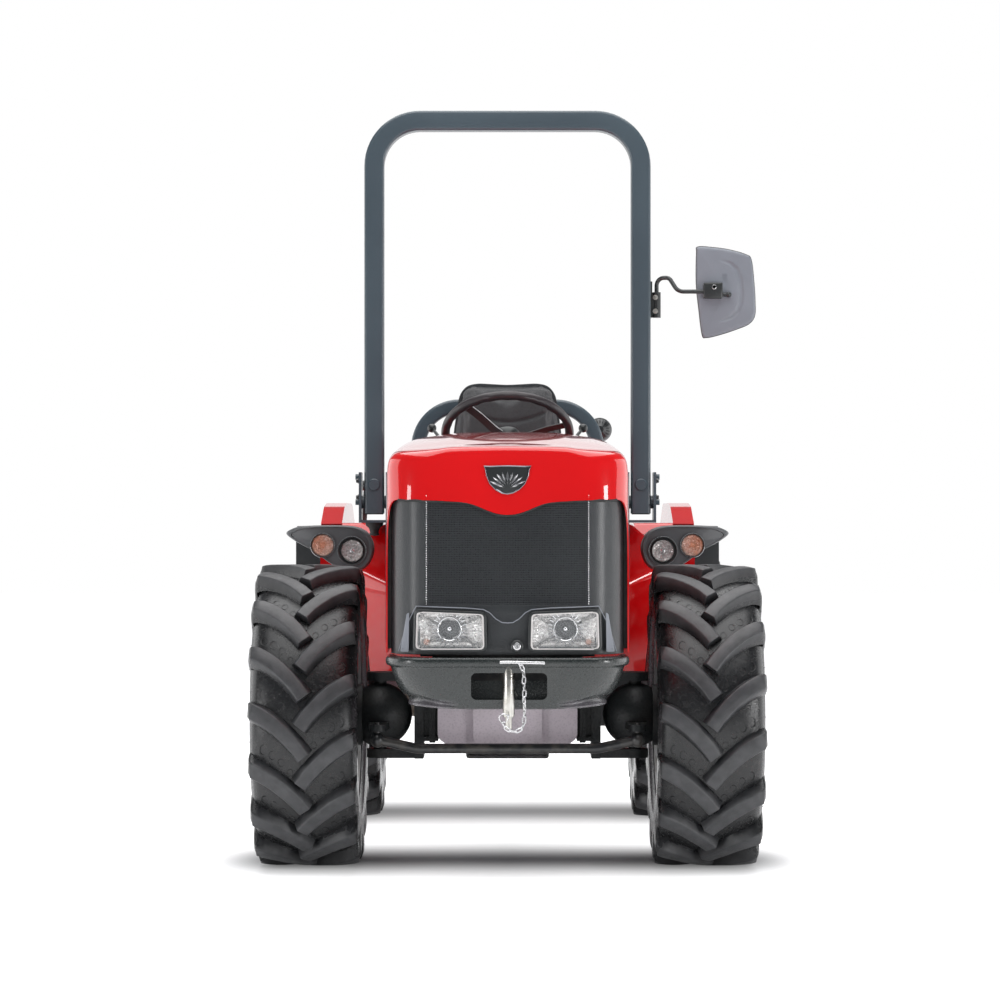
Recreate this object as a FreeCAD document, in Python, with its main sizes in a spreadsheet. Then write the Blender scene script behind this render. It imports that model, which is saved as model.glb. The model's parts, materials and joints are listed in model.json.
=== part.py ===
import FreeCAD, Part
import math
import os

import Sketcher
from FreeCAD import Placement, Rotation, Vector

# A compact four-wheel tractor with equal wheels, a front roll bar and a rear three-point linkage.
# Millimetres. +X is the driver's left, -Y is forward, +Z is up, and Z = 0 is the ground.

DOC = FreeCAD.newDocument("compact_tractor")
SHEET = DOC.addObject("Spreadsheet::Sheet", "sizes")

# Lengths, widths, wall thicknesses, radii and gaps.
SIZES = [
    ("overall_length", 3040, "front of the bumper to the lower link ends"),
    ("front_overhang", 800, "front of the bumper to the front axle"),
    ("wheelbase", 1390, "front axle to rear axle"),
    ("track", 1111, "tyre centre to tyre centre"),
    ("pin_clearance", 0.05, "radial running clearance of every pin"),
    ("seat_clearance", 0.3, "between pieces that are fitted together"),
    ("tyre_diameter", 850, "over the lugs"),
    ("tyre_width", 296, "sidewall to sidewall"),
    ("crown_width", 214, "flat part of the tread"),
    ("bead_inset", 6, "tyre bead inside the rim flange"),
    ("sidewall_rise", 70, "widest part of the sidewall above the bead"),
    ("sidewall_rounding", 55, "tyre's sidewall"),
    ("shoulder_drop", 42, "tyre's shoulder below the tread"),
    ("shoulder_rounding", 40, "tyre's shoulder"),
    ("tread_rounding", 14, "edge of the tread"),
    ("rim_diameter", 457, "bead seat"),
    ("rim_width", 248, "between the rim flanges"),
    ("rim_wall", 7, "rim barrel and flanges"),
    ("flange_height", 15, "rim flange over the bead seat"),
    ("flange_wall", 6, "rim flange"),
    ("disc_offset", -45, "hub face from the wheel's centre plane"),
    ("disc_wall", 12, "wheel disc"),
    ("disc_dish", 57, "where the disc meets the barrel, outside the hub's face"),
    ("disc_slope", 20, "sloping part of the disc outside the hub flange"),
    ("hub_wall", 22, "hub flange"),
    ("hub_step", 20, "flat of the disc inside the hub flange's edge"),
    ("hub_cap_radius", 58, "hub cap"),
    ("hub_cap_length", 66, "hub cap outside the hub's face"),
    ("hub_gap", 8, "axle housings inside the hub's face"),
    ("spindle_end_gap", 2, "end of the spindle"),
    ("hub_radius", 95, "hub flange"),
    ("spindle_radius", 25, "wheel spindle"),
    ("spindle_length", 48, "spindle inside the hub"),
    ("kingpin_gap", 47.5, "kingpin inside the tyre's inner face"),
    ("kingpin_radius", 18, "kingpin"),
    ("knuckle_radius", 90, "round steering knuckle"),
    ("knuckle_drum", 86, "drum between knuckle and wheel"),
    ("knuckle_neck", 60, "neck behind the hub"),
    ("drum_start", 48, "inner end of the knuckle's drum from the kingpin"),
    ("kingpin_inset", 1, "kingpin's ends inside the ears' outer faces"),
    ("ear_gap", 6, "between the knuckle and the yoke ears"),
    ("ear_wall", 25, "yoke ear"),
    ("ear_radius", 38, "yoke ear round the kingpin"),
    ("web_gap", 8, "between the knuckle and the yoke's web"),
    ("web_wall", 26, "yoke's web"),
    ("beam_half_depth", 52, "front axle beam along the tractor"),
    ("beam_half_height", 59, "front axle beam"),
    ("beam_flange", 12, "bottom flange of the axle beam"),
    ("beam_flange_lip", 14, "bottom flange beside the axle beam"),
    ("web_lip", 8, "yoke's web beside the axle beam"),
    ("rib_wall", 8, "rib of the axle beam"),
    ("rib_reach", 20, "rib beside the axle beam"),
    ("rib_drop", 4, "rib below the bottom flange"),
    ("rib_setback", 12, "inner rib from the differential housing"),
    ("steering_arm", 190, "kingpin to tie rod ball"),
    ("steering_arm_drop", 34, "steering arm below the axle line"),
    ("arm_root", 34, "half width of the steering arm at the knuckle"),
    ("arm_wall", 18, "steering arm"),
    ("arm_eye", 22, "steering arm round the ball stud"),
    ("tie_rod_radius", 14, "tie rod"),
    ("tie_rod_drop", 24, "how far the middle of the tie rod hangs lower"),
    ("tie_rod_crank", 110, "run of the tie rod's sloping ends"),
    ("tie_rod_hang", 24, "tie rod's ends below the steering arms"),
    ("tie_rod_bend", 120, "tie rod's bends"),
    ("tie_ball_radius", 21, "ball joint of the tie rod"),
    ("stud_reach", 5, "ball stud above the steering arm"),
    ("stud_radius", 8, "tie rod ball stud"),
    ("diff_half_width", 195, "front differential housing"),
    ("diff_half_depth", 108, "front differential housing along the tractor"),
    ("diff_taper", 42, "slope of the differential housing's lower sides"),
    ("diff_side_height", 30, "start of the slope above the differential's bottom"),
    ("diff_cover_half", 96, "differential cover"),
    ("diff_cover_wall", 18, "differential cover"),
    ("diff_cover_inset", 8, "differential cover inside the housing"),
    ("rail_height", 112, "frame rail"),
    ("rail_wall", 45, "frame rail"),
    ("frame_half_width", 150, "outside of the frame rails"),
    ("frame_plate", 12, "front plate and radiator stand"),
    ("frame_plate_half", 200, "front plate"),
    ("cross_half_depth", 90, "cross member over the front axle"),
    ("cross_wall", 20, "cross member over the front axle"),
    ("stand_overlap", 8, "radiator stand on the front plate"),
    ("engine_half_width", 150, "engine block"),
    ("engine_height", 430, "engine block"),
    ("radiator_inset", 88, "radiator core inside the bonnet's side"),
    ("radiator_height", 360, "radiator core"),
    ("radiator_depth", 48, "radiator core"),
    ("radiator_tank", 40, "radiator's top tank"),
    ("radiator_tank_lip", 5, "top tank before and behind the core"),
    ("radiator_tank_side", 8, "top tank beside the core"),
    ("gearbox_half_width", 138, "transmission housing"),
    ("housing_half_width", 193, "rear axle housing"),
    ("bell_rise", 60, "gearbox bell above the rails"),
    ("bell_length", 120, "lower part of the gearbox bell"),
    ("bell_top_length", 90, "upper part of the gearbox bell"),
    ("bell_slope", 60, "slope behind the gearbox bell"),
    ("housing_rounding", 20, "corners of the transmission housing"),
    ("housing_edge", 10, "long edges of the transmission housing"),
    ("belly_half_width", 123, "skid plate"),
    ("belly_length", 580, "skid plate"),
    ("belly_wall", 7, "skid plate"),
    ("bumper_height", 121, "front weight up to its flange"),
    ("bumper_flange", 20, "flange of the front weight"),
    ("flange_inset", 2, "front weight's flange inside the bonnet's side"),
    ("flange_nose", 46, "front of the weight's flange behind its face"),
    ("flange_cheek", 130, "side corner of the flange behind the face"),
    ("flange_corner", 120, "front corner of the flange from its side"),
    ("weight_inset", 14, "front weight's body inside its flange"),
    ("weight_cheek", 120, "side corner of the weight behind the face"),
    ("weight_corner", 150, "front corner of the weight from its side"),
    ("sweep_start", 135, "start of the underside's sweep from the side"),
    ("sweep_middle", 62, "middle of the sweep from the side"),
    ("sweep_low", 22, "rise of the sweep's middle"),
    ("sweep_high", 70, "rise of the sweep at the side"),
    ("jaw_half_width", 105, "tow jaw opening"),
    ("jaw_sill", 26, "tow jaw's floor"),
    ("jaw_height", 78, "tow jaw opening"),
    ("jaw_depth", 105, "tow jaw opening"),
    ("tow_pin_radius", 15, "tow pin"),
    ("tow_pin_setback", 34, "tow pin behind the front face"),
    ("tow_pin_reach", 46, "tow pin below the front weight"),
    ("tow_handle_length", 122, "cross handle of the tow pin"),
    ("tow_handle_radius", 5, "cross handle of the tow pin"),
    ("tow_handle_offset", 24, "shorter end of the cross handle"),
    ("tow_handle_rise", 7, "cross handle above the front weight's body"),
    ("hood_half_width", 320, "bonnet"),
    ("hood_setback", 42, "bonnet's nose behind the front weight's face"),
    ("hood_wall", 5, "bonnet shell"),
    ("hood_lean", 8, "how far the bonnet's sides lean in"),
    ("hood_shoulder", 100, "rounding of the bonnet's long upper edges"),
    ("hood_crown", 12, "rise of the bonnet's top in the middle"),
    ("nose_radius", 46, "rounding round the bonnet's front face"),
    ("hood_gap", 5, "bonnet above the front weight"),
    ("brow_dip", 34, "dip in the middle of the brow"),
    ("side_rise", 40, "slope of the bonnet's lower edge behind the nose"),
    ("hinge_lug_x", 120, "bonnet's hinge lugs from the centre plane"),
    ("hinge_lug_width", 24, "hinge lug"),
    ("hinge_eye_wall", 7, "hinge lug round its pin"),
    ("brow_margin", 2, "nose opening beside the grille"),
    ("brow_notch", 55, "half width of the brow's dip"),
    ("brow_notch_drop", 16, "brow at the edge of its dip"),
    ("brow_shoulder", 138, "where the brow starts to fall"),
    ("brow_shoulder_drop", 3, "brow where it starts to fall"),
    ("grille_inset", 16, "grille inside the bonnet's side"),
    ("grille_wall", 5, "grille"),
    ("grille_corner", 80, "rounding of the grille's sides"),
    ("grille_depth", 110, "grille's sides"),
    ("grille_overlap", 40, "grille behind the brow"),
    ("bezel_proud", 12, "lamp panel ahead of the bonnet's nose"),
    ("bezel_gap", 4, "lamp panel above the bonnet's lower edge"),
    ("bezel_rise", 20, "lamp panel above the headlights"),
    ("bezel_taper", 22, "slope of the lamp panel's sides"),
    ("bezel_notch", 42, "half width of the lamp panel's middle dip"),
    ("bezel_notch_top", 96, "half width of the dip at its top"),
    ("bezel_notch_drop", 16, "bottom of the dip below the headlights' tops"),
    ("bezel_notch_rise", 6, "top of the dip above the headlights' tops"),
    ("bezel_inset", 18, "lamp panel inside the grille's side"),
    ("lamp_width", 184, "headlight"),
    ("lamp_height", 98, "headlight"),
    ("lamp_lower_slope", 4, "rise of the headlight's lower edge inwards"),
    ("lamp_upper_slope", 12, "fall of the headlight's upper edge inwards"),
    ("lamp_margin", 0.5, "gap round the headlight"),
    ("lamp_inset", 157, "headlight's centre inside the grille's side"),
    ("lamp_recess", 5, "headlight glass behind the lamp panel's face"),
    ("hinge_setback", 10, "hinge pin ahead of the bonnet's rear edge"),
    ("hinge_drop", 26, "hinge pin below the bonnet's top"),
    ("hinge_pin_radius", 8, "bonnet hinge pin"),
    ("hinge_pin_length", 320, "bonnet hinge pin"),
    ("hinge_arm_x", 66, "hinge arms from the centre plane"),
    ("hinge_arm_width", 24, "hinge arm"),
    ("hinge_arm_drop", 28, "hinge arm's level part below the pin"),
    ("hinge_arm_foot", 60, "hinge arm's foot below the pin"),
    ("hinge_arm_heel", 44, "hinge arm's front edge below the pin"),
    ("cowl_gap", 26, "cowl behind the bonnet's rear edge"),
    ("cowl_inset", 58, "cowl inside the bonnet's side"),
    ("cowl_front_drop", 20, "cowl's front edge below the bonnet's top"),
    ("cowl_crest_drop", 12, "cowl's highest line below the bonnet's top"),
    ("cowl_rounding", 22, "cowl's side edges"),
    ("bar_tube", 60, "roll bar's square tube"),
    ("bar_beside_hood", 118, "roll bar's outer side outside the bonnet"),
    ("bar_corner", 170, "roll bar's outer corners"),
    ("bar_pin_radius", 9, "fold and lock pins"),
    ("cheek_wall", 8, "roll bar bracket"),
    ("cheek_gap", 8, "between the tube and the bracket's outer cheek"),
    ("cheek_inner_gap", 6, "between the tube and the bracket's inner cheek"),
    ("cheek_front", 42, "bracket ahead of the roll bar's centre plane"),
    ("cheek_top", 14, "bracket above the lock pin"),
    ("strap_gap", 20, "bracket's strap below the roll bar's foot"),
    ("mount_beam_half", 30, "cross beam of the bracket"),
    ("mount_beam_height", 60, "cross beam of the bracket"),
    ("washer_radius", 20, "washer of the fold pin"),
    ("washer_gap", 1, "between the washer and the tube"),
    ("pin_reach", 12, "fold and lock pins outside the bracket"),
    ("mirror_rod", 6.5, "mirror arm's rod"),
    ("mirror_clamp_wall", 5, "mirror's clamp plate on the roll bar"),
    ("mirror_clamp_width", 40, "mirror's clamp plate"),
    ("mirror_clamp_height", 110, "mirror's clamp plate"),
    ("mirror_clamp_drop", 77, "clamp plate below the mirror's arm"),
    ("barrel_radius", 13, "upright barrel of the mirror's clamp"),
    ("barrel_height", 78, "upright barrel of the mirror's clamp"),
    ("barrel_standoff", 19, "barrel from the roll bar"),
    ("arm_hump", 44, "mirror arm's hump above its outer run"),
    ("arm_first_run", 37, "hump's width"),
    ("arm_forward", 44, "mirror arm ahead of the roll bar"),
    ("mirror_standoff", 139, "mirror's edge from the roll bar"),
    ("mirror_drop", 143, "mirror's lower end below its arm"),
    ("mirror_toe", 19, "lower inner corner from the inner edge"),
    ("mirror_heel", 21, "outer corners inside the outer edge"),
    ("mirror_rise", 55, "lower outer corner above the lower end"),
    ("mirror_waist", 116, "outermost corner above the lower end"),
    ("mirror_brow", 58, "upper outer corner below the top"),
    ("socket_width", 52, "clamp on the mirror"),
    ("socket_height", 44, "clamp on the mirror"),
    ("socket_setback", 23, "clamp from the mirror's inner edge"),
    ("socket_wall", 7, "clamp round the mirror's arm"),
    ("mirror_width", 183, "mirror housing"),
    ("mirror_height", 281, "mirror housing"),
    ("mirror_depth", 26, "mirror housing"),
    ("platform_wall", 6, "floor, shields and seat deck"),
    ("platform_flare", 57, "floor outside the seat deck"),
    ("shield_height", 462, "front shields above the floor"),
    ("shield_toe", 30, "foot of the front shield inside its edge"),
    ("shield_edge_low", 300, "start of the shield's upright edge above the floor"),
    ("shield_edge_high", 400, "end of the shield's upright edge above the floor"),
    ("shield_shoulder", 70, "slope of the shield's upper corner"),
    ("tunnel_height", 190, "shield's opening over the gearbox above the floor"),
    ("floor_tyre_gap", 33, "wide part of the floor ahead of the rear tyre"),
    ("floor_notch_slope", 25, "where the floor narrows for the rear wheel"),
    ("floor_inset", 4, "floor inside the seat deck's side"),
    ("tunnel_gap", 12, "floor beside the gearbox"),
    ("console_half_width", 120, "console under the cowl"),
    ("console_gap", 2, "shields beside the console"),
    ("deck_gap", 12.5, "seat deck inside the tyre's inner face"),
    ("deck_tail_rise", 60, "lower rear edge of the seat deck above the floor"),
    ("lift_opening_half", 230, "opening for the lift in the deck's rear face"),
    ("fender_gap", 116, "mudguard above the tyre"),
    ("fender_wall", 5, "mudguard"),
    ("fender_front_gap", 8, "mudguard's side wall behind the shield"),
    ("fender_tail_run", 170, "rear curve of the mudguard"),
    ("fender_tail_drop", 90, "rear curve of the mudguard"),
    ("fender_tail_step", 40, "steep part of the rear curve"),
    ("fender_lead", 44, "front slope of the mudguard"),
    ("fender_lead_drop", 40, "front slope of the mudguard"),
    ("fender_foot_rise", 80, "front foot of the side wall above the floor"),
    ("fender_waist_rise", 8, "middle of the side wall's lower edge above the floor"),
    ("fender_heel_rise", 60, "rear of the side wall's lower edge above the floor"),
    ("fender_heel", 110, "rear of the side wall's lower edge from the tail"),
    ("crest_inset", 35.5, "inner side of the crest from the tyre's centre plane"),
    ("crest_width", 66, "mudguard crest"),
    ("crest_rise", 64, "crest above the mudguard"),
    ("crest_foot", 30, "front foot of the crest behind the mudguard's front"),
    ("crest_slope", 190, "end of the crest's front slope"),
    ("crest_slope_drop", 12, "end of the front slope below the crest"),
    ("crest_flat", 330, "start of the crest's level part"),
    ("crest_rear_flat", 330, "end of the level part from the tail"),
    ("crest_rear_slope", 130, "end of the crest's rear slope from the tail"),
    ("crest_rear_drop", 22, "end of the rear slope below the mudguard's top"),
    ("crest_tail", 26, "rear end of the crest from the tail"),
    ("crest_tail_inner", 60, "inside of the crest's rear end from the tail"),
    ("crest_tail_drop", 150, "rear end of the crest below the mudguard's top"),
    ("flare_width", 76, "black strip outside the crest"),
    ("flare_drop", 10, "black strip below the mudguard's top"),
    ("pod_depth", 98, "front lamp pod"),
    ("pod_rounding", 7, "front edge of the pod"),
    ("pod_tip", 299, "pod's tip outside the seat deck"),
    ("pod_tip_drop", 35, "pod's tip below the mudguard's top"),
    ("pod_shoulder", 253, "pod's outer shoulder outside the deck"),
    ("pod_crown", 61, "pod's highest corner outside the deck"),
    ("pod_inner", 17, "pod's inner side outside the deck"),
    ("pod_inner_drop", 48, "top of the pod's inner side below the mudguard's top"),
    ("pod_inner_height", 56, "pod's inner side"),
    ("pod_keel", 55, "pod's lowest corner outside the deck"),
    ("pod_keel_drop", 152, "pod's lower edge below the mudguard's top"),
    ("pod_keel_length", 70, "pod's lower edge"),
    ("pod_flank", 241, "pod's sloping lower side outside the deck"),
    ("pod_flank_drop", 86, "pod's sloping lower side below the mudguard's top"),
    ("pod_top_drop", 8, "pod's upper edge below the mudguard's top"),
    ("white_lamp_x", 87.5, "white lamp's centre outside the deck"),
    ("white_lamp_drop", 87, "white lamp's centre below the mudguard's top"),
    ("amber_lamp_x", 177, "amber lamp's centre outside the deck"),
    ("amber_lamp_drop", 71, "amber lamp's centre below the mudguard's top"),
    ("white_well", 30, "depth of the white lamp's well"),
    ("amber_well", 22, "depth of the amber lamp's well"),
    ("pod_lamp_recess", 2, "lamp glass behind the pod's face"),
    ("white_lamp_radius", 41.7, "white front lamp"),
    ("amber_lamp_radius", 36.7, "amber front lamp"),
    ("rear_lamp_width", 100, "rear lamp"),
    ("rear_lamp_depth", 34, "rear lamp"),
    ("rear_lamp_height", 70, "rear lamp"),
    ("rear_lamp_drop", 14, "rear lamp below the mudguard's rear edge"),
    ("hoop_tube", 48, "rear hoop's square tube"),
    ("hoop_width", 655, "rear hoop over its tubes"),
    ("hoop_corner", 164, "rear hoop's outer corners"),
    ("work_lamp_radius", 42, "work lamp"),
    ("work_lamp_x", 316, "work lamp from the centre plane"),
    ("work_lamp_depth", 52, "work lamp"),
    ("work_stem_radius", 8, "work lamp's stem"),
    ("work_stem_length", 22, "work lamp's stem"),
    ("wheel_radius", 196, "steering wheel rim's centre line"),
    ("wheel_rim", 16, "steering wheel rim's section radius"),
    ("wheel_tilt", 35, "steering wheel's tilt in degrees"),
    ("wheel_hub", 38, "steering wheel's hub"),
    ("wheel_hub_top", 8, "hub above the wheel's centre"),
    ("wheel_hub_depth", 22, "hub below the wheel's centre"),
    ("wheel_hub_foot", 30, "underside of the hub"),
    ("spoke_width", 22, "steering wheel's spoke"),
    ("spoke_wall", 8, "steering wheel's spoke"),
    ("column_radius", 24, "steering column"),
    ("column_length", 157, "steering column above the cowl"),
    ("stalk_radius", 5, "lever"),
    ("stalk_knob", 14, "knob of a stalk on the cowl"),
    ("stalk_x", 170, "stalk's foot from the centre plane"),
    ("stalk_spread", 66, "stalk's knob outside its foot"),
    ("stalk_run", 90, "stalk's knob behind its foot"),
    ("lever_knob", 17, "knob of a lever on the shelf"),
    ("lever_x", 65, "levers outside the seat deck"),
    ("lever_spacing", 70, "lever to lever"),
    ("lever_lean", 28, "lever's knob ahead of its foot"),
    ("lever_tilt", 10, "lever's knob inside its foot"),
    ("lever_height", 118, "lever's knob above the mudguard"),
    ("pedal_rod", 7, "pedal arm"),
    ("pedal_width", 66, "pedal plate"),
    ("pedal_height", 60, "pedal plate"),
    ("pedal_wall", 8, "pedal plate"),
    ("pedal_tilt", 28, "pedal plate's tilt in degrees"),
    ("pedal_drop", 110, "pedal plate below its arm"),
    ("pedal_bend", 24, "pedal arm's bend"),
    ("clutch_x", 230, "clutch pedal"),
    ("brake_x", 315, "brake pedal"),
    ("throttle_x", 250, "throttle pedal"),
    ("pedal_reach", 64, "clutch and brake pedal arms behind the shields"),
    ("throttle_reach", 48, "throttle pedal arm behind the shields"),
    ("pedal_slope", 34, "pedal plate behind its arm's bend"),
    ("seat_width", 460, "seat cushion"),
    ("seat_length", 390, "seat cushion"),
    ("base_half_width", 160, "seat base"),
    ("base_setback", 60, "seat base's foot behind the cushion's front"),
    ("base_top_setback", 30, "seat base's top behind the cushion's front"),
    ("base_length", 270, "seat base's foot"),
    ("base_top_length", 320, "seat base's top"),
    ("cushion_height", 96, "seat cushion"),
    ("back_width", 416, "backrest at its top"),
    ("back_wall", 82, "backrest"),
    ("back_spread", 14, "backrest's foot beside its top"),
    ("back_start", 318, "backrest's front face behind the cushion's front"),
    ("tank_height", 160, "fuel tank"),
    ("tank_side_gap", 1, "fuel tank inside the seat deck's side"),
    ("tank_gap", 34, "fuel tank beside the gearbox"),
    ("tank_taper", 22, "slope of the tank's outer side"),
    ("tank_lead", 10, "fuel tank behind the shields"),
    ("tank_tail", 60, "fuel tank ahead of the seat deck"),
    ("muffler_radius", 60, "silencer"),
    ("muffler_x", 290, "silencer from the centre plane"),
    ("muffler_drop", 72, "silencer's axis below the floor's underside"),
    ("muffler_lead", 40, "silencer behind the shields"),
    ("muffler_tail", 70, "silencer ahead of the seat deck"),
    ("inlet_run", 60, "exhaust inlet ahead of the silencer"),
    ("tail_run", 40, "straight part of the tail pipe"),
    ("strap_width", 40, "silencer's strap"),
    ("strap_length", 30, "silencer's strap"),
    ("exhaust_radius", 20, "exhaust pipe"),
    ("step_drop", 168, "step below the floor"),
    ("step_gap", 68, "step ahead of the rear tyre"),
    ("step_length", 210, "step"),
    ("step_wall", 6, "step"),
    ("step_inset", 2, "step's hanger inside the floor's edge"),
    ("step_width", 105, "step"),
    ("axle_tube_radius", 68, "rear axle tube"),
    ("axle_flange_radius", 105, "rear axle flange"),
    ("axle_flange_wall", 22, "rear axle flange"),
    ("drum_radius", 98, "rear brake drum"),
    ("drum_length", 52, "rear brake drum"),
    ("link_half_gap", 205, "lower link's middle plane from the centre plane"),
    ("link_rise", 70, "rise of the lower link to its end"),
    ("link_wall", 16, "lower link"),
    ("link_height", 46, "lower link"),
    ("ball_radius", 26, "lower link ball end"),
    ("ball_width", 35, "lower link ball end"),
    ("ball_bore", 11.2, "bore of the lower link ball"),
    ("link_washer", 1, "between the lower link's ball and its bracket"),
    ("link_cap_radius", 18, "cap of the lower link's pin"),
    ("link_cap_wall", 9, "cap of the lower link's pin"),
    ("lug_front", 27, "lower link's lug ahead of the pivot"),
    ("lug_rear", 34, "lower link's lug behind the pivot"),
    ("lug_below", 34, "lower link's lug below the pivot"),
    ("lug_above", 60, "lower link's lug above the pivot"),
    ("rod_distance", 291.5, "lift rod's foot behind the lower link's pivot"),
    ("rock_radius", 24, "lift shaft"),
    ("rock_half_length", 160, "half the lift shaft's length"),
    ("arm_reach", 190, "lift arm"),
    ("arm_drop", 10, "fall of the lift arm at rest"),
    ("lift_arm_wall", 16, "lift arm"),
    ("rod_gap", 4, "lift rod beside the lift arm"),
    ("arm_eye_radius", 20, "lift arm's eye"),
    ("arm_hub_radius", 38, "lift arm's hub"),
    ("arm_hub_half", 30, "lift arm at its hub"),
    ("arm_eye_half", 17, "lift arm at its eye"),
    ("lift_pin_length", 22, "pin of the lift arm"),
    ("lift_pin_radius", 9, "pin of the lift arm"),
    ("lift_rod_wall", 14, "lift rod"),
    ("rod_head_radius", 19, "lift rod's head"),
    ("rod_foot_radius", 17, "lift rod's foot"),
    ("rod_half", 8, "lift rod's shank"),
    ("rod_foot_rise", 14, "lift rod's foot above the lower link's middle"),
    ("turnbuckle_half", 13, "lift rod's turnbuckle"),
    ("turnbuckle_gap", 50, "turnbuckle from the lift rod's ends"),
    ("cover_half_width", 118, "lift cover"),
    ("cover_front", 42, "lift cover ahead of its shaft"),
    ("cover_rear", 48, "lift cover behind its shaft"),
    ("cover_rise", 50, "lift cover above its shaft"),
    ("top_ear_wall", 12, "top link's ear"),
    ("top_ear_half", 24, "top link's ear round its pin"),
    ("top_ear_root", 30, "top link's ear on the lift cover"),
    ("top_pin_radius", 9.6, "top link pin"),
    ("top_link_gap", 36, "top link ear from the centre plane"),
    ("top_link_length", 480, "top link along the tractor"),
    ("top_link_rise", 70, "rise of the stowed top link"),
    ("top_link_half", 11, "top link's screws"),
    ("top_sleeve_half", 19, "top link's sleeve"),
    ("top_sleeve_start", 110, "top link's sleeve from its ends"),
    ("top_sleeve_height", 42, "top link's sleeve"),
    ("top_pin_reach", 14, "top link pin outside the ears' middle"),
    ("top_ball_radius", 24, "top link ball end"),
    ("top_ball_width", 50, "top link ball end"),
    ("top_end_bore", 9.8, "bore of the top link's free end"),
    ("pto_radius", 17.45, "power take-off shaft"),
    ("pto_length", 76, "power take-off shaft"),
    ("pto_plate_radius", 52, "cover plate of the power take-off"),
    ("pto_plate_wall", 8, "cover plate of the power take-off"),
    ("pto_guard_half", 66, "guard over the power take-off"),
    ("pto_guard_depth", 78, "guard over the power take-off"),
    ("pto_guard_rise", 54, "guard above the shaft"),
    ("pto_guard_wall", 5, "guard over the power take-off"),
    ("hitch_bore", 13, "rear hitch pin hole"),
    ("hitch_gap", 64, "rear hitch jaw"),
    ("hitch_half_width", 46, "rear hitch"),
    ("hitch_wall", 16, "plates of the rear hitch jaw"),
    ("hitch_length", 92, "rear hitch"),
    ("hitch_root", 14, "rear wall of the hitch jaw"),
    ("hitch_pin_y", 60, "hitch pin hole behind the rear face"),
]

# Heights above the line of the axles, so that a larger tyre lifts the whole tractor.
HEIGHTS = [
    ("diff_bottom", -90, "front differential housing"),
    ("rail_bottom", 63, "frame rails"),
    ("bumper_bottom", 57, "front weight"),
    ("hood_rear_top", 819, "top of the bonnet at its rear edge"),
    ("hood_front_top", 738, "top of the bonnet at its front"),
    ("hood_side_bottom", 447, "lower edge of the bonnet over the wheels"),
    ("brow_z", 597, "lower edge of the bonnet's brow"),
    ("lamp_z", 268, "headlight centre"),
    ("bar_top", 1802, "top of the roll bar"),
    ("bar_foot", 570, "lower end of the roll bar's legs"),
    ("bar_pivot", 605, "fold pin"),
    ("bar_lock", 682, "lock pin"),
    ("mirror_z", 1247, "mirror arm"),
    ("bell_bottom", -73, "gearbox bell"),
    ("gearbox_bottom", -125, "transmission housing"),
    ("axle_box_bottom", -135, "rear axle box"),
    ("axle_box_top", 155, "rear axle box"),
    ("housing_bottom", -157, "rear axle housing and skid plate"),
    ("housing_step", 95, "top of the transmission behind the axle"),
    ("housing_top", 230, "top of the rear axle housing"),
    ("platform_z", 75, "underside of the floor"),
    ("deck_top", 275, "top of the seat deck"),
    ("console_foot_top", 265, "top of the console's foot"),
    ("console_top", 675, "console under the cowl"),
    ("console_knee", 335, "where the console narrows to its foot"),
    ("cowl_bottom", 615, "underside of the cowl"),
    ("cowl_rear_top", 715, "rear upper edge of the cowl"),
    ("fender_lip_z", 315, "front lip of the mudguard"),
    ("fender_nose_z", 395, "front corner of the mudguard's side wall"),
    ("fender_tail_z", 265, "rear end of the mudguard"),
    ("lift_opening_top", 251, "opening for the lift in the deck's rear face"),
    ("hoop_top", 960, "top of the rear hoop"),
    ("work_lamp_z", 859, "work lamp"),
    ("wheel_z", 825, "steering wheel centre"),
    ("stalk_foot_z", 755, "stalk's foot in the cowl"),
    ("stalk_top_z", 837, "stalk's knob"),
    ("pedal_z", 275, "pedal arms"),
    ("seat_bottom", 387, "underside of the seat cushion"),
    ("back_top", 1015, "top of the backrest"),
    ("link_pivot_z", -95, "lower link pivot"),
    ("rock_z", 135, "lift shaft"),
    ("top_pin_z", 155, "top link pin"),
    ("pto_z", 31, "power take-off shaft"),
    ("hitch_z", -85, "middle of the rear hitch jaw"),
]

# Places behind the front axle, negative ahead of it.
FRONT_PLACES = [
    ("bumper_rear", -520, "rear face of the front weight"),
    ("frame_front", -508, "front face of the rails"),
    ("nose_rear", -456, "rear end of the bonnet's deep nose sides"),
    ("radiator_front", -506, "radiator core"),
    ("engine_front", -370, "front of the engine block"),
    ("bell_front", 275, "front face of the gearbox bell"),
]

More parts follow.
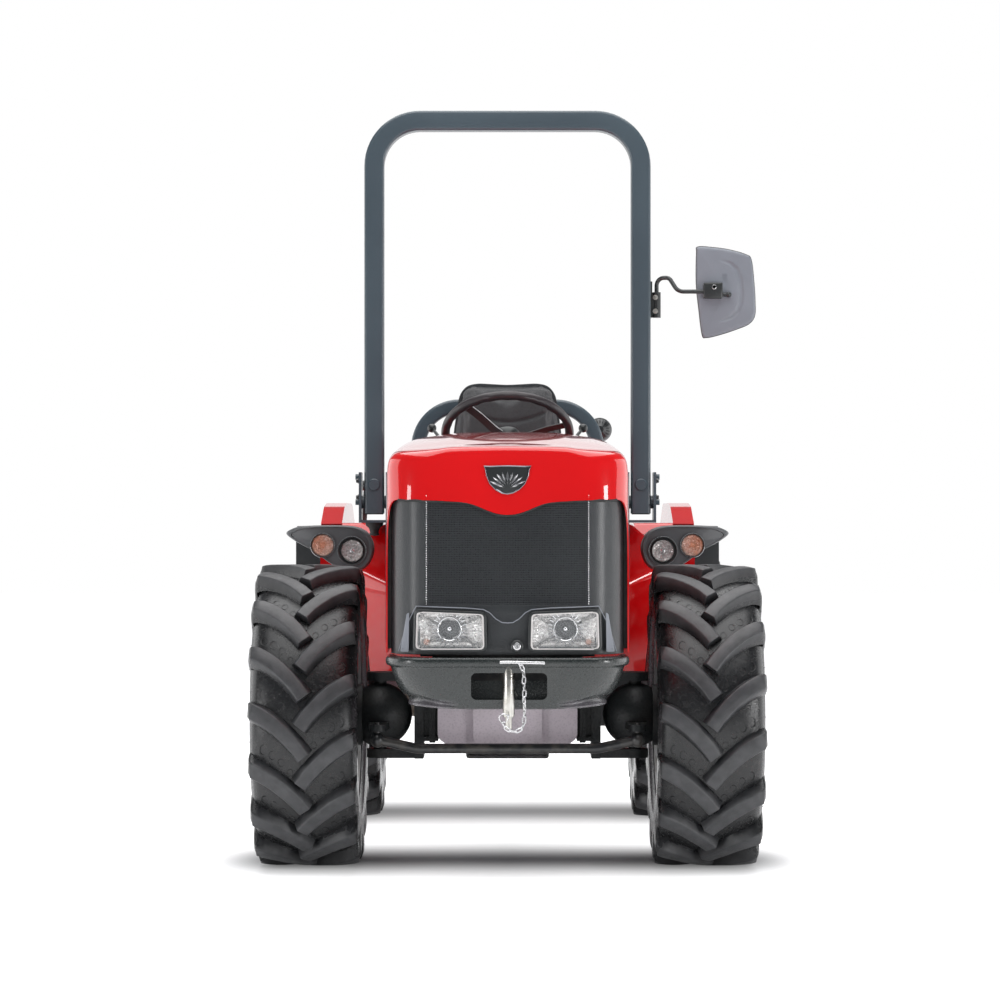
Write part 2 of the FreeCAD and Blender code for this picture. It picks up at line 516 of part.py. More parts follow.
# Places behind the rear axle, negative ahead of it.
REAR_PLACES = [
    ("hood_rear", -730, "rear edge of the bonnet"),
    ("bar_y", -690, "roll bar's centre plane"),
    ("platform_front", -648, "front face of the shields"),
    ("fender_front", -502, "front face of the mudguards"),
    ("stalk_y", -610, "stalk's foot"),
    ("lever_y", -370, "foremost lever on the shelf"),
    ("console_foot_front", -656, "console's foot"),
    ("console_foot_rear", -560, "console's foot"),
    ("console_rear", -520, "rear face of the console"),
    ("cowl_crest", -630, "highest line of the cowl"),
    ("cowl_rear_low", -480, "rear lower edge of the cowl"),
    ("cowl_rear", -474, "rear upper edge of the cowl"),
    ("wheel_y", -400, "steering wheel centre"),
    ("deck_front", -190, "front face of the seat deck"),
    ("sump_front", -190, "front of the rear housing's sump"),
    ("sump_flat", -150, "flat bottom of the sump"),
    ("tower_front", -200, "foot of the rear housing's tower"),
    ("tower_top_front", -170, "top of the tower"),
    ("tower_top_rear", 120, "top of the tower"),
    ("tower_rear", 150, "foot of the tower"),
    ("axle_box_front", -120, "rear axle box"),
    ("axle_box_rear", 92, "rear axle box"),
    ("seat_front", -150, "front of the seat cushion"),
    ("link_pivot_y", 130, "lower link pivot"),
    ("rock_y", 210, "lift shaft"),
    ("rear_face", 260, "rear face of the transmission"),
    ("top_pin_y", 292, "top link pin"),
    ("hoop_y", 308, "rear hoop's centre plane"),
    ("deck_rear", 340, "rear face of the seat deck"),
    ("fender_rear", 490, "rear edge of the mudguards"),
]


class Size:
    """A number with the formula it comes from, so that a feature can be bound to the sheet."""

    def __init__(self, value, text):
        self.value = float(value)
        self.text = text

    def _with(self, other, sign, result):
        other_text = other.text if isinstance(other, Size) else repr(float(other))
        return Size(result, f"({self.text} {sign} {other_text})")

    def __add__(self, other):
        return self._with(other, "+", self.value + number(other))

    def __radd__(self, other):
        return self + other

    def __sub__(self, other):
        return self._with(other, "-", self.value - number(other))

    def __rsub__(self, other):
        return -self + other

    def __neg__(self):
        return Size(-self.value, f"(-1 * {self.text})")

    def __mul__(self, other):
        return self._with(other, "*", self.value * number(other))

    def __rmul__(self, other):
        return self * other

    def __truediv__(self, other):
        return self._with(other, "/", self.value / number(other))


def number(size):
    return size.value if isinstance(size, Size) else float(size)


class Named:
    """The sizes of the sheet by name."""


def fill_sheet():
    """Writes every table to the sheet and returns the sizes bound to its cells."""
    named = Named()
    rows = SIZES + HEIGHTS + FRONT_PLACES + REAR_PLACES
    for row, (alias, value, note) in enumerate(rows, start=1):
        SHEET.set(f"A{row}", note)
        SHEET.set(f"B{row}", repr(value))
        SHEET.setAlias(f"B{row}", alias)
        setattr(named, alias, Size(value, f"sizes.{alias}"))
    DOC.recompute()
    return named


S = fill_sheet()

# Places that follow from the driving sizes.
FRONT = -(S.overall_length / 2)
REAR = S.overall_length / 2
FRONT_AXLE = FRONT + S.front_overhang
REAR_AXLE = FRONT_AXLE + S.wheelbase
AXLE_Z = S.tyre_diameter / 2
WHEEL_X = S.track / 2
TYRE_INNER = WHEEL_X - S.tyre_width / 2
HUB_X = WHEEL_X + S.disc_offset
for table, datum in ((HEIGHTS, AXLE_Z), (FRONT_PLACES, FRONT_AXLE), (REAR_PLACES, REAR_AXLE)):
    for alias, _value, _note in table:
        setattr(S, alias, datum + getattr(S, alias))
RAIL_TOP = S.rail_bottom + S.rail_height
STAND_TOP = RAIL_TOP + S.frame_plate
RADIATOR_REAR = S.radiator_front + S.radiator_depth
WEIGHT_TOP = S.bumper_bottom + S.bumper_height
KINGPIN_X = TYRE_INNER - S.kingpin_gap
DECK_HALF = TYRE_INNER - S.deck_gap
PLATFORM_HALF = DECK_HALF + S.platform_flare
FENDER_TOP = AXLE_Z + S.tyre_diameter / 2 + S.fender_gap
CREST_IN = WHEEL_X - S.crest_inset
CREST_OUT = CREST_IN + S.crest_width
CREST_TOP = FENDER_TOP + S.crest_rise
FLARE_OUT = CREST_OUT + S.flare_width
HOOD_FRONT = FRONT + S.hood_setback
WEIGHT_HALF = S.hood_half_width - S.flange_inset
GRILLE_HALF = S.hood_half_width - S.grille_inset
LAMP_X = GRILLE_HALF - S.lamp_inset
TUNNEL_HALF = S.gearbox_half_width + S.tunnel_gap

LYING_X = Rotation(Vector(0, 1, 0), 90)
LYING_Y = Rotation(Vector(1, 0, 0), -90)
UPRIGHT = Rotation()
NODES = {}


# ---------------------------------------------------------------- helpers


def bind(thing, path, size):
    if isinstance(size, Size):
        thing.setExpression(path, size.text)


def place(thing, x, y, z, rotation=UPRIGHT):
    thing.Placement = Placement(Vector(number(x), number(y), number(z)), rotation)
    for letter, size in zip("xyz", (x, y, z)):
        bind(thing, f"Placement.Base.{letter}", size)
    return thing


def node(name, thing):
    thing.Label = name
    NODES[name] = thing
    return thing


def block(name, x, y, z):
    """A box between two places on each axis."""
    box = DOC.addObject("Part::Box", name)
    for prop, (low, high) in zip(("Length", "Width", "Height"), (x, y, z)):
        setattr(box, prop, number(high) - number(low))
        bind(box, prop, high - low)
    return place(box, x[0], y[0], z[0])


def rod(name, radius, length, x, y, z, rotation=UPRIGHT):
    """A cylinder that starts at a point and runs along the rotated Z."""
    cylinder = DOC.addObject("Part::Cylinder", name)
    cylinder.Radius = number(radius)
    cylinder.Height = number(length)
    bind(cylinder, "Radius", radius)
    bind(cylinder, "Height", length)
    return place(cylinder, x, y, z, rotation)


def ball(name, radius, x, y, z):
    sphere = DOC.addObject("Part::Sphere", name)
    sphere.Radius = number(radius)
    bind(sphere, "Radius", radius)
    return place(sphere, x, y, z)


def fuse(name, pieces):
    union = DOC.addObject("Part::MultiFuse", name)
    union.Shapes = pieces
    union.Refine = True
    return union


def cut(name, base, tools):
    tool = tools[0] if len(tools) == 1 else fuse(f"{name}_tools", tools)
    difference = DOC.addObject("Part::Cut", name)
    difference.Base = base
    difference.Tool = tool
    difference.Refine = True
    return difference


def group(name, pieces):
    compound = DOC.addObject("Part::Compound", name)
    compound.Links = pieces
    return compound


def mirrored(name, source):
    """The same piece on the other side of the centre plane."""
    mirror = DOC.addObject("Part::Mirroring", name)
    mirror.Source = source
    mirror.Normal = Vector(1, 0, 0)
    return mirror


def body(name):
    return DOC.addObject("PartDesign::Body", name)


def sketch_on(owner, name, plane, offset=0):
    """A sketch on one of the body's origin planes, moved along the plane's own axis."""
    sketch = owner.newObject("Sketcher::SketchObject", name)
    support = [f for f in owner.Origin.OriginFeatures if f.Role == plane][0]
    sketch.AttachmentSupport = [(support, "")]
    sketch.MapMode = "FlatFace"
    along = -offset if plane == "XZ_Plane" else offset + 0
    sketch.AttachmentOffset = Placement(Vector(0, 0, number(along)), Rotation())
    bind(sketch, "AttachmentOffset.Base.z", along)
    return sketch


def fix(sketch, kind, geometry, point, size):
    """Ties a point to the sketch's origin along one direction."""
    index = sketch.addConstraint(
        Sketcher.Constraint(kind, -1, 1, geometry, point, number(size))
    )
    bind(sketch, f"Constraints[{index}]", size)


def outline(sketch, corners):
    """A closed outline of straight edges. A corner is (x, y) or (x, y, rounding)."""
    spots = [Vector(number(c[0]), number(c[1]), 0) for c in corners]
    trims = [0.0] * len(corners)
    for i, corner in enumerate(corners):
        if len(corner) == 3:
            back = (spots[i - 1] - spots[i]).normalize()
            ahead = (spots[(i + 1) % len(spots)] - spots[i]).normalize()
            half_angle = back.getAngle(ahead) / 2
            trims[i] = number(corner[2]) / math.tan(half_angle)
    edges = []
    for i, spot in enumerate(spots):
        after = (i + 1) % len(spots)
        along = (spots[after] - spot).normalize()
        start = spot + along * trims[i]
        end = spots[after] - along * trims[after]
        edges.append(sketch.addGeometry(Part.LineSegment(start, end), False))
    for i, corner in enumerate(corners):
        before, after = edges[i - 1], edges[i]
        if len(corner) == 3:
            tip = round_corner(sketch, before, after, spots[i], corner[2])
            fix(sketch, "DistanceX", tip, 1, corner[0])
            fix(sketch, "DistanceY", tip, 1, corner[1])
        else:
            sketch.addConstraint(Sketcher.Constraint("Coincident", before, 2, after, 1))
            fix(sketch, "DistanceX", after, 1, corner[0])
            fix(sketch, "DistanceY", after, 1, corner[1])
    return sketch


def round_corner(sketch, before, after, spot, rounding):
    """An arc between two edges. Returns the construction point that marks their corner."""
    first, second = sketch.Geometry[before], sketch.Geometry[after]
    into = (first.EndPoint - first.StartPoint).normalize()
    out = (second.EndPoint - second.StartPoint).normalize()
    left_turn = into.cross(out).z > 0
    side = Vector(-into.y, into.x, 0) * (1 if left_turn else -1)
    centre = first.EndPoint + side * number(rounding)
    angles = [
        math.atan2(p.y - centre.y, p.x - centre.x)
        for p in (first.EndPoint, second.StartPoint)
    ]
    if not left_turn:
        angles.reverse()
    circle = Part.Circle(centre, Vector(0, 0, 1), number(rounding))
    arc = sketch.addGeometry(Part.ArcOfCircle(circle, *angles), False)
    start, end = (1, 2) if left_turn else (2, 1)
    tip = sketch.addGeometry(Part.Point(spot), True)
    sketch.addConstraint(Sketcher.Constraint("Tangent", before, 2, arc, start))
    sketch.addConstraint(Sketcher.Constraint("Tangent", arc, end, after, 1))
    sketch.addConstraint(Sketcher.Constraint("PointOnObject", tip, 1, before))
    sketch.addConstraint(Sketcher.Constraint("PointOnObject", tip, 1, after))
    radius = sketch.addConstraint(Sketcher.Constraint("Radius", arc, number(rounding)))
    bind(sketch, f"Constraints[{radius}]", rounding)
    return tip


def disc(sketch, x, y, radius):
    """A full circle in a sketch."""
    circle = Part.Circle(Vector(number(x), number(y), 0), Vector(0, 0, 1), number(radius))
    index = sketch.addGeometry(circle, False)
    fix(sketch, "DistanceX", index, 3, x)
    fix(sketch, "DistanceY", index, 3, y)
    rule = sketch.addConstraint(Sketcher.Constraint("Radius", index, number(radius)))
    bind(sketch, f"Constraints[{rule}]", radius)
    return sketch


def symmetric(owner, kind, name, sketch, length):
    """A pad or pocket that reaches as far on both sides of its sketch."""
    feature = owner.newObject(f"PartDesign::{kind}", name)
    feature.Profile = sketch
    feature.SideType = "Symmetric"
    feature.Length = number(length)
    bind(feature, "Length", length)
    return feature


def pad(owner, name, plane, corners, low, high):
    """Material between two places along the plane's axis."""
    sketch = outline(sketch_on(owner, f"{name}_sketch", plane, (low + high) / 2), corners)
    return symmetric(owner, "Pad", name, sketch, high - low)


def pocket(owner, name, plane, corners, low, high):
    sketch = outline(sketch_on(owner, f"{name}_sketch", plane, (low + high) / 2), corners)
    return symmetric(owner, "Pocket", name, sketch, high - low)


def boss(owner, name, plane, spots, radius, low, high):
    """Round material at one or more spots."""
    sketch = sketch_on(owner, f"{name}_sketch", plane, (low + high) / 2)
    for x, y in spots:
        disc(sketch, x, y, radius)
    return symmetric(owner, "Pad", name, sketch, high - low)


def bore(owner, name, plane, spots, radius, low, high):
    """Round holes at one or more spots."""
    sketch = sketch_on(owner, f"{name}_sketch", plane, (low + high) / 2)
    for x, y in spots:
        disc(sketch, x, y, radius)
    return symmetric(owner, "Pocket", name, sketch, high - low)


def turned(owner, name, corners):
    """A revolved piece: corners are (radius, place along the turning axis Z)."""
    sketch = outline(sketch_on(owner, f"{name}_sketch", "XZ_Plane"), corners)
    feature = owner.newObject("PartDesign::Revolution", name)
    feature.Profile = sketch
    feature.ReferenceAxis = (sketch, ["V_Axis"])
    feature.Angle = 360
    return feature


def round_edges(owner, name, radius, chosen):
    """Rounds the edges of the body's tip that the test chooses."""
    DOC.recompute()
    tip = owner.Tip
    names = [f"Edge{i}" for i, e in enumerate(tip.Shape.Edges, start=1) if chosen(e)]
    fillet = owner.newObject("PartDesign::Fillet", name)
    fillet.Base = (tip, names)
    fillet.Radius = number(radius)
    bind(fillet, "Radius", radius)
    return fillet


def along(axis):
    """A test for straight edges that run along an axis."""
    unit = {"x": Vector(1, 0, 0), "y": Vector(0, 1, 0), "z": Vector(0, 0, 1)}[axis]

    def chosen(edge):
        if not isinstance(edge.Curve, (Part.Line, Part.LineSegment)):
            return False
        direction = edge.tangentAt(edge.FirstParameter)
        return abs(abs(direction.dot(unit)) - 1) < 1e-6

    return chosen


def made(name, shape):
    """A piece whose shape is computed from the sheet's values."""
    feature = DOC.addObject("Part::Feature", name)
    feature.Shape = shape
    return feature


def bent_wire(points, radii):
    """Straight runs joined by tangent arcs."""
    edges = []
    start = points[0]
    for i in range(1, len(points) - 1):
        back = (points[i - 1] - points[i]).normalize()
        ahead = (points[i + 1] - points[i]).normalize()
        trim = radii[i - 1] / math.tan(back.getAngle(ahead) / 2)
        first, last = points[i] + back * trim, points[i] + ahead * trim
        bisector = (back + ahead).normalize()
        reach = radii[i - 1] / math.sin(back.getAngle(ahead) / 2)
        middle = points[i] + bisector * (reach - radii[i - 1])
        edges.append(Part.LineSegment(start, first).toShape())
        edges.append(Part.Arc(first, middle, last).toShape())
        start = last
    edges.append(Part.LineSegment(start, points[-1]).toShape())
    return Part.Wire(edges)


def round_tube(points, radii, radius):
    """A round bar along straight runs and arcs."""
    path = bent_wire(points, radii)
    direction = points[1] - points[0]
    section = Part.Wire(Part.makeCircle(radius, points[0], direction))
    return path.makePipeShell([section], True, True)


def square_hoop(half_width, foot, top, bend, side, y):
    """A square tube bent into an upright arch; half_width and top are to the centre line."""
    points = [
        Vector(-half_width, y, foot),
        Vector(-half_width, y, top),
        Vector(half_width, y, top),
        Vector(half_width, y, foot),
    ]
    h = side / 2
    section = Part.makePolygon(
        [
            Vector(-half_width - h, y - h, foot),
            Vector(-half_width + h, y - h, foot),
            Vector(-half_width + h, y + h, foot),
            Vector(-half_width - h, y + h, foot),
            Vector(-half_width - h, y - h, foot),
        ]
    )
    return bent_wire(points, [bend, bend]).makePipeShell([section], True, True)


# ---------------------------------------------------------------- wheels


def tyre(name):
    """A solid tyre body between its beads and the tips of its lugs."""
    bead = S.rim_diameter / 2 + S.seat_clearance
    crown = S.tyre_diameter / 2
    side, tread, foot = S.tyre_width / 2, S.crown_width / 2, S.rim_width / 2 - S.bead_inset
    owner = body(name)
    half = [
        (bead, foot),
        (bead + S.flange_height + S.bead_inset, foot),
        (bead + S.sidewall_rise, side, S.sidewall_rounding),
        (crown - S.shoulder_drop, side, S.shoulder_rounding),
        (crown, tread, S.tread_rounding),
    ]
    other_half = [(c[0], -c[1], *c[2:]) for c in reversed(half)]
    turned(owner, f"{name}_section", half + other_half)
    return owner


def rim(name):
    """A steel rim with its disc and hub in one, bored for the spindle."""
    seat = S.rim_diameter / 2
    inside = seat - S.rim_wall
    lip, edge = seat + S.flange_height, S.rim_width / 2
    hole = S.spindle_radius + S.pin_clearance
    face = S.disc_offset
    back = face + S.hub_wall
    dish = face + S.disc_dish
    slope = S.hub_radius + S.disc_slope
    owner = body(name)
    turned(
        owner,
        f"{name}_section",
        [
            (hole, face),
            (S.hub_radius, face),
            (S.hub_radius, back),
            (slope, back),
            (inside, dish),
            (inside, -edge - S.flange_wall),
            (lip, -edge - S.flange_wall),
            (lip, -edge),
            (seat, -edge),
            (seat, edge),
            (lip, edge),
            (lip, edge + S.flange_wall),
            (inside, edge + S.flange_wall),
            (inside, dish + S.disc_wall),
            (slope - S.disc_wall / 4, back + S.disc_wall),
            (S.hub_radius - S.hub_step, back + S.disc_wall),
            (S.hub_cap_radius, face + S.hub_cap_length, 6),
            (0, face + S.hub_cap_length),
            (0, face + S.spindle_length + S.spindle_end_gap),
            (hole, face + S.spindle_length + S.spindle_end_gap),
        ],
    )
    return owner


def wheels():
    for end, y in (("front", FRONT_AXLE), ("rear", REAR_AXLE)):
        for side, sign in (("left", 1), ("right", -1)):
            outwards = Rotation(Vector(0, 1, 0), 90 * sign)
            for kind, make in (("tyre", tyre), ("rim", rim)):
                name = f"{end}_{side}_{kind}"
                node(name, place(make(name), WHEEL_X * sign, y, AXLE_Z, outwards))


wheels()


# ---------------------------------------------------------------- front axle and steering

EAR_TOP = AXLE_Z + S.knuckle_radius + S.ear_gap
EAR_BOTTOM = AXLE_Z - S.knuckle_radius - S.ear_gap
ARM_Z = AXLE_Z - S.steering_arm_drop
BALL_Y = FRONT_AXLE - S.steering_arm
SPINDLE_END = HUB_X + S.spindle_length


def knuckle(name):
    """The round steering knuckle with its kingpins, steering arm and wheel spindle."""
    x, y = KINGPIN_X, FRONT_AXLE
    housing_end = HUB_X - S.hub_gap
    pin = rod(
        f"{name}_kingpin",
        S.kingpin_radius,
        EAR_TOP - EAR_BOTTOM + (S.ear_wall - S.kingpin_inset) * 2,
        x,
        y,
        EAR_BOTTOM - S.ear_wall + S.kingpin_inset,
    )
    dome = ball(f"{name}_dome", S.knuckle_radius, x, y, AXLE_Z)
    drum = rod(
        f"{name}_drum",
        S.knuckle_drum,
        housing_end - x - S.drum_start,
        x + S.drum_start,
        y,
        AXLE_Z,
        LYING_X,
    )
    neck = rod(f"{name}_neck", S.knuckle_neck, housing_end - x, x, y, AXLE_Z, LYING_X)
    spindle = rod(
        f"{name}_spindle", S.spindle_radius, SPINDLE_END - x, x, y, AXLE_Z, LYING_X
    )
    arm = body(f"{name}_arm")
    half = S.arm_eye
    pad(
        arm,
        f"{name}_arm_pad",
        "XY_Plane",
        [
            (x - half, BALL_Y - half, half - 1),
            (x + half, BALL_Y - half, half - 1),
            (x + S.arm_root, y),
            (x - S.arm_root, y),
        ],
        ARM_Z,
        ARM_Z + S.arm_wall,
    )
    hole = rod(
        f"{name}_eye", S.stud_radius + S.pin_clearance, S.arm_wall + 20, x, BALL_Y, ARM_Z - 10
    )
    return cut(name, fuse(f"{name}_casting", [pin, dome, drum, neck, spindle, arm]), [hole])


def front_axle_beam():
    """The ribbed axle tubes, one each side of the differential, ending in kingpin yokes."""
    y = FRONT_AXLE
    web_out = KINGPIN_X - S.knuckle_radius - S.web_gap
    web_in = web_out - S.web_wall
    core_low, core_high = AXLE_Z - S.beam_half_height, AXLE_Z + S.beam_half_height
    flange_low = core_low - S.beam_flange

    def across(reach):
        return (y - S.beam_half_depth - reach, y + S.beam_half_depth + reach)

    pieces = [
        block("beam_core", (S.diff_half_width, web_in), across(0), (core_low, core_high)),
        block(
            "beam_web",
            (web_in, web_out),
            across(S.web_lip),
            (EAR_BOTTOM - S.ear_wall, EAR_TOP + S.ear_wall),
        ),
        block(
            "beam_bottom_flange",
            (S.diff_half_width, web_in),
            across(S.beam_flange_lip),
            (flange_low, core_low),
        ),
    ]
    for spot, height in (("low", EAR_BOTTOM - S.ear_wall), ("high", EAR_TOP)):
        pieces.append(
            block(
                f"ear_{spot}",
                (web_out, KINGPIN_X),
                (y - S.ear_radius, y + S.ear_radius),
                (height, height + S.ear_wall),
            )
        )
        pieces.append(rod(f"ear_round_{spot}", S.ear_radius, S.ear_wall, KINGPIN_X, y, height))
    ribs = [S.diff_half_width + S.rib_setback, (S.diff_half_width + web_in) / 2]
    for i, x in enumerate(ribs):
        pieces.append(
            block(
                f"beam_rib_{i}",
                (x - S.rib_wall / 2, x + S.rib_wall / 2),
                across(S.rib_reach),
                (flange_low - S.rib_drop, core_high),
            )
        )
    holes = [
        rod(
            "kingpin_bores",
            S.kingpin_radius + S.pin_clearance,
            EAR_TOP - EAR_BOTTOM + S.ear_wall * 4,
            KINGPIN_X,
            y,
            EAR_BOTTOM - S.ear_wall * 2,
        )
    ]
    left = cut("axle_beam_left", fuse("axle_beam_left_casting", pieces), holes)
    return group("front_axle_beam", [left, mirrored("axle_beam_right", left)])


def front_differential():
    """The rounded housing in the middle of the front axle, bolted up to the frame rails."""
    owner = body("front_differential")
    half, low, high = S.diff_half_width, S.diff_bottom, S.rail_bottom
    cover, inset = S.diff_cover_half, S.diff_cover_inset
    pad(
        owner,
        "differential_block",
        "XZ_Plane",
        [
            (-half, high),
            (-half, low + S.diff_side_height, 28),
            (-half + S.diff_taper, low, 60),
            (half - S.diff_taper, low, 60),
            (half, low + S.diff_side_height, 28),
            (half, high),
        ],
        FRONT_AXLE - S.diff_half_depth,
        FRONT_AXLE + S.diff_half_depth,
    )
    pad(
        owner,
        "differential_cover",
        "XZ_Plane",
        [
            (-cover, high - inset, 30),
            (-cover, low + inset, 30),
            (cover, low + inset, 30),
            (cover, high - inset, 30),
        ],
        FRONT_AXLE - S.diff_half_depth - S.diff_cover_wall,
        FRONT_AXLE - S.diff_half_depth + inset,
    )
    return owner


def tie_rod():
    """The cranked tube in front of the axle that joins the two steering arms."""
    x, y = number(KINGPIN_X), number(BALL_Y)
    high = number(ARM_Z - S.tie_rod_hang)
    low = high - number(S.tie_rod_drop)
    radius, crank, bend = number(S.tie_rod_radius), number(S.tie_rod_crank), number(S.tie_rod_bend)
    points = [Vector(-x, y, high), Vector(-x + crank, y, low), Vector(x - crank, y, low), Vector(x, y, high)]
    shape = round_tube(points, [bend, bend], radius)
    stud_length = number(ARM_Z + S.arm_wall + S.stud_reach) - high
    for side in (-x, x):
        shape = shape.fuse(Part.makeSphere(number(S.tie_ball_radius), Vector(side, y, high)))
        stud = Part.makeCylinder(number(S.stud_radius), stud_length, Vector(side, y, high))
        shape = shape.fuse(stud)
    return made("tie_rod", shape.removeSplitter())


left_knuckle = node("left_knuckle", knuckle("left_knuckle"))
node("right_knuckle", mirrored("right_knuckle", left_knuckle))
node("front_axle_beam", front_axle_beam())
node("front_differential", front_differential())
node("tie_rod", tie_rod())


# ---------------------------------------------------------------- frame, engine and gearbox


def front_frame():
    """Two rails from the bumper plate to the gearbox bell."""
    inner = S.frame_half_width - S.rail_wall
    plate_x = (-S.frame_plate_half, S.frame_plate_half)
    rail = block(
        "rail_left",
        (inner, S.frame_half_width),
        (S.frame_front, S.bell_front),
        (S.rail_bottom, RAIL_TOP),
    )
    plate = block(
        "bumper_plate", plate_x, (S.bumper_rear, S.frame_front), (S.rail_bottom, RAIL_TOP)
    )
    cross = block(
        "rail_cross",
        (-inner, inner),
        (FRONT_AXLE - S.cross_half_depth, FRONT_AXLE + S.cross_half_depth),
        (S.rail_bottom, S.rail_bottom + S.cross_wall),
    )
    stand = block(
        "radiator_stand",
        plate_x,
        (S.frame_front - S.stand_overlap, RADIATOR_REAR + S.radiator_tank_lip),
        (RAIL_TOP, STAND_TOP),
    )
    return fuse("front_frame", [rail, mirrored("rail_right", rail), plate, cross, stand])


def engine():
    """The engine as one plain block between the rails and the bonnet."""
    owner = body("engine_block")
    low = RAIL_TOP
    half = S.engine_half_width
    pad(
        owner,
        "engine_pad",
        "XZ_Plane",
        [(-half, low), (half, low), (half, low + S.engine_height, 30), (-half, low + S.engine_height, 30)],
        S.engine_front,
        S.bell_front,
    )
    return owner


def radiator():
    """The cooling core on its stand, with a wider tank on top."""
    half, high = S.hood_half_width - S.radiator_inset, STAND_TOP + S.radiator_height
    lip, side = S.radiator_tank_lip, half + S.radiator_tank_side
    core = block("radiator_core", (-half, half), (S.radiator_front, RADIATOR_REAR), (STAND_TOP, high))
    tank = block(
        "radiator_tank",
        (-side, side),
        (S.radiator_front - lip, RADIATOR_REAR + lip),
        (high, high + S.radiator_tank),
    )
    return fuse("radiator", [core, tank])


def gearbox():
    """The long transmission housing from the engine to the rear axle and its rear face."""
    owner = body("gearbox")
    half, r = S.gearbox_half_width, S.housing_rounding
    pad(
        owner,
        "gearbox_spine",
        "YZ_Plane",
        [
            (S.bell_front, RAIL_TOP + S.bell_rise),
            (S.bell_front, S.bell_bottom, r),
            (S.bell_front + S.bell_length, S.gearbox_bottom, r),
            (S.sump_front, S.gearbox_bottom),
            (S.sump_flat, S.housing_bottom, r),
            (S.rear_face, S.housing_bottom, r),
            (S.rear_face, S.housing_step, r),
            (S.tower_rear, S.housing_step, r),
            (S.tower_top_rear, S.housing_top, r),
            (S.tower_top_front, S.housing_top, r),
            (S.tower_front, RAIL_TOP, r),
            (S.bell_front + S.bell_top_length + S.bell_slope, RAIL_TOP, r),
            (S.bell_front + S.bell_top_length, RAIL_TOP + S.bell_rise, r),
        ],
        -half,
        half,
    )
    pad(
        owner,
        "rear_housing",
        "YZ_Plane",
        [
            (S.axle_box_front, S.axle_box_bottom, 30),
            (S.axle_box_rear, S.axle_box_bottom, 30),
            (S.axle_box_rear, S.axle_box_top, 30),
            (S.axle_box_front, S.axle_box_top, 30),
        ],
        -S.housing_half_width,
        S.housing_half_width,
    )
    side = number(half) - 1
    round_edges(
        owner,
        "gearbox_rounding",
        S.housing_edge,
        lambda e: along("y")(e) and abs(e.CenterOfMass.x) > side,
    )
    return owner


def rear_axle():
    """Axle tubes with brake drums and spindles, one each side of the rear housing."""
    x0, x1 = S.housing_half_width, HUB_X - S.hub_gap
    y, z = REAR_AXLE, AXLE_Z
    tube = rod("rear_tube", S.axle_tube_radius, x1 - x0, x0, y, z, LYING_X)
    flange = rod("rear_flange", S.axle_flange_radius, S.axle_flange_wall, x0, y, z, LYING_X)
    drum = rod("rear_drum", S.drum_radius, S.drum_length, x1 - S.drum_length, y, z, LYING_X)
    spindle = rod(
        "rear_spindle", S.spindle_radius, SPINDLE_END - x0, x0, REAR_AXLE, AXLE_Z, LYING_X
    )
    left = fuse("rear_axle_left", [tube, flange, drum, spindle])
    return group("rear_axle", [left, mirrored("rear_axle_right", left)])


def belly_plate():
    """The folded skid plate under the gearbox."""
    owner = body("belly_plate")
    top, low, half = S.gearbox_bottom, S.housing_bottom, S.belly_half_width
    inside, floor = half - S.belly_wall, low + S.belly_wall
    pad(
        owner,
        "belly_section",
        "XZ_Plane",
        [
            (-half, top), (-half, low, 9), (half, low, 9), (half, top),
            (inside, top), (inside, floor), (-inside, floor), (-inside, top),
        ],
        S.bell_front + S.bell_length,
        S.bell_front + S.bell_length + S.belly_length,
    )
    return owner


def bumper():
    """The cast front weight: a flange, a body that tapers downwards and a tow jaw."""
    owner = body("bumper")
    half, rear = WEIGHT_HALF, S.bumper_rear
    low, high = S.bumper_bottom, WEIGHT_TOP
    corner = half - S.flange_corner
    pad(
        owner,
        "bumper_flange_pad",
        "XY_Plane",
        [
            (-half, rear),
            (-half, FRONT + S.flange_cheek, 70),
            (-corner, FRONT + S.flange_nose, 120),
            (corner, FRONT + S.flange_nose, 120),
            (half, FRONT + S.flange_cheek, 70),
            (half, rear),
        ],
        high - 2,
        high + S.bumper_flange,
    )
    inset = half - S.weight_inset
    corner = inset - S.weight_corner
    pad(
        owner,
        "bumper_body",
        "XY_Plane",
        [
            (-inset, rear),
            (-inset, FRONT + S.weight_cheek, 80),
            (-corner, FRONT, 160),
            (corner, FRONT, 160),
            (inset, FRONT + S.weight_cheek, 80),
            (inset, rear),
        ],
        low,
        high,
    )
    # the underside sweeps up towards both sides
    for side in (-1, 1):
        pocket(
            owner,
            f"bumper_sweep_{'left' if side > 0 else 'right'}",
            "XZ_Plane",
            [
                ((half + 30) * side, low - 20),
                (corner * side, low - 20),
                ((inset - S.sweep_start) * side, low, 12),
                ((inset - S.sweep_middle) * side, low + S.sweep_low, 30),
                ((inset + 4) * side, low + S.sweep_high, 40),
                ((half + 30) * side, low + S.sweep_high + 20),
            ],
            FRONT - 10,
            rear + 10,
        )
    jaw_low = low + S.jaw_sill
    pocket(
        owner,
        "jaw",
        "XZ_Plane",
        [
            (-S.jaw_half_width, jaw_low, 24),
            (S.jaw_half_width, jaw_low, 24),
            (S.jaw_half_width, jaw_low + S.jaw_height),
            (-S.jaw_half_width, jaw_low + S.jaw_height),
        ],
        FRONT - 10,
        FRONT + S.jaw_depth,
    )
    bore(
        owner,
        "tow_pin_hole",
        "XY_Plane",
        [(0, FRONT + S.tow_pin_setback)],
        S.tow_pin_radius + S.pin_clearance,
        low - 10,
        high + S.bumper_flange + 10,
    )
    return owner


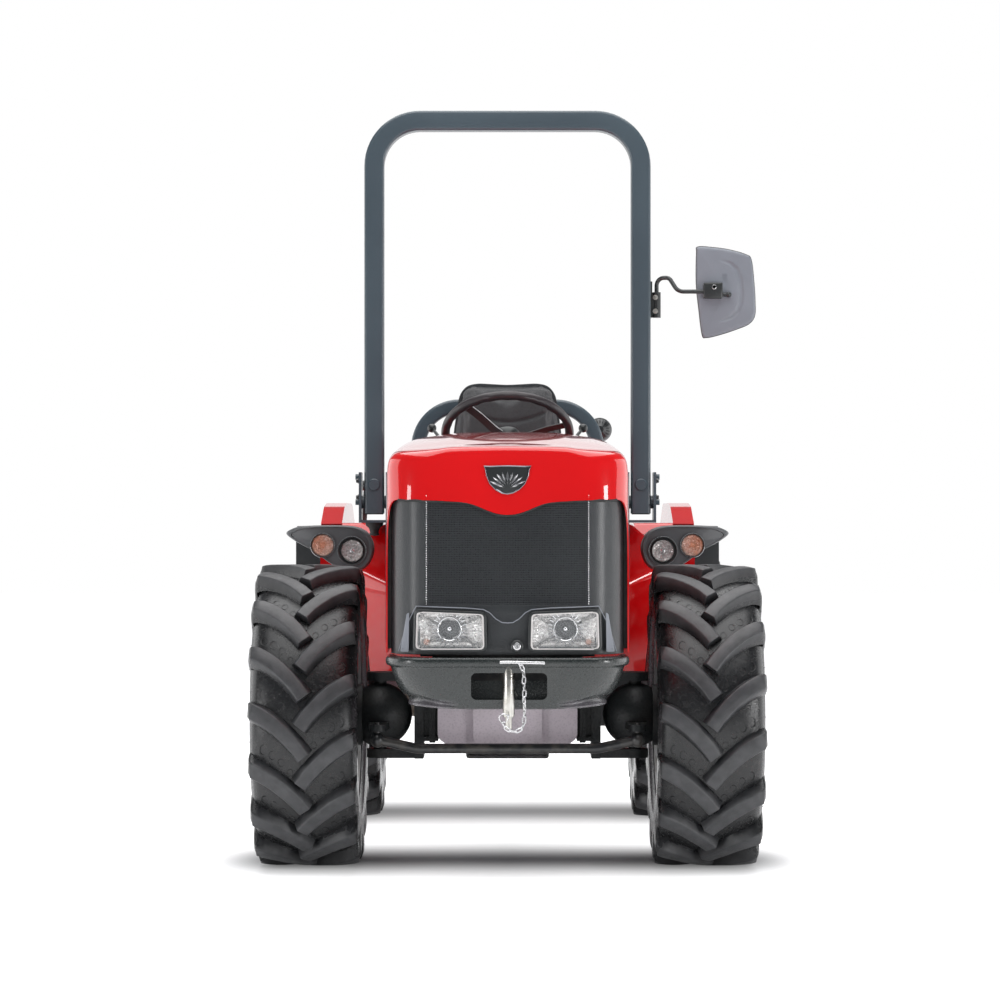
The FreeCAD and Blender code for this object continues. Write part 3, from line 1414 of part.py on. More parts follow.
def tow_pin():
    """The front tow pin with its cross handle."""
    y = FRONT + S.tow_pin_setback
    low, handle_z = S.bumper_bottom - S.tow_pin_reach, WEIGHT_TOP + S.tow_handle_rise
    shank = rod("tow_shank", S.tow_pin_radius, handle_z + S.tow_handle_rise - low, 0, y, low)
    handle = rod(
        "tow_handle",
        S.tow_handle_radius,
        S.tow_handle_length,
        -S.tow_handle_offset,
        y,
        handle_z,
        LYING_X,
    )
    return fuse("tow_pin", [shank, handle])


node("front_frame", front_frame())
node("engine_block", engine())
node("radiator", radiator())
node("gearbox", gearbox())
node("rear_axle", rear_axle())
node("belly_plate", belly_plate())
node("bumper", bumper())
node("tow_pin", tow_pin())


# ---------------------------------------------------------------- bonnet

HOOD_BOTTOM = WEIGHT_TOP + S.bumper_flange + S.hood_gap
GRILLE_Y = HOOD_FRONT + S.hood_wall + S.seat_clearance
HINGE_Y = S.hood_rear - S.hinge_setback
HINGE_Z = S.hood_rear_top - S.hinge_drop


def hood_section(y, half_width, top, bottom, shoulder, crown):
    """One closed cross-section of the bonnet: sides that lean in, big shoulders, a crowned top."""
    lean = number(S.hood_lean)
    x0, x1 = half_width, half_width - lean
    side_top = top - crown - shoulder
    inner = x1 - shoulder
    k = math.sqrt(0.5)
    left_arc = Part.Arc(
        Vector(-x1, y, side_top),
        Vector(-inner - shoulder * k, y, side_top + shoulder * k),
        Vector(-inner, y, top - crown),
    )
    right_arc = Part.Arc(
        Vector(inner, y, top - crown),
        Vector(inner + shoulder * k, y, side_top + shoulder * k),
        Vector(x1, y, side_top),
    )
    top_arc = Part.Arc(Vector(-inner, y, top - crown), Vector(0, y, top), Vector(inner, y, top - crown))
    edges = [
        Part.LineSegment(Vector(x0, y, bottom), Vector(-x0, y, bottom)).toShape(),
        Part.LineSegment(Vector(-x0, y, bottom), Vector(-x1, y, side_top)).toShape(),
        left_arc.toShape(),
        top_arc.toShape(),
        right_arc.toShape(),
        Part.LineSegment(Vector(x1, y, side_top), Vector(x0, y, bottom)).toShape(),
    ]
    return Part.Wire(edges)


def hood_volume(inset):
    """The space inside the bonnet's skin, drawn in by inset, with a rounded nose."""
    half = number(S.hood_half_width) - inset
    front, rear = number(HOOD_FRONT) + inset, number(S.hood_rear)
    low_top, high_top = number(S.hood_front_top), number(S.hood_rear_top)
    slope = (high_top - low_top) / (rear - front)
    bottom = number(HOOD_BOTTOM)
    if inset:
        rear, bottom = rear + 40, bottom - 60
    wires = []
    for y in (front, rear):
        top = high_top + slope * (y - number(S.hood_rear)) - inset
        wires.append(hood_section(y, half, top, bottom, number(S.hood_shoulder) - inset, number(S.hood_crown)))
    solid = Part.makeLoft(wires, True, True)
    nose = [
        edge
        for edge in solid.Edges
        if abs(edge.CenterOfMass.y - front) < 0.5 and edge.CenterOfMass.z > bottom + 1
    ]
    return solid.makeFillet(number(S.nose_radius) - inset, nose)


def hood():
    """The bonnet shell with its nose opening, its raised lower edges and its hinge lugs."""
    wall = number(S.hood_wall)
    half = number(S.hood_half_width)
    shell = hood_volume(0).cut(hood_volume(wall))
    # the lower edge rises behind the nose to clear the steered wheels
    low, rise = number(HOOD_BOTTOM) - 50, number(S.hood_side_bottom)
    nose, rear = number(S.nose_rear), number(S.hood_rear)
    side_cut = bent_face(
        [
            Vector(0, nose - 30, low),
            Vector(0, nose, low + 50),
            Vector(0, nose + number(S.side_rise), rise),
            Vector(0, rear + 50, rise),
            Vector(0, rear + 50, low),
        ],
        [60, 60, 0, 0],
    )
    sides = side_cut.extrude(Vector(4 * half, 0, 0))
    sides.translate(Vector(-2 * half, 0, 0))
    # the opening for the grille, under the brow with its dip
    opening = brow_face(number(GRILLE_HALF + S.brow_margin), low).extrude(Vector(0, 150, 0))
    shell = shell.cut(sides).cut(opening)
    for side in (-1, 1):
        shell = shell.fuse(hinge_lug(side * number(S.hinge_lug_x), wall))
    return made("hood", shell.removeSplitter())


def bent_face(points, radii):
    """A flat face whose outline is closed, with some corners rounded (0 leaves a corner sharp)."""
    edges = []
    start = points[0]
    for i in range(1, len(points)):
        after = points[(i + 1) % len(points)]
        back = (points[i - 1] - points[i]).normalize()
        ahead = (after - points[i]).normalize()
        radius = radii[i - 1]
        if radius:
            angle = back.getAngle(ahead)
            trim, reach = radius / math.tan(angle / 2), radius / math.sin(angle / 2)
            first, last = points[i] + back * trim, points[i] + ahead * trim
            middle = points[i] + (back + ahead).normalize() * (reach - radius)
            edges.append(Part.LineSegment(start, first).toShape())
            edges.append(Part.Arc(first, middle, last).toShape())
            start = last
        else:
            edges.append(Part.LineSegment(start, points[i]).toShape())
            start = points[i]
    edges.append(Part.LineSegment(start, points[0]).toShape())
    return Part.Face(Part.Wire(edges))


def brow_face(half_width, bottom):
    """The nose opening seen from the front: square below, with a dip in the middle of its top."""
    y = number(HOOD_FRONT) - 40
    top, dip = number(S.brow_z), number(S.brow_z - S.brow_dip)
    notch, shoulder = number(S.brow_notch), number(S.brow_shoulder)
    curve = Part.BSplineCurve()
    curve.interpolate(
        [
            Vector(-half_width, y, top),
            Vector(-shoulder, y, top - number(S.brow_shoulder_drop)),
            Vector(-notch, y, top - number(S.brow_notch_drop)),
            Vector(0, y, dip),
            Vector(notch, y, top - number(S.brow_notch_drop)),
            Vector(shoulder, y, top - number(S.brow_shoulder_drop)),
            Vector(half_width, y, top),
        ]
    )
    edges = [
        curve.toShape(),
        Part.LineSegment(Vector(half_width, y, top), Vector(half_width, y, bottom)).toShape(),
        Part.LineSegment(Vector(half_width, y, bottom), Vector(-half_width, y, bottom)).toShape(),
        Part.LineSegment(Vector(-half_width, y, bottom), Vector(-half_width, y, top)).toShape(),
    ]
    return Part.Face(Part.Wire(edges))


def hinge_lug(x, wall):
    """One of the two ears under the bonnet's rear edge that turn on the hinge pin."""
    y, z = number(HINGE_Y), number(HINGE_Z)
    radius, width = number(S.hinge_pin_radius), number(S.hinge_lug_width)
    wide = number(S.hinge_eye_wall)
    start = Vector(x - width / 2, y, z)
    eye = Part.makeCylinder(radius + wide, width, start, Vector(1, 0, 0))
    web = Part.makeBox(width, 2 * wide, number(S.hinge_drop) - 2, start - Vector(0, wide, 0))
    web = web.common(hood_volume(wall / 2))
    hole = Part.makeCylinder(radius + number(S.pin_clearance), 2 * width, start - Vector(width / 2, 0, 0), Vector(1, 0, 0))
    return eye.fuse(web).cut(hole)


def grille():
    """The black front grille: flat in the middle, rounded back at both sides."""
    half, wall = number(GRILLE_HALF), number(S.grille_wall)
    y, bend, depth = number(GRILLE_Y), number(S.grille_corner), number(S.grille_depth)
    outer = bent_face(
        [
            Vector(-half, y + depth, 0),
            Vector(-half, y, 0),
            Vector(half, y, 0),
            Vector(half, y + depth, 0),
        ],
        [bend, bend, 0],
    )
    inner = bent_face(
        [
            Vector(-half + wall, y + depth + 20, 0),
            Vector(-half + wall, y + wall, 0),
            Vector(half - wall, y + wall, 0),
            Vector(half - wall, y + depth + 20, 0),
        ],
        [bend - wall, bend - wall, 0],
    )
    low, high = number(HOOD_BOTTOM), number(S.brow_z + S.grille_overlap)
    skin = outer.cut(inner).extrude(Vector(0, 0, high - low))
    skin.translate(Vector(0, 0, low))
    return made("grille", skin)


def lamp_outline(grow):
    """The four corners of the left headlight with their rounding, grown by a margin."""
    x, z = LAMP_X, S.lamp_z
    w, d = S.lamp_width / 2 + grow, S.lamp_height / 2 + grow
    return [
        (x - w, z - d + S.lamp_lower_slope, 12),
        (x + w, z - d, 12),
        (x + w, z + d, 16),
        (x - w, z + d - S.lamp_upper_slope, 16),
    ]


def headlight_bezel():
    """The moulded panel round both headlights, in front of the grille."""
    owner = body("headlight_bezel")
    low, front = HOOD_BOTTOM + S.bezel_gap, HOOD_FRONT - S.bezel_proud
    z = S.lamp_z + S.lamp_height / 2
    half = GRILLE_HALF - S.bezel_inset
    top, notch = half - S.bezel_taper, S.bezel_notch
    rise, drop = z + S.bezel_notch_rise, z - S.bezel_notch_drop
    pad(
        owner,
        "bezel_panel",
        "XZ_Plane",
        [
            (-half, low, 8), (half, low, 8), (top, z + S.bezel_rise, 24),
            (S.bezel_notch_top, rise, 30), (notch, drop, 30),
            (-notch, drop, 30), (-S.bezel_notch_top, rise, 30), (-top, z + S.bezel_rise, 24),
        ],
        front,
        GRILLE_Y,
    )
    for side in (1, -1):
        corners = [(c[0] * side, c[1], c[2]) for c in lamp_outline(S.lamp_margin)]
        pocket(owner, f"bezel_window_{side + 1}", "XZ_Plane", corners, front - 5, HOOD_FRONT + 20)
    return owner


def headlights():
    """Both headlight units, set into the bezel."""
    owner = body("headlight_left_unit")
    front = HOOD_FRONT - S.bezel_proud + S.lamp_recess
    pad(owner, "headlight_glass", "XZ_Plane", lamp_outline(0), front, GRILLE_Y - S.seat_clearance)
    return group("headlights", [owner, mirrored("headlight_right_unit", owner)])


node("hood", hood())
node("grille", grille())
node("headlight_bezel", headlight_bezel())
node("headlights", headlights())


# ---------------------------------------------------------------- roll bar and mirror

BAR_HALF = S.hood_half_width + S.bar_beside_hood
LEG_X = BAR_HALF - S.bar_tube / 2
CHEEK_IN = LEG_X - S.bar_tube / 2 - S.cheek_inner_gap
CHEEK_OUT = LEG_X + S.bar_tube / 2 + S.cheek_gap


def roll_bar():
    """The square tube arch, bored across its feet for the fold and lock pins."""
    shape = square_hoop(
        number(LEG_X),
        number(S.bar_foot),
        number(S.bar_top) - number(S.bar_tube) / 2,
        number(S.bar_corner - S.bar_tube / 2),
        number(S.bar_tube),
        number(S.bar_y),
    )
    radius = number(S.bar_pin_radius + S.pin_clearance)
    for height in (number(S.bar_pivot), number(S.bar_lock)):
        start = Vector(-2 * number(BAR_HALF), number(S.bar_y), height)
        hole = Part.makeCylinder(radius, 4 * number(BAR_HALF), start, Vector(1, 0, 0))
        shape = shape.cut(hole)
    return made("roll_bar", shape)


def roll_bar_mount():
    """The folded brackets that hold both feet, on a cross beam over the gearbox. The lock pins
    are drawn back into the outer cheeks, so that the bar can fold."""
    y, low, wall = S.bar_y, S.bar_foot - S.strap_gap - S.cheek_wall, S.cheek_wall
    top = S.bar_lock + S.cheek_top
    deep = (y - S.cheek_front, S.platform_front)
    inner = (CHEEK_IN - wall, CHEEK_IN)
    outer = (CHEEK_OUT, CHEEK_OUT + wall)
    beam = (y - S.mount_beam_half, y + S.mount_beam_half)
    washer_out, washer_in = S.cheek_gap - S.washer_gap, S.cheek_inner_gap - S.washer_gap
    pieces = [
        block("cheek_inner", inner, deep, (RAIL_TOP, top)),
        block("cheek_outer", outer, deep, (low, top)),
        block("cheek_strap", (inner[0], outer[1]), deep, (low, low + wall)),
        block("mount_beam", (-CHEEK_IN, CHEEK_IN), beam, (RAIL_TOP, RAIL_TOP + S.mount_beam_height)),
        rod(
            "fold_pin",
            S.bar_pin_radius,
            outer[1] - inner[0] + S.pin_reach * 2,
            inner[0] - S.pin_reach,
            y,
            S.bar_pivot,
            LYING_X,
        ),
        rod("washer_out", S.washer_radius, washer_out, outer[0] - washer_out, y, S.bar_pivot, LYING_X),
        rod("washer_in", S.washer_radius, washer_in, inner[1], y, S.bar_pivot, LYING_X),
        rod("lock_pin", S.bar_pin_radius, wall + S.pin_reach, outer[0], y, S.bar_lock, LYING_X),
    ]
    left = fuse("roll_bar_mount_left", pieces)
    return fuse("roll_bar_mount", [left, mirrored("roll_bar_mount_right", left)])


def mirror_arm():
    """The clamp on the left leg and the bent arm to the mirror."""
    x = number(LEG_X + S.bar_tube / 2)
    y, z = number(S.bar_y), number(S.mirror_z)
    wide, standoff = number(S.mirror_clamp_width), number(S.barrel_standoff)
    low = z - number(S.mirror_clamp_drop)
    clamp = Part.makeBox(
        number(S.mirror_clamp_wall), wide, number(S.mirror_clamp_height), Vector(x, y - wide / 2, low)
    )
    radius, height = number(S.barrel_radius), number(S.barrel_height)
    barrel = Part.makeCylinder(radius, height, Vector(x + standoff, y, low))
    web = Part.makeBox(standoff, wide / 2, height - 20, Vector(x, y - wide / 4, low + 10))
    hump, forward = z + number(S.arm_hump), number(S.arm_forward)
    start, second = x + standoff, x + standoff + number(S.arm_first_run)
    end = x + number(S.mirror_standoff + S.socket_setback + S.socket_width)
    points = [
        Vector(start, y, low + height / 2),
        Vector(start, y - 4, hump),
        Vector(second, y - forward + 20, hump),
        Vector(second + 26, y - forward, z),
        Vector(end - number(S.socket_wall), y - forward, z),
    ]
    arm = round_tube(points, [24, 20, 30], number(S.mirror_rod))
    return made("mirror_arm", clamp.fuse([barrel, web, arm]).removeSplitter())


def mirror_head():
    """The mirror's housing behind its arm: a tall five-sided plate with a clamp on its front."""
    x = LEG_X + S.bar_tube / 2 + S.mirror_standoff
    far, heel = x + S.mirror_width, x + S.mirror_width - S.mirror_heel
    low, top = S.mirror_z - S.mirror_drop, S.mirror_z - S.mirror_drop + S.mirror_height
    arm_y = S.bar_y - S.arm_forward
    front = arm_y + S.mirror_rod + S.socket_wall
    owner = body("mirror_head")
    pad(
        owner,
        "mirror_plate",
        "XZ_Plane",
        [
            (x + S.mirror_toe, low, 30),
            (heel, low + S.mirror_rise, 40),
            (far, low + S.mirror_waist, 50),
            (heel, top - S.mirror_brow, 50),
            (x, top, 18),
        ],
        front,
        front + S.mirror_depth,
    )
    near = x + S.socket_setback
    z = S.mirror_z
    half = S.socket_height / 2
    pad(
        owner,
        "mirror_socket",
        "XZ_Plane",
        [(near, z - half), (near + S.socket_width, z - half), (near + S.socket_width, z + half), (near, z + half)],
        arm_y - S.mirror_rod - S.socket_wall,
        front + 1,
    )
    end = near + S.socket_width
    hole = S.mirror_rod + S.pin_clearance
    bore(owner, "mirror_arm_hole", "YZ_Plane", [(arm_y, z)], hole, near - 5, end - S.socket_wall + S.seat_clearance)
    return owner


node("roll_bar", roll_bar())
node("roll_bar_mount", roll_bar_mount())
node("mirror_arm", mirror_arm())
node("mirror_head", mirror_head())


# ---------------------------------------------------------------- driver's station


def platform_left():
    """One side of the floor with its front shield."""
    z, wall, front = S.platform_z, S.platform_wall, S.platform_front
    outer, inner = PLATFORM_HALF, TUNNEL_HALF
    console = S.console_half_width + S.console_gap
    owner = body("platform_left")
    pad(
        owner,
        "shield",
        "XZ_Plane",
        [
            (inner, z),
            (outer - S.shield_toe, z),
            (outer, z + S.shield_edge_low),
            (outer, z + S.shield_edge_high, 40),
            (outer - S.shield_shoulder, z + S.shield_height, 30),
            (console, z + S.shield_height),
            (console, z + S.tunnel_height),
            (inner, z + S.tunnel_height),
        ],
        front,
        front + wall,
    )
    side = DECK_HALF - S.floor_inset
    notch = REAR_AXLE - S.tyre_diameter / 2 - S.floor_tyre_gap
    pad(
        owner,
        "floor",
        "XY_Plane",
        [
            (inner, front),
            (outer - S.shield_toe, front),
            (outer - S.shield_toe, notch, 20),
            (side, notch + S.floor_notch_slope, 20),
            (side, S.deck_front),
            (inner, S.deck_front),
        ],
        z,
        z + wall,
    )
    return owner


def seat_deck():
    """The hollow red deck over the rear housing that carries the seat and the hoop."""
    wall, half = S.platform_wall, DECK_HALF
    owner = body("seat_deck")
    pad(
        owner,
        "deck_block",
        "YZ_Plane",
        [
            (S.deck_front, S.platform_z), (S.deck_rear, S.platform_z + S.deck_tail_rise, 20),
            (S.deck_rear, S.deck_top, 30), (S.deck_front, S.deck_top, 30),
        ],
        -half,
        half,
    )
    pocket(
        owner,
        "deck_hollow",
        "YZ_Plane",
        [
            (S.deck_front + wall, S.platform_z - 30), (S.deck_rear - wall, S.platform_z - 30),
            (S.deck_rear - wall, S.deck_top - wall, 24), (S.deck_front + wall, S.deck_top - wall, 24),
        ],
        -half + wall,
        half - wall,
    )
    seat, lift = S.gearbox_half_width + S.seat_clearance, S.lift_opening_half
    pocket(
        owner,
        "gearbox_opening",
        "XZ_Plane",
        [
            (-seat, S.platform_z - 30),
            (seat, S.platform_z - 30),
            (seat, S.housing_top + S.seat_clearance),
            (-seat, S.housing_top + S.seat_clearance),
        ],
        S.deck_front - 10,
        S.deck_front + 60,
    )
    pocket(
        owner,
        "lift_opening",
        "XZ_Plane",
        [
            (-lift, S.platform_z - 30),
            (lift, S.platform_z - 30),
            (lift, S.lift_opening_top, 30),
            (-lift, S.lift_opening_top, 30),
        ],
        S.deck_rear - 60,
        S.deck_rear + 10,
    )
    return owner


def fender_left():
    """The red inner mudguard: side wall, shelf and raised crest."""
    wall, top = S.fender_wall, FENDER_TOP
    front, rear = S.fender_front, S.fender_rear
    front_low = S.platform_front + S.platform_wall + S.fender_front_gap
    x0, x1 = DECK_HALF + S.seat_clearance, CREST_OUT
    owner = body("fender_left")
    pad(
        owner,
        "fender_side",
        "YZ_Plane",
        [
            (front_low, S.platform_z + S.fender_foot_rise, 20),
            (S.deck_front, S.platform_z + S.fender_waist_rise, 30),
            (rear - S.fender_heel, S.platform_z + S.fender_heel_rise, 30),
            (rear, S.fender_tail_z, 20),
            (rear - S.fender_tail_step, top - S.fender_tail_drop, 90),
            (rear - S.fender_tail_run, top - 2, 90),
            (front - 20, top - 2, 40),
            (front_low, S.fender_nose_z, 40),
        ],
        x0,
        x0 + wall,
    )
    pad(owner, "fender_arch", "YZ_Plane", arch_band(0, wall), x0, x1)
    pad(
        owner,
        "fender_crest",
        "YZ_Plane",
        [
            (front + S.crest_foot, top - 3),
            (front + S.crest_slope, CREST_TOP - S.crest_slope_drop, 120),
            (front + S.crest_flat, CREST_TOP, 200),
            (rear - S.crest_rear_flat, CREST_TOP, 220),
            (rear - S.crest_rear_slope, top - S.crest_rear_drop, 120),
            (rear - S.crest_tail, top - S.crest_tail_drop),
            (rear - S.crest_tail_inner, top - S.crest_tail_drop),
            (rear - S.fender_tail_run + 10, top - S.fender_lead_drop, 60),
            (rear - S.fender_tail_run - 30, top - 3),
        ],
        CREST_IN,
        x1,
    )
    return owner


def arch_band(drop, wall):
    """Side outline of a mudguard: a band that folds down at the front and curves down behind."""
    front, rear, top = S.fender_front, S.fender_rear, FENDER_TOP - drop
    lead, run, step = S.fender_lead, S.fender_tail_run, S.fender_tail_step
    lip, tail, fall = S.fender_lip_z, S.fender_tail_z, S.fender_tail_drop
    return [
        (front, lip), (front, top - S.fender_lead_drop, 20), (front + lead, top, 30),
        (rear - run, top, 90), (rear - step, top - fall, 90), (rear, tail),
        (rear - wall, tail), (rear - wall - step, top - wall - fall, 86), (rear - run - wall / 2, top - wall, 86),
        (front + lead + wall / 2, top - wall, 26), (front + wall, top - S.fender_lead_drop - 2, 16), (front + wall, lip),
    ]


def fender_flare_left():
    """The black outer strip of the mudguard, a little lower than the crest."""
    owner = body("fender_flare_left")
    x0 = CREST_OUT
    pad(owner, "flare_arch", "YZ_Plane", arch_band(S.flare_drop, S.fender_wall), x0, FLARE_OUT)
    return owner


def light_pod_left():
    """The leaf-shaped lamp housing on the front of the mudguard, with its two lamp wells."""
    owner = body("light_pod_left")
    front, back = S.fender_front - S.pod_depth, S.fender_front
    x, top = DECK_HALF, FENDER_TOP
    pad(
        owner,
        "pod_block",
        "XZ_Plane",
        [
            (x + S.pod_tip, top - S.pod_tip_drop, 6),
            (x + S.pod_shoulder, top - S.pod_top_drop, 30),
            (x + S.pod_crown, top - S.pod_top_drop, 34),
            (x + S.pod_inner, top - S.pod_inner_drop, 40),
            (x + S.pod_inner, top - S.pod_inner_drop - S.pod_inner_height, 44),
            (x + S.pod_keel, top - S.pod_keel_drop, 44),
            (x + S.pod_keel + S.pod_keel_length, top - S.pod_keel_drop, 60),
            (x + S.pod_flank, top - S.pod_flank_drop, 60),
        ],
        front,
        back,
    )
    round_edges(
        owner,
        "pod_edge",
        S.pod_rounding,
        lambda e: abs(e.CenterOfMass.y - number(front)) < 0.5 and not along("y")(e),
    )
    for name, spot, radius, well in pod_lamp_places():
        bore(owner, f"{name}_well", "XZ_Plane", [spot], radius + S.seat_clearance, front - 5, front + well)
    return owner


def pod_lamp_places():
    """Name, centre, radius and well depth of the left pod's two lamps."""
    white = (DECK_HALF + S.white_lamp_x, FENDER_TOP - S.white_lamp_drop)
    amber = (DECK_HALF + S.amber_lamp_x, FENDER_TOP - S.amber_lamp_drop)
    return [
        ("white", white, S.white_lamp_radius, S.white_well),
        ("amber", amber, S.amber_lamp_radius, S.amber_well),
    ]


def pod_lamps_left():
    """The white and amber lamps in their wells."""
    face = S.fender_front - S.pod_depth + S.pod_lamp_recess
    return [
        rod(f"{name}_lamp", radius, well - S.pod_lamp_recess, x, face, z, LYING_Y)
        for name, (x, z), radius, well in pod_lamp_places()
    ]


def rear_hoop():
    """The low square hoop behind the seat, with its feet on the deck."""
    shape = square_hoop(
        number(S.hoop_width - S.hoop_tube) / 2,
        number(S.deck_top),
        number(S.hoop_top) - number(S.hoop_tube) / 2,
        number(S.hoop_corner - S.hoop_tube / 2),
        number(S.hoop_tube),
        number(S.hoop_y),
    )
    return made("rear_hoop", shape)


def work_lamp():
    """The round lamp on the back of the hoop."""
    rear = S.hoop_y + S.hoop_tube / 2
    x, z, length = S.work_lamp_x, S.work_lamp_z, S.work_stem_length
    stem = rod("work_lamp_stem", S.work_stem_radius, length, x, rear, z, LYING_Y)
    bowl = rod("work_lamp_bowl", S.work_lamp_radius, S.work_lamp_depth, x, rear + length, z, LYING_Y)
    return fuse("work_lamp", [stem, bowl])


def dashboard():
    """The console between bonnet and driver, its cowl, the steering column and the hinge pin."""
    owner = body("dashboard")
    face, half = S.hood_rear + S.cowl_gap, S.hood_half_width - S.cowl_inset
    pad(
        owner,
        "console",
        "YZ_Plane",
        [
            (face, S.console_foot_top),
            (face, S.console_top),
            (S.console_rear, S.console_top),
            (S.console_rear, S.console_knee, 60),
            (S.console_foot_rear, RAIL_TOP),
            (S.console_foot_front, RAIL_TOP),
            (S.console_foot_front, S.console_foot_top),
        ],
        -S.console_half_width,
        S.console_half_width,
    )
    pad(
        owner,
        "cowl",
        "YZ_Plane",
        [
            (face, S.cowl_bottom),
            (face, S.hood_rear_top - S.cowl_front_drop, 18),
            (S.cowl_crest, S.hood_rear_top - S.cowl_crest_drop, 30),
            (S.cowl_rear, S.cowl_rear_top, 26),
            (S.cowl_rear_low, S.cowl_bottom, 30),
        ],
        -half,
        half,
    )
    round_edges(
        owner,
        "cowl_edge",
        S.cowl_rounding,
        lambda e: abs(abs(e.CenterOfMass.x) - number(half)) < 0.5 and e.CenterOfMass.y > number(S.hood_rear) + 60,
    )
    return owner


def hinge_pin():
    """The bonnet's hinge pin on two cranked arms from the cowl."""
    y, z = number(HINGE_Y), number(HINGE_Z)
    face, radius = number(S.hood_rear + S.cowl_gap), number(S.hinge_pin_radius)
    length, wide, inside = number(S.hinge_pin_length), number(S.hinge_arm_width), number(S.hinge_arm_x)
    pin = Part.makeCylinder(radius, length, Vector(-length / 2, y, z), Vector(1, 0, 0))
    drop = z - number(S.hinge_arm_drop)
    foot, heel = z - number(S.hinge_arm_foot), z - number(S.hinge_arm_heel)
    corners = [(y - radius, z), (y + radius, z), (y + radius, drop), (face, drop), (face, foot), (y - radius, heel)]
    arms = []
    for x in (-inside - wide, inside):
        points = [Vector(x, *corner) for corner in corners]
        side = Part.Face(Part.makePolygon(points + points[:1]))
        arms.append(side.extrude(Vector(wide, 0, 0)))
    return made("hinge_pin", pin.fuse(arms).removeSplitter())


def steering_column():
    """The tube from the cowl to just under the steering wheel's hub."""
    angle = math.radians(number(S.wheel_tilt))
    length = number(S.column_length)
    reach = length + number(S.wheel_hub_depth + S.seat_clearance)
    y, z = S.wheel_y - reach * math.sin(angle), S.wheel_z - reach * math.cos(angle)
    return rod("steering_column", S.column_radius, length, 0, y, z, Rotation(Vector(1, 0, 0), -S.wheel_tilt.value))


def steering_wheel():
    """A round rim with three spokes and a hub, tilted towards the driver."""
    radius, tube = number(S.wheel_radius), number(S.wheel_rim)
    shape = Part.makeTorus(radius, tube)
    hub_radius, depth, high = number(S.wheel_hub), number(S.wheel_hub_depth), number(S.wheel_hub_top)
    hub = Part.makeCone(number(S.wheel_hub_foot), hub_radius, depth, Vector(0, 0, -depth))
    hub = hub.fuse(Part.makeCylinder(hub_radius, high, Vector(0, 0, 0)))
    wide, wall, start = number(S.spoke_width), number(S.spoke_wall), hub_radius / 2
    for angle in (90, 210, 330):
        spoke = Part.makeBox(radius - start, wide, wall, Vector(start, -wide / 2, -wall / 2))
        spoke.rotate(Vector(0, 0, 0), Vector(0, 0, 1), angle)
        shape = shape.fuse(spoke)
    wheel = made("steering_wheel", shape.fuse(hub).removeSplitter())
    tilt = Rotation(Vector(1, 0, 0), -S.wheel_tilt.value)
    return place(wheel, 0, S.wheel_y, S.wheel_z, tilt)


def stalk(base, tip, knob):
    """A thin lever with a round knob."""
    arm = Part.makeCylinder(number(S.stalk_radius), (tip - base).Length, base, tip - base)
    return arm.fuse(Part.makeSphere(knob, tip))


def levers():
    """Two stalks on the cowl and three levers on the right shelf."""
    x, y, z = number(S.stalk_x), number(S.stalk_y), number(S.stalk_foot_z)
    tip_x, tip_y, tip_z = x + number(S.stalk_spread), y + number(S.stalk_run), number(S.stalk_top_z)
    shapes = [
        stalk(Vector(side * x, y, z), Vector(side * tip_x, tip_y, tip_z), number(S.stalk_knob))
        for side in (-1, 1)
    ]
    shelf, lever_x = number(FENDER_TOP), number(DECK_HALF + S.lever_x)
    run = Vector(number(S.lever_tilt), -number(S.lever_lean), number(S.lever_height) + 20)
    for i in range(3):
        base = Vector(-lever_x, number(S.lever_y + S.lever_spacing * i), shelf - 20)
        shapes.append(stalk(base, base + run, number(S.lever_knob)))
    return made("levers", Part.makeCompound([seated(shape) for shape in shapes]))


def seated(shape):
    """The part of a piece that stands on the cowl or on the right mudguard."""
    for name in ("dashboard", "fender_right"):
        shape = shape.cut(NODES[name].Shape)
    return max(shape.Solids, key=lambda solid: solid.Volume)


def pedals():
    """Clutch, brake and throttle pedals on arms from the shields."""
    face = number(S.platform_front + S.platform_wall + S.seat_clearance)
    shapes = []
    z, slope, width, high = (number(v) for v in (S.pedal_z, S.pedal_slope, S.pedal_width, S.pedal_height))
    middle = z - number(S.pedal_drop)
    near, close = number(S.pedal_reach), number(S.throttle_reach)
    for x, reach in (
        (-number(S.clutch_x), near),
        (-number(S.brake_x), near),
        (number(S.throttle_x), close),
    ):
        y = face + reach
        arm = round_tube(
            [Vector(x, face, z), Vector(x, y, z), Vector(x, y + slope, middle)],
            [number(S.pedal_bend)],
            number(S.pedal_rod),
        )
        plate = Part.makeBox(
            width, number(S.pedal_wall), high, Vector(x - width / 2, y + slope, middle - high / 2 - 4)
        )
        plate.rotate(Vector(x, y + slope, middle), Vector(1, 0, 0), -number(S.pedal_tilt))
        shapes.append(arm.fuse(plate).removeSplitter())
    return made("pedals", Part.makeCompound(shapes))


def seat_base():
    """The seat's suspension block on the deck."""
    owner = body("seat_base")
    foot, head = S.seat_front + S.base_setback, S.seat_front + S.base_top_setback
    top = S.seat_bottom - S.seat_clearance
    pad(
        owner,
        "base_block",
        "YZ_Plane",
        [
            (foot, S.deck_top),
            (foot + S.base_length, S.deck_top),
            (head + S.base_top_length, top),
            (head, top),
        ],
        -S.base_half_width,
        S.base_half_width,
    )
    return owner


def seat_cushion():
    owner = body("seat_cushion")
    half = S.seat_width / 2
    z = S.seat_bottom
    pad(
        owner,
        "cushion_block",
        "XY_Plane",
        [
            (-half, S.seat_front, 70), (half, S.seat_front, 70),
            (half, S.seat_front + S.seat_length, 40), (-half, S.seat_front + S.seat_length, 40),
        ],
        z,
        z + S.cushion_height,
    )
    return owner


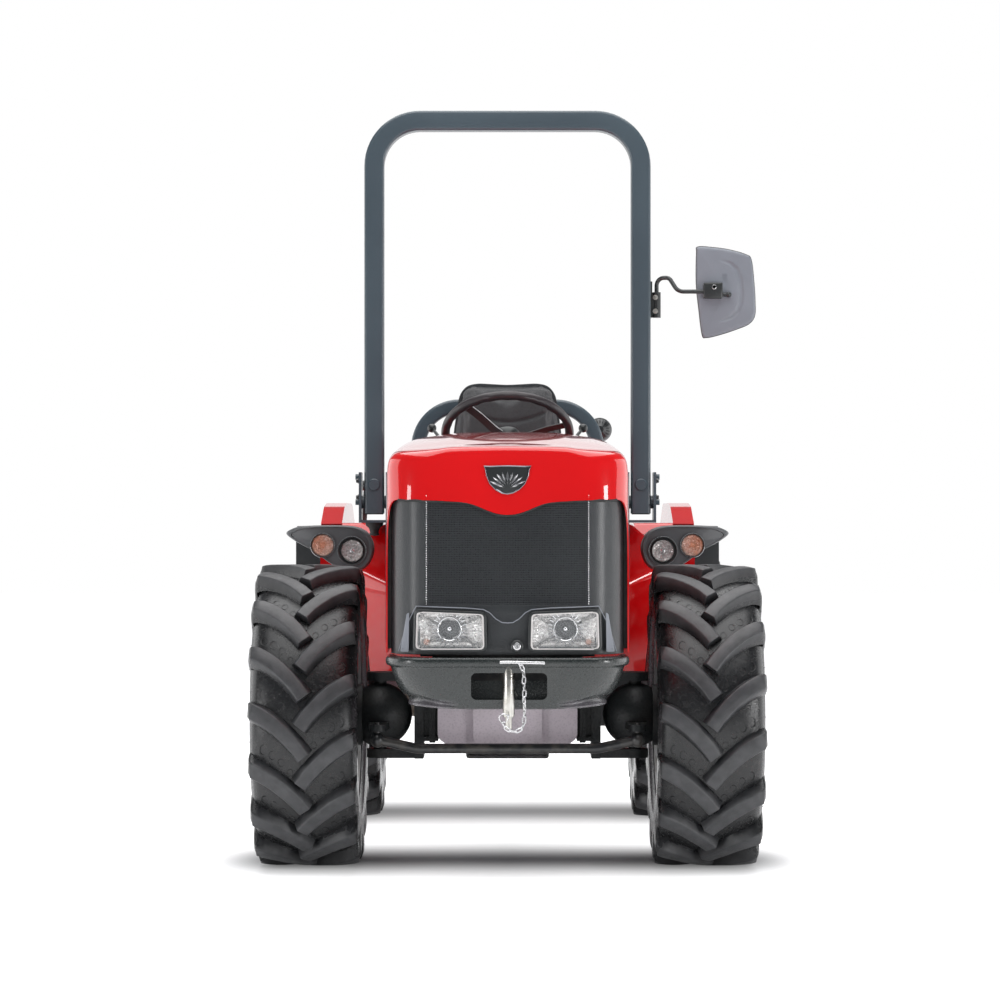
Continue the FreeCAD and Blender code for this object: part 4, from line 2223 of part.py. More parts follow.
def seat_back():
    """The backrest, leaning back above the cushion."""
    owner = body("seat_back")
    half, top, front = S.back_width / 2, S.back_top, S.seat_front + S.back_start
    low = S.seat_bottom + S.cushion_height + S.seat_clearance
    pad(
        owner,
        "back_block",
        "XZ_Plane",
        [
            (-half - S.back_spread, low, 60), (half + S.back_spread, low, 60),
            (half, top, 84), (-half, top, 84),
        ],
        front,
        front + S.back_wall,
    )
    return owner


def underfloor_left():
    """The fuel tank under the left floor."""
    owner = body("fuel_tank")
    near, top = S.gearbox_half_width + S.tank_gap, S.platform_z - S.seat_clearance
    low, far = S.platform_z - S.tank_height, DECK_HALF - S.tank_side_gap
    pad(
        owner,
        "tank_block",
        "XZ_Plane",
        [
            (near, top, 20),
            (near, low, 30),
            (far - S.tank_taper, low, 40),
            (far, top, 20),
        ],
        S.platform_front + S.tank_lead,
        S.deck_front - S.tank_tail,
    )
    return owner


def exhaust():
    """The silencer under the right floor with its inlet and tail pipes."""
    x, z = -number(S.muffler_x), number(S.platform_z - S.muffler_drop)
    y0, y1 = number(S.platform_front + S.muffler_lead), number(S.deck_front - S.muffler_tail)
    radius, pipe = number(S.muffler_radius), number(S.exhaust_radius)
    can = Part.makeCylinder(radius, y1 - y0, Vector(x, y0, z), Vector(0, 1, 0))
    wide, long, gap = number(S.strap_width), number(S.strap_length), number(S.seat_clearance)
    foot = z + radius - 8
    strap = Part.makeBox(
        wide, long, number(S.platform_z) - gap - foot, Vector(x - wide / 2, (y0 + y1) / 2, foot)
    )
    run, end = number(S.inlet_run), y1 + number(S.tail_run)
    wall = -number(S.gearbox_half_width) - gap
    inlet = round_tube(
        [Vector(x, y0 + 10, z), Vector(x, y0 - run, z), Vector(wall, y0 - run, z)], [2 * pipe], pipe
    )
    tail = round_tube(
        [Vector(x, y1 - 10, z), Vector(x, end, z), Vector(x - 56, end + 34, z - 30)], [1.5 * pipe], pipe
    )
    return made("exhaust", can.fuse([strap, inlet, tail]).removeSplitter())


def steps_left():
    """A step plate hung from the floor's outer edge."""
    z, wall = S.platform_z, S.step_wall
    x = DECK_HALF + S.step_inset
    rear = REAR_AXLE - S.tyre_diameter / 2 - S.step_gap
    low = z - S.step_drop
    tread = block("step_tread", (x, x + S.step_width), (rear - S.step_length, rear), (low, low + wall))
    hanger = block("step_hanger", (x, x + wall), (S.platform_front + wall, rear - 30), (low, z))
    return fuse("step_left", [tread, hanger])


def rear_lamp_left():
    """The red lamp on the back of the mudguard."""
    rear = S.fender_rear + S.seat_clearance
    x, z = CREST_IN, S.fender_tail_z - S.rear_lamp_drop
    return block(
        "rear_lamp_left",
        (x, x + S.rear_lamp_width),
        (rear, rear + S.rear_lamp_depth),
        (z, z + S.rear_lamp_height),
    )


left_platform = platform_left()
node("platform", group("platform", [left_platform, mirrored("platform_right", left_platform)]))
node("seat_deck", seat_deck())
left_fender = node("fender_left", fender_left())
node("fender_right", mirrored("fender_right", left_fender))
left_flare = fender_flare_left()
node("fender_flares", group("fender_flares", [left_flare, mirrored("fender_flare_right", left_flare)]))
left_pod = light_pod_left()
node("light_pods", group("light_pods", [left_pod, mirrored("light_pod_right", left_pod)]))
lamps = pod_lamps_left()
node("front_lamps", group("front_lamps", lamps + [mirrored(f"{p.Name}_right", p) for p in lamps]))
node("rear_hoop", rear_hoop())
node("work_lamp", work_lamp())
node("dashboard", fuse("dashboard_unit", [dashboard(), hinge_pin(), steering_column()]))
node("steering_wheel", steering_wheel())
DOC.recompute()
node("levers", levers())
node("pedals", pedals())
node("seat_base", seat_base())
node("seat_cushion", seat_cushion())
node("seat_back", seat_back())
node("fuel_tank", underfloor_left())
node("exhaust", exhaust())
left_step = steps_left()
node("steps", group("steps", [left_step, mirrored("step_right", left_step)]))
left_rear_lamp = rear_lamp_left()
node("rear_lamps", group("rear_lamps", [left_rear_lamp, mirrored("rear_lamp_right", left_rear_lamp)]))


# ---------------------------------------------------------------- rear linkage

LINK_END = REAR - S.ball_radius
LINK_END_Z = S.link_pivot_z + S.link_rise
LINK_SLOPE = number(S.link_rise) / number(LINK_END - S.link_pivot_y)
ROD_FOOT_Y = S.link_pivot_y + S.rod_distance
ROD_FOOT_Z = S.link_pivot_z + S.rod_distance * LINK_SLOPE
ROD_HEAD_Y = S.rock_y + S.arm_reach
ROD_HEAD_Z = S.rock_z - S.arm_drop
ARM_X = S.rock_half_length
ROD_X = ARM_X + S.lift_arm_wall / 2 + S.rod_gap + S.lift_rod_wall / 2


def lower_link(name):
    """One lower link with a bored ball at each end."""
    x = S.link_half_gap
    half = S.link_height / 2
    owner = body(name)
    pad(
        owner,
        f"{name}_bar",
        "YZ_Plane",
        [
            (S.link_pivot_y, S.link_pivot_z - half), (LINK_END, LINK_END_Z - half),
            (LINK_END, LINK_END_Z + half), (S.link_pivot_y, S.link_pivot_z + half),
        ],
        x - S.link_wall / 2,
        x + S.link_wall / 2,
    )
    spots = [(S.link_pivot_y, S.link_pivot_z), (LINK_END, LINK_END_Z)]
    half_ball = S.ball_width / 2
    boss(owner, f"{name}_balls", "YZ_Plane", spots, S.ball_radius, x - half_ball, x + half_ball)
    bore(owner, f"{name}_front_bore", "YZ_Plane", spots[:1], S.ball_bore, x - 40, x + 40)
    bore(owner, f"{name}_rear_bore", "YZ_Plane", spots[1:], S.ball_bore, x - 40, x + 40)
    return owner


def link_brackets():
    """Pins and lugs beside the rear housing that carry the lower links."""
    x, y, z = S.link_half_gap, S.link_pivot_y, S.link_pivot_z
    side, half_ball = S.gearbox_half_width, S.ball_width / 2
    radius = S.ball_bore - S.pin_clearance
    far, near = x + half_ball + S.link_washer, x - half_ball - S.link_washer
    pin = rod("link_pin", radius, far + S.link_cap_wall - side, side, y, z, LYING_X)
    lug = block(
        "link_lug", (side, near), (y - S.lug_front, y + S.lug_rear), (z - S.lug_below, z + S.lug_above)
    )
    cap = rod("link_cap", S.link_cap_radius, S.link_cap_wall, far, y, z, LYING_X)
    left = fuse("link_bracket_left", [pin, lug, cap])
    return group("link_brackets", [left, mirrored("link_bracket_right", left)])


def lift_cover():
    """The hydraulic lift's housing, bored for its cross shaft, with the top link's two ears."""
    owner = body("lift_cover")
    y, z, ear = S.rock_y, S.rock_z, S.top_ear_half
    pad(
        owner,
        "cover_block",
        "YZ_Plane",
        [
            (y - S.cover_front, S.housing_step),
            (y + S.cover_rear, S.housing_step),
            (y + S.cover_rear, z + S.cover_rise, 24),
            (y - S.cover_front, z + S.cover_rise, 24),
        ],
        -S.cover_half_width,
        S.cover_half_width,
    )
    for side in (-1, 1):
        pad(
            owner,
            f"top_link_ear_{side + 1}",
            "YZ_Plane",
            [
                (y + S.top_ear_root, S.top_pin_z - ear - 8),
                (S.top_pin_y + ear - 2, S.top_pin_z - ear, 21),
                (S.top_pin_y + ear - 2, S.top_pin_z + ear, 21),
                (y + S.top_ear_root, S.top_pin_z + ear),
            ],
            side * S.top_link_gap - S.top_ear_wall / 2,
            side * S.top_link_gap + S.top_ear_wall / 2,
        )
    reach = S.cover_half_width + 12
    bore(owner, "rock_bore", "YZ_Plane", [(y, z)], S.rock_radius + S.pin_clearance, -reach, reach)
    bore(
        owner,
        "top_pin_bore",
        "YZ_Plane",
        [(S.top_pin_y, S.top_pin_z)],
        S.top_pin_radius + S.pin_clearance,
        -60,
        60,
    )
    return owner


def lift_arms():
    """The cross shaft of the lift with an arm and an eye pin on both ends."""
    x0, x1 = ARM_X - S.lift_arm_wall / 2, ARM_X + S.lift_arm_wall / 2
    shaft = rod("rock_shaft", S.rock_radius, ARM_X * 2, -ARM_X, S.rock_y, S.rock_z, LYING_X)
    owner = body("lift_arm_left")
    y, z = S.rock_y, S.rock_z
    hub, eye, head = S.arm_hub_half, S.arm_eye_half, (ROD_HEAD_Y, ROD_HEAD_Z)
    pad(
        owner,
        "lift_arm_bar",
        "YZ_Plane",
        [
            (y, z - hub),
            (ROD_HEAD_Y, ROD_HEAD_Z - eye),
            (ROD_HEAD_Y, ROD_HEAD_Z + eye),
            (y, z + hub),
        ],
        x0,
        x1,
    )
    boss(owner, "lift_arm_hub", "YZ_Plane", [(y, z)], S.arm_hub_radius, x0, x1)
    boss(owner, "lift_arm_eye", "YZ_Plane", [head], S.arm_eye_radius, x0, x1)
    boss(owner, "lift_arm_pin", "YZ_Plane", [head], S.lift_pin_radius, x1, x1 + S.lift_pin_length)
    return fuse("lift_arms", [shaft, owner, mirrored("lift_arm_right", owner)])


def lift_rod(name):
    """One lift rod: an eye on the lift arm's pin, a turnbuckle and a fork eye at the link."""
    x, half, wall = ROD_X, S.rod_half, S.lift_rod_wall / 2
    owner = body(name)
    head, foot = (ROD_HEAD_Y, ROD_HEAD_Z), (ROD_FOOT_Y, ROD_FOOT_Z + S.rod_foot_rise)
    pad(
        owner,
        f"{name}_shank",
        "YZ_Plane",
        [
            (foot[0] - half, foot[1]),
            (foot[0] + half, foot[1]),
            (head[0] + half, head[1] - 10),
            (head[0] - half, head[1] - 10),
        ],
        x - wall,
        x + wall,
    )
    boss(owner, f"{name}_head", "YZ_Plane", [head], S.rod_head_radius, x - wall, x + wall)
    boss(owner, f"{name}_foot", "YZ_Plane", [foot], S.rod_foot_radius, x - wall, x + wall)
    middle, side = (head[0] + foot[0]) / 2, S.turnbuckle_half
    pad(
        owner,
        f"{name}_turnbuckle",
        "XY_Plane",
        [
            (x - wall - 6, middle - side, 8),
            (x + wall + 2, middle - side, 8),
            (x + wall + 2, middle + side, 8),
            (x - wall - 6, middle + side, 8),
        ],
        ROD_FOOT_Z + S.turnbuckle_gap,
        ROD_HEAD_Z - S.turnbuckle_gap,
    )
    hole = S.lift_pin_radius + S.pin_clearance
    bore(owner, f"{name}_eye", "YZ_Plane", [head], hole, x - 40, x + 40)
    return owner


def top_link():
    """The top link, stowed pointing rearwards, with a bored ball at each end."""
    owner = body("top_link")
    y, z = S.top_pin_y, S.top_pin_z
    end_y, end_z = y + S.top_link_length, z + S.top_link_rise
    spots = [(y, z), (end_y, end_z)]
    half, high = S.top_link_half, S.top_sleeve_height / 2
    first, last = y + S.top_sleeve_start, end_y - S.top_sleeve_start
    slope = number(S.top_link_rise) / number(S.top_link_length)

    def sleeve_z(along_y):
        return z + (along_y - y) * slope

    pad(
        owner,
        "top_link_bar",
        "YZ_Plane",
        [(y, z - half), (end_y, end_z - half), (end_y, end_z + half), (y, z + half)],
        -half,
        half,
    )
    pad(
        owner,
        "top_link_sleeve",
        "YZ_Plane",
        [
            (first, sleeve_z(first) - high),
            (last, sleeve_z(last) - high),
            (last, sleeve_z(last) + high),
            (first, sleeve_z(first) + high),
        ],
        -S.top_sleeve_half,
        S.top_sleeve_half,
    )
    ball_half = S.top_ball_width / 2
    boss(owner, "top_link_balls", "YZ_Plane", spots, S.top_ball_radius, -ball_half, ball_half)
    front_bore, reach = S.top_pin_radius + S.pin_clearance, ball_half + 5
    bore(owner, "top_link_front_bore", "YZ_Plane", spots[:1], front_bore, -reach, reach)
    bore(owner, "top_link_rear_bore", "YZ_Plane", spots[1:], S.top_end_bore, -reach, reach)
    return owner


def top_pin():
    reach = S.top_link_gap + S.top_pin_reach
    return rod(
        "top_pin", S.top_pin_radius, reach * 2, -reach, S.top_pin_y, S.top_pin_z, LYING_X
    )


def pto():
    """The power take-off shaft with its round cover plate and its guard."""
    face = S.rear_face
    z, half, wall = S.pto_z, S.pto_guard_half, S.pto_guard_wall
    deep, under = (face, face + S.pto_guard_depth), S.pto_z + S.pto_guard_rise
    length = S.pto_length + S.pto_plate_wall
    shaft = rod("pto_shaft", S.pto_radius, length, 0, face, z, LYING_Y)
    plate = rod("pto_plate", S.pto_plate_radius, S.pto_plate_wall, 0, face, z, LYING_Y)
    guard = block("pto_guard_top", (-half, half), deep, (under, under + wall))
    cheek = block("pto_guard_side", (half - wall, half), deep, (z, under + wall - 1))
    return fuse("pto", [shaft, plate, guard, cheek, mirrored("pto_guard_other", cheek)])


def tow_hitch():
    """The rear towing jaw with a vertical pin hole."""
    owner = body("tow_hitch")
    face, wall, end = S.rear_face, S.hitch_wall, S.rear_face + S.hitch_length
    low, high = S.hitch_z - S.hitch_gap / 2, S.hitch_z + S.hitch_gap / 2
    pad(
        owner,
        "hitch_block",
        "YZ_Plane",
        [
            (face, low - wall), (end, low - wall, 10), (end, high + wall, 10), (face, high + wall),
        ],
        -S.hitch_half_width,
        S.hitch_half_width,
    )
    reach = S.hitch_half_width + 10
    pocket(
        owner,
        "hitch_jaw",
        "YZ_Plane",
        [(face + S.hitch_root, low), (end + 10, low), (end + 10, high), (face + S.hitch_root, high)],
        -reach,
        reach,
    )
    bore(
        owner,
        "hitch_pin_hole",
        "XY_Plane",
        [(0, face + S.hitch_pin_y)],
        S.hitch_bore,
        low - wall - 10,
        high + wall + 10,
    )
    return owner


left_link = lower_link("lower_link_left")
node("lower_links", group("lower_links", [left_link, mirrored("lower_link_right", left_link)]))
node("link_brackets", link_brackets())
node("lift_cover", fuse("lift_cover_unit", [lift_cover(), top_pin()]))
node("lift_arms", lift_arms())
left_rod = lift_rod("lift_rod_left")
node("lift_rods", group("lift_rods", [left_rod, mirrored("lift_rod_right", left_rod)]))
node("top_link", top_link())
node("pto", pto())
node("tow_hitch", tow_hitch())


# ---------------------------------------------------------------- checks and export


def check_document():
    DOC.recompute()
    for thing in DOC.Objects:
        if "Invalid" in thing.State or "Error" in thing.State:
            raise RuntimeError(f"{thing.Name} failed: {thing.State}")
        if thing.TypeId == "PartDesign::Pocket":
            before = thing.BaseFeature.Shape.Volume
            if before - thing.Shape.Volume < 1:
                raise RuntimeError(f"{thing.Name} cuts nothing")
    for name, thing in NODES.items():
        shape = thing.Shape
        if shape.isNull() or not shape.isValid() or not shape.Solids:
            raise RuntimeError(f"{name} has no valid solid")


def export():
    os.makedirs("parts", exist_ok=True)
    for name, thing in NODES.items():
        thing.Shape.exportStep(f"parts/{name}.step")
        box = thing.Shape.BoundBox
        print(f"{name}: {len(thing.Shape.Solids)} solids, {box.XLength:.0f} x {box.YLength:.0f} x {box.ZLength:.0f}")


check_document()
export()
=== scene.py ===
# %% [markdown]
# # A compact tractor, dressed for the studio
# The CAD model is the frame: it fixes every size and every joint. This notebook dresses it.
# Some CAD parts only need a good finish. Others are replaced by pieces with the lugs, seams,
# lenses and soft forms that the real machine has. The tractor faces -Y, +X is the driver's
# left, +Z is up, and every length is in metres.

# %% Load the frame
import bpy, bmesh, json, math
from mathutils import Euler, Matrix, Vector

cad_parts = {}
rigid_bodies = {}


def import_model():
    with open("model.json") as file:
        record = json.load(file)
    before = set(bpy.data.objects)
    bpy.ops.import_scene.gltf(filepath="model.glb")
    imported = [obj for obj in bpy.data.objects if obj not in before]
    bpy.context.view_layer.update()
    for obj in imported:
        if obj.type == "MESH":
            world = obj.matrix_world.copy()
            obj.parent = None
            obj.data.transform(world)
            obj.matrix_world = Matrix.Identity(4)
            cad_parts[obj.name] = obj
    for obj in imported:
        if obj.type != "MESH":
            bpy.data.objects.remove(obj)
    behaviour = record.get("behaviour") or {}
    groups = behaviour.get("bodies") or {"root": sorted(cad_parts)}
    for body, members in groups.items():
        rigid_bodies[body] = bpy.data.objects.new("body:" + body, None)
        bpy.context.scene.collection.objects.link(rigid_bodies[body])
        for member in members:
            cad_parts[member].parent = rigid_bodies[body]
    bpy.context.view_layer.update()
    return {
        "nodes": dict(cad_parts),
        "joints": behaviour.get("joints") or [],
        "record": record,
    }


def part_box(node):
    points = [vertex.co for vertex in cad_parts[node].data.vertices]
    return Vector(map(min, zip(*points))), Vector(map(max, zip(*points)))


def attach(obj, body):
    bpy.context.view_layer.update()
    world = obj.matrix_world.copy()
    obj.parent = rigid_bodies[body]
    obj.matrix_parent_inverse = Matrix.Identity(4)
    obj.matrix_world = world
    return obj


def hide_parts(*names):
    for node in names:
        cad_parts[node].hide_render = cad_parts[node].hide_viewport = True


for leftover in list(bpy.data.objects):
    bpy.data.objects.remove(leftover)
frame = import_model()
bodies = frame["record"]["behaviour"]["bodies"]
print("parts:", len(frame["nodes"]), "bodies:", len(bodies))

# %% [markdown]
# ## Camera, floor and light
# A machine this size is seen from far away through a long lens, so that it keeps its
# proportions. The lens stands at the height of the axles' shoulders, level and square to the
# nose. One wide soft box hangs overhead for the sheen along the bonnet. A strip stands low on
# each side of the camera, because rounded black plastic only shows its form in what it
# mirrors. Panels light the two flanks, and a wall of light behind the tractor gives the
# bonnet's top its pale gloss. The fill in front isn't mirrored, so that flat black plastic
# stays black.

# %% Camera
camera = bpy.data.objects.new("camera", bpy.data.cameras.new("camera"))
bpy.context.scene.collection.objects.link(camera)
camera.location = (0, -9.10, 0.975)
camera.rotation_euler = (math.pi / 2, 0, 0)
camera.data.lens, camera.data.sensor_width = 106.6, 36
camera.data.shift_x, camera.data.shift_y = -0.0075, 0.020
bpy.context.scene.camera = camera
print(f"camera: {-camera.location.y:.2f} m ahead, {camera.data.lens} mm lens")


# %% Soft boxes
def soft_box(name, place, target, width, height, power, mirrored=True):
    """A rectangular soft light at a place, facing a target; gloss may or may not mirror it."""
    lamp = bpy.data.lights.new(name, "AREA")
    lamp.shape, lamp.size, lamp.size_y, lamp.energy = "RECTANGLE", width, height, power
    box = bpy.data.objects.new(name, lamp)
    box.visible_glossy, box.visible_camera = mirrored, False
    bpy.context.scene.collection.objects.link(box)
    box.location = place
    box.rotation_euler = (Vector(target) - Vector(place)).to_track_quat("-Z", "Y").to_euler()
    return box


soft_box("overhead", (0, -0.6, 5.2), (0, -0.6, 0), 5.2, 9.2, 410)
soft_box("left_strip", (4.4, -4.3, 1.05), (0.2, -1.2, 0.85), 1.1, 1.5, 75)
soft_box("right_strip", (-4.4, -4.3, 0.95), (-0.2, -1.2, 0.85), 1.0, 1.7, 50)
soft_box("left_panel", (4.6, 1.9, 1.75), (0.0, 1.9, 1.75), 6.6, 3.2, 110)
soft_box("right_panel", (-4.6, 1.9, 1.75), (0.0, 1.9, 1.75), 6.6, 3.2, 110)
soft_box("front_fill", (0, -10.5, 4.4), (0, -0.6, 0.7), 5.0, 2.4, 120, mirrored=False)
soft_box("rear_wall", (0, 8.5, 2.4), (0, 0, 1.6), 9.0, 4.6, 100)
print("soft boxes:", len(bpy.data.lights))

# %% World and floor
world = bpy.data.worlds.new("studio")
bpy.context.scene.world = world
world.use_nodes = True
light_path = world.node_tree.nodes.new("ShaderNodeLightPath")
backdrop = world.node_tree.nodes["Background"]
room = world.node_tree.nodes.new("ShaderNodeBackground")
either = world.node_tree.nodes.new("ShaderNodeMixShader")
backdrop.inputs["Color"].default_value = (1, 1, 1, 1)
room.inputs["Color"].default_value = (0.93, 0.96, 1, 1)
room.inputs["Strength"].default_value = 0.16
world.node_tree.links.new(light_path.outputs["Is Camera Ray"], either.inputs[0])
world.node_tree.links.new(room.outputs[0], either.inputs[1])
world.node_tree.links.new(backdrop.outputs[0], either.inputs[2])
world.node_tree.links.new(either.outputs[0], world.node_tree.nodes["World Output"].inputs[0])
bpy.context.scene.view_settings.view_transform = "Standard"
bpy.context.scene.view_settings.look = "None"

bpy.ops.mesh.primitive_plane_add(size=60, location=(0, 0, -0.001))
floor = bpy.context.object
floor.name = "studio_floor"
floor_paper = bpy.data.materials.new("floor_paper")
floor_paper.use_nodes = True
paper = floor_paper.node_tree.nodes["Principled BSDF"]
paper.inputs["Base Color"].default_value = (0.9, 0.9, 0.91, 1)
paper.inputs["Roughness"].default_value = 0.75
paper.inputs["Emission Color"].default_value = (1, 1, 1, 1)
floor.data.materials.append(floor_paper)
print("world and floor ready")

# %% [markdown]
# ## Arithmetic on node sockets
# A finish is easier to read as a sum than as a drawing of wires. `Value` wraps one output
# socket, and `mask * 0.4 + 0.2` adds the Math nodes for it. `Graph.node` adds any other node:
# its settings first, then what goes into its sockets. The same two classes serve materials
# and Geometry Nodes, because both kinds of tree know the Math node.


# %% Value and Graph
class Value:
    """One output socket, with the arithmetic that patterns need."""

    def __init__(self, graph, socket):
        self.graph, self.socket = graph, socket

    def math(self, operation, *operands):
        return self.graph.node("ShaderNodeMath", {"operation": operation}, dict(enumerate(operands)))

    def __add__(self, other):
        return self.math("ADD", self, other)

    def __mul__(self, other):
        return self.math("MULTIPLY", self, other)

    def __sub__(self, other):
        return self.math("SUBTRACT", self, other)

    def __rsub__(self, other):
        return self.math("SUBTRACT", other, self)

    __radd__, __rmul__ = __add__, __mul__


class Graph:
    """A node tree that is written as expressions."""

    def __init__(self, tree):
        self.tree = tree

    def node(self, kind, settings=None, values=None, out=None):
        made = self.tree.nodes.new(kind)
        for name, value in (settings or {}).items():
            setattr(made, name, value)
        for name, value in (values or {}).items():
            if isinstance(name, int):
                socket = made.inputs[name]
            else:
                socket = next(s for s in made.inputs if s.name == name and s.enabled)
            self.put(socket, value)
        if out is not None:
            return Value(self, made.outputs[out])
        shown = [s for s in made.outputs if s.enabled]
        return Value(self, shown[0]) if shown else made

    def put(self, socket, value):
        if isinstance(value, Value):
            self.tree.links.new(value.socket, socket)
        else:
            socket.default_value = value


class Pattern(Graph):
    """The nodes of one material, reading Object coordinates."""

    def place(self, scale=None):
        spot = self.node("ShaderNodeTexCoord", out="Object")
        return self.node("ShaderNodeMapping", {}, {"Vector": spot, "Scale": scale}) if scale else spot

    def noise(self, scale, detail=3.0, at=None, rough=0.5):
        where = at or self.place()
        values = {"Vector": where, "Scale": scale, "Detail": detail, "Roughness": rough}
        return self.node("ShaderNodeTexNoise", {}, values)

    def cells(self, scale, feature="F1", out=None):
        values = {"Vector": self.place(), "Scale": scale}
        return self.node("ShaderNodeTexVoronoi", {"feature": feature}, values, out)

    def between(self, value, low, high, to_low=0.0, to_high=1.0):
        values = {"Value": value, "From Min": low, "From Max": high, "To Min": to_low, "To Max": to_high}
        return self.node("ShaderNodeMapRange", {"clamp": True}, values)

    def mix(self, first, second, share):
        return self.node("ShaderNodeMix", {"data_type": "RGBA"}, {"Factor": share, "A": first, "B": second})

    def bump(self, height, distance):
        return self.node("ShaderNodeBump", {}, {"Height": height, "Distance": distance, "Strength": 1.0})

    def axis(self, letter):
        """One coordinate of the place."""
        return self.node("ShaderNodeSeparateXYZ", {}, {"Vector": self.place()}, out=letter)

    def size(self, value):
        """A number without its sign."""
        return self.node("ShaderNodeMath", {"operation": "ABSOLUTE"}, {0: value})

    def fade(self, value, near, far):
        """1 up to near, falling softly to 0 at far."""
        values = {"Value": value, "From Min": near, "From Max": far, "To Min": 1.0, "To Max": 0.0}
        return self.node("ShaderNodeMapRange", {"interpolation_type": "SMOOTHSTEP"}, values)


# %% [markdown]
# The floor glows a little by itself, so that it is as white as the backdrop and has no
# horizon. A wide studio light leaves only a soft shadow under a machine, and the glow would
# wash it out, so a soft shadow is painted in: in a band under each axle and a little behind
# it, the floor's colour darkens and its glow fades.

# %% The floor's glow, with a soft shadow painted in a band under each axle
glow = Pattern(floor_paper.node_tree)
FRONT_BAND, REAR_BAND, FRONT_REACH, REAR_REACH = -0.58, 0.85, 0.60, 0.62
SIDE_NEAR, SIDE_FAR = 0.62, 1.0


def band(y, reach):
    """1 on a band's middle line, falling to 0 at a reach before and behind it."""
    return glow.fade(glow.size(glow.axis("Y") - y), 0.0, reach)


# painted shadow: two bands, the rear one fainter, fading out beyond the tyres
painted_shadow_bands = {0: band(FRONT_BAND, FRONT_REACH), 1: band(REAR_BAND, REAR_REACH) * 0.85}
sides = glow.fade(glow.size(glow.axis("X")), SIDE_NEAR, SIDE_FAR)
shade = glow.node("ShaderNodeMath", {"operation": "MAXIMUM"}, painted_shadow_bands) * sides
seen = glow.node("ShaderNodeLightPath", out="Is Camera Ray")
# painted shadow: the floor's colour darkens towards 0.2 and its glow fades in the bands
glow.put(paper.inputs["Base Color"], glow.mix((0.9, 0.9, 0.91, 1), (0.2, 0.2, 0.21, 1), shade))
glow.put(paper.inputs["Emission Strength"], (1.0 - shade) * 0.95 * (seen * 0.7 + 0.3))
print("floor:", len(floor_paper.node_tree.nodes), "nodes")

# %% A finish is a material, the record's slot it belongs to, and its pattern
finishes, finish_slot = {}, {}


def finish(name, slot, pattern, **fixed):
    """Makes a material: fixed values go on the shader's sockets, pattern(graph) feeds the rest."""
    material = bpy.data.materials.new(name)
    material.use_nodes = True
    shader = material.node_tree.nodes["Principled BSDF"]
    for socket, value in fixed.items():
        shader.inputs[socket.replace("_", " ")].default_value = value
    graph = Pattern(material.node_tree)
    for socket, value in pattern(graph).items():
        graph.put(shader.inputs[socket], value)
    finishes[name], finish_slot[name] = material, slot
    return material


def rgb(red, green, blue):
    return (red, green, blue, 1.0)


# %% [markdown]
# ## Paint
# The bonnet is sprayed: colour below, clear lacquer above. The lacquer is the shader's coat.
# Sprayed lacquer is never dead flat, so a very fine bump gives it the skin of an orange, and
# the colour wanders by a few percent, as it does where the coats overlap. A little road dust
# lies low on the panels. The roll bar's paint is a dull blue-grey, and the wheels are silver.


# %% Sprayed paint
def sprayed(colour, deep, peel, dust=0.0, low=0.3, high=0.9, dull=0.3):
    def pattern(g):
        cloud = g.between(g.noise(2.6, 2), 0.35, 0.65)
        tone = g.mix(deep, colour, cloud)
        grime = g.between(g.axis("Z"), high, low) * g.between(g.noise(34, 5), 0.42, 0.72) * dust
        return {
            "Base Color": g.mix(tone, rgb(0.27, 0.24, 0.2), grime),
            "Roughness": grime * 0.4 + g.noise(90, 3) * 0.1 + (dull - 0.05),
            "Normal": g.bump(g.noise(420, 2), peel),
        }

    return pattern


finish("red_lacquer", "red_paint", sprayed(rgb(0.66, 0.002, 0.004), rgb(0.59, 0.0015, 0.003), 0.00004, 0.10),
       Coat_Weight=1.0, Coat_Roughness=0.03, Coat_IOR=1.62, Specular_IOR_Level=0.1)
finish("bar_paint", "bar_paint", sprayed(rgb(0.056, 0.080, 0.098), rgb(0.044, 0.064, 0.080), 0.00010, 0.05,
                                         dull=0.34), Coat_Weight=0.35, Coat_Roughness=0.18)
finish("frame_black", "black_steel", sprayed(rgb(0.018, 0.019, 0.021), rgb(0.010, 0.011, 0.012), 0.00014,
                                             0.22, dull=0.34), Coat_Weight=0.4, Coat_Roughness=0.2)
finish("rim_silver", "rim_paint", sprayed(rgb(0.60, 0.61, 0.61), rgb(0.50, 0.51, 0.51), 0.00008, 0.35,
                                          dull=0.36), Metallic=0.35, Coat_Weight=0.3, Coat_Roughness=0.2)
print("paints:", len(finishes))

# %% [markdown]
# ## Castings
# The front weight and the axle are sand castings. Sand leaves a pebbled skin, and the black
# paint pools in its hollows, so the bumps are coarse and the gloss is broken into sparks. The
# gear housings are smoother castings in a pale grey paint, and the engine's is darker.


# %% Sand cast skins
def cast(colour, deep, grain, depth, gloss, dust=0.15):
    def pattern(g):
        sand = g.noise(grain, 4, rough=0.6)
        pits = g.between(g.cells(grain * 0.45), 0.0, 0.55)
        crust = sand * 0.65 + pits * 0.35
        grime = g.between(g.noise(11, 4), 0.48, 0.75) * dust
        tone = g.mix(deep, colour, g.between(crust, 0.3, 0.7))
        return {
            "Base Color": g.mix(tone, rgb(0.2, 0.185, 0.165), grime),
            "Roughness": g.between(crust, 0.3, 0.7, gloss + 0.12, gloss - 0.05) + grime * 0.3,
            "Normal": g.bump(crust, depth),
        }

    return pattern


finish("cast_black", "black_iron", cast(rgb(0.020, 0.022, 0.022), rgb(0.009, 0.010, 0.010), 260, 0.0011, 0.30,
                                        0.06), Coat_Weight=0.5, Coat_Roughness=0.16)


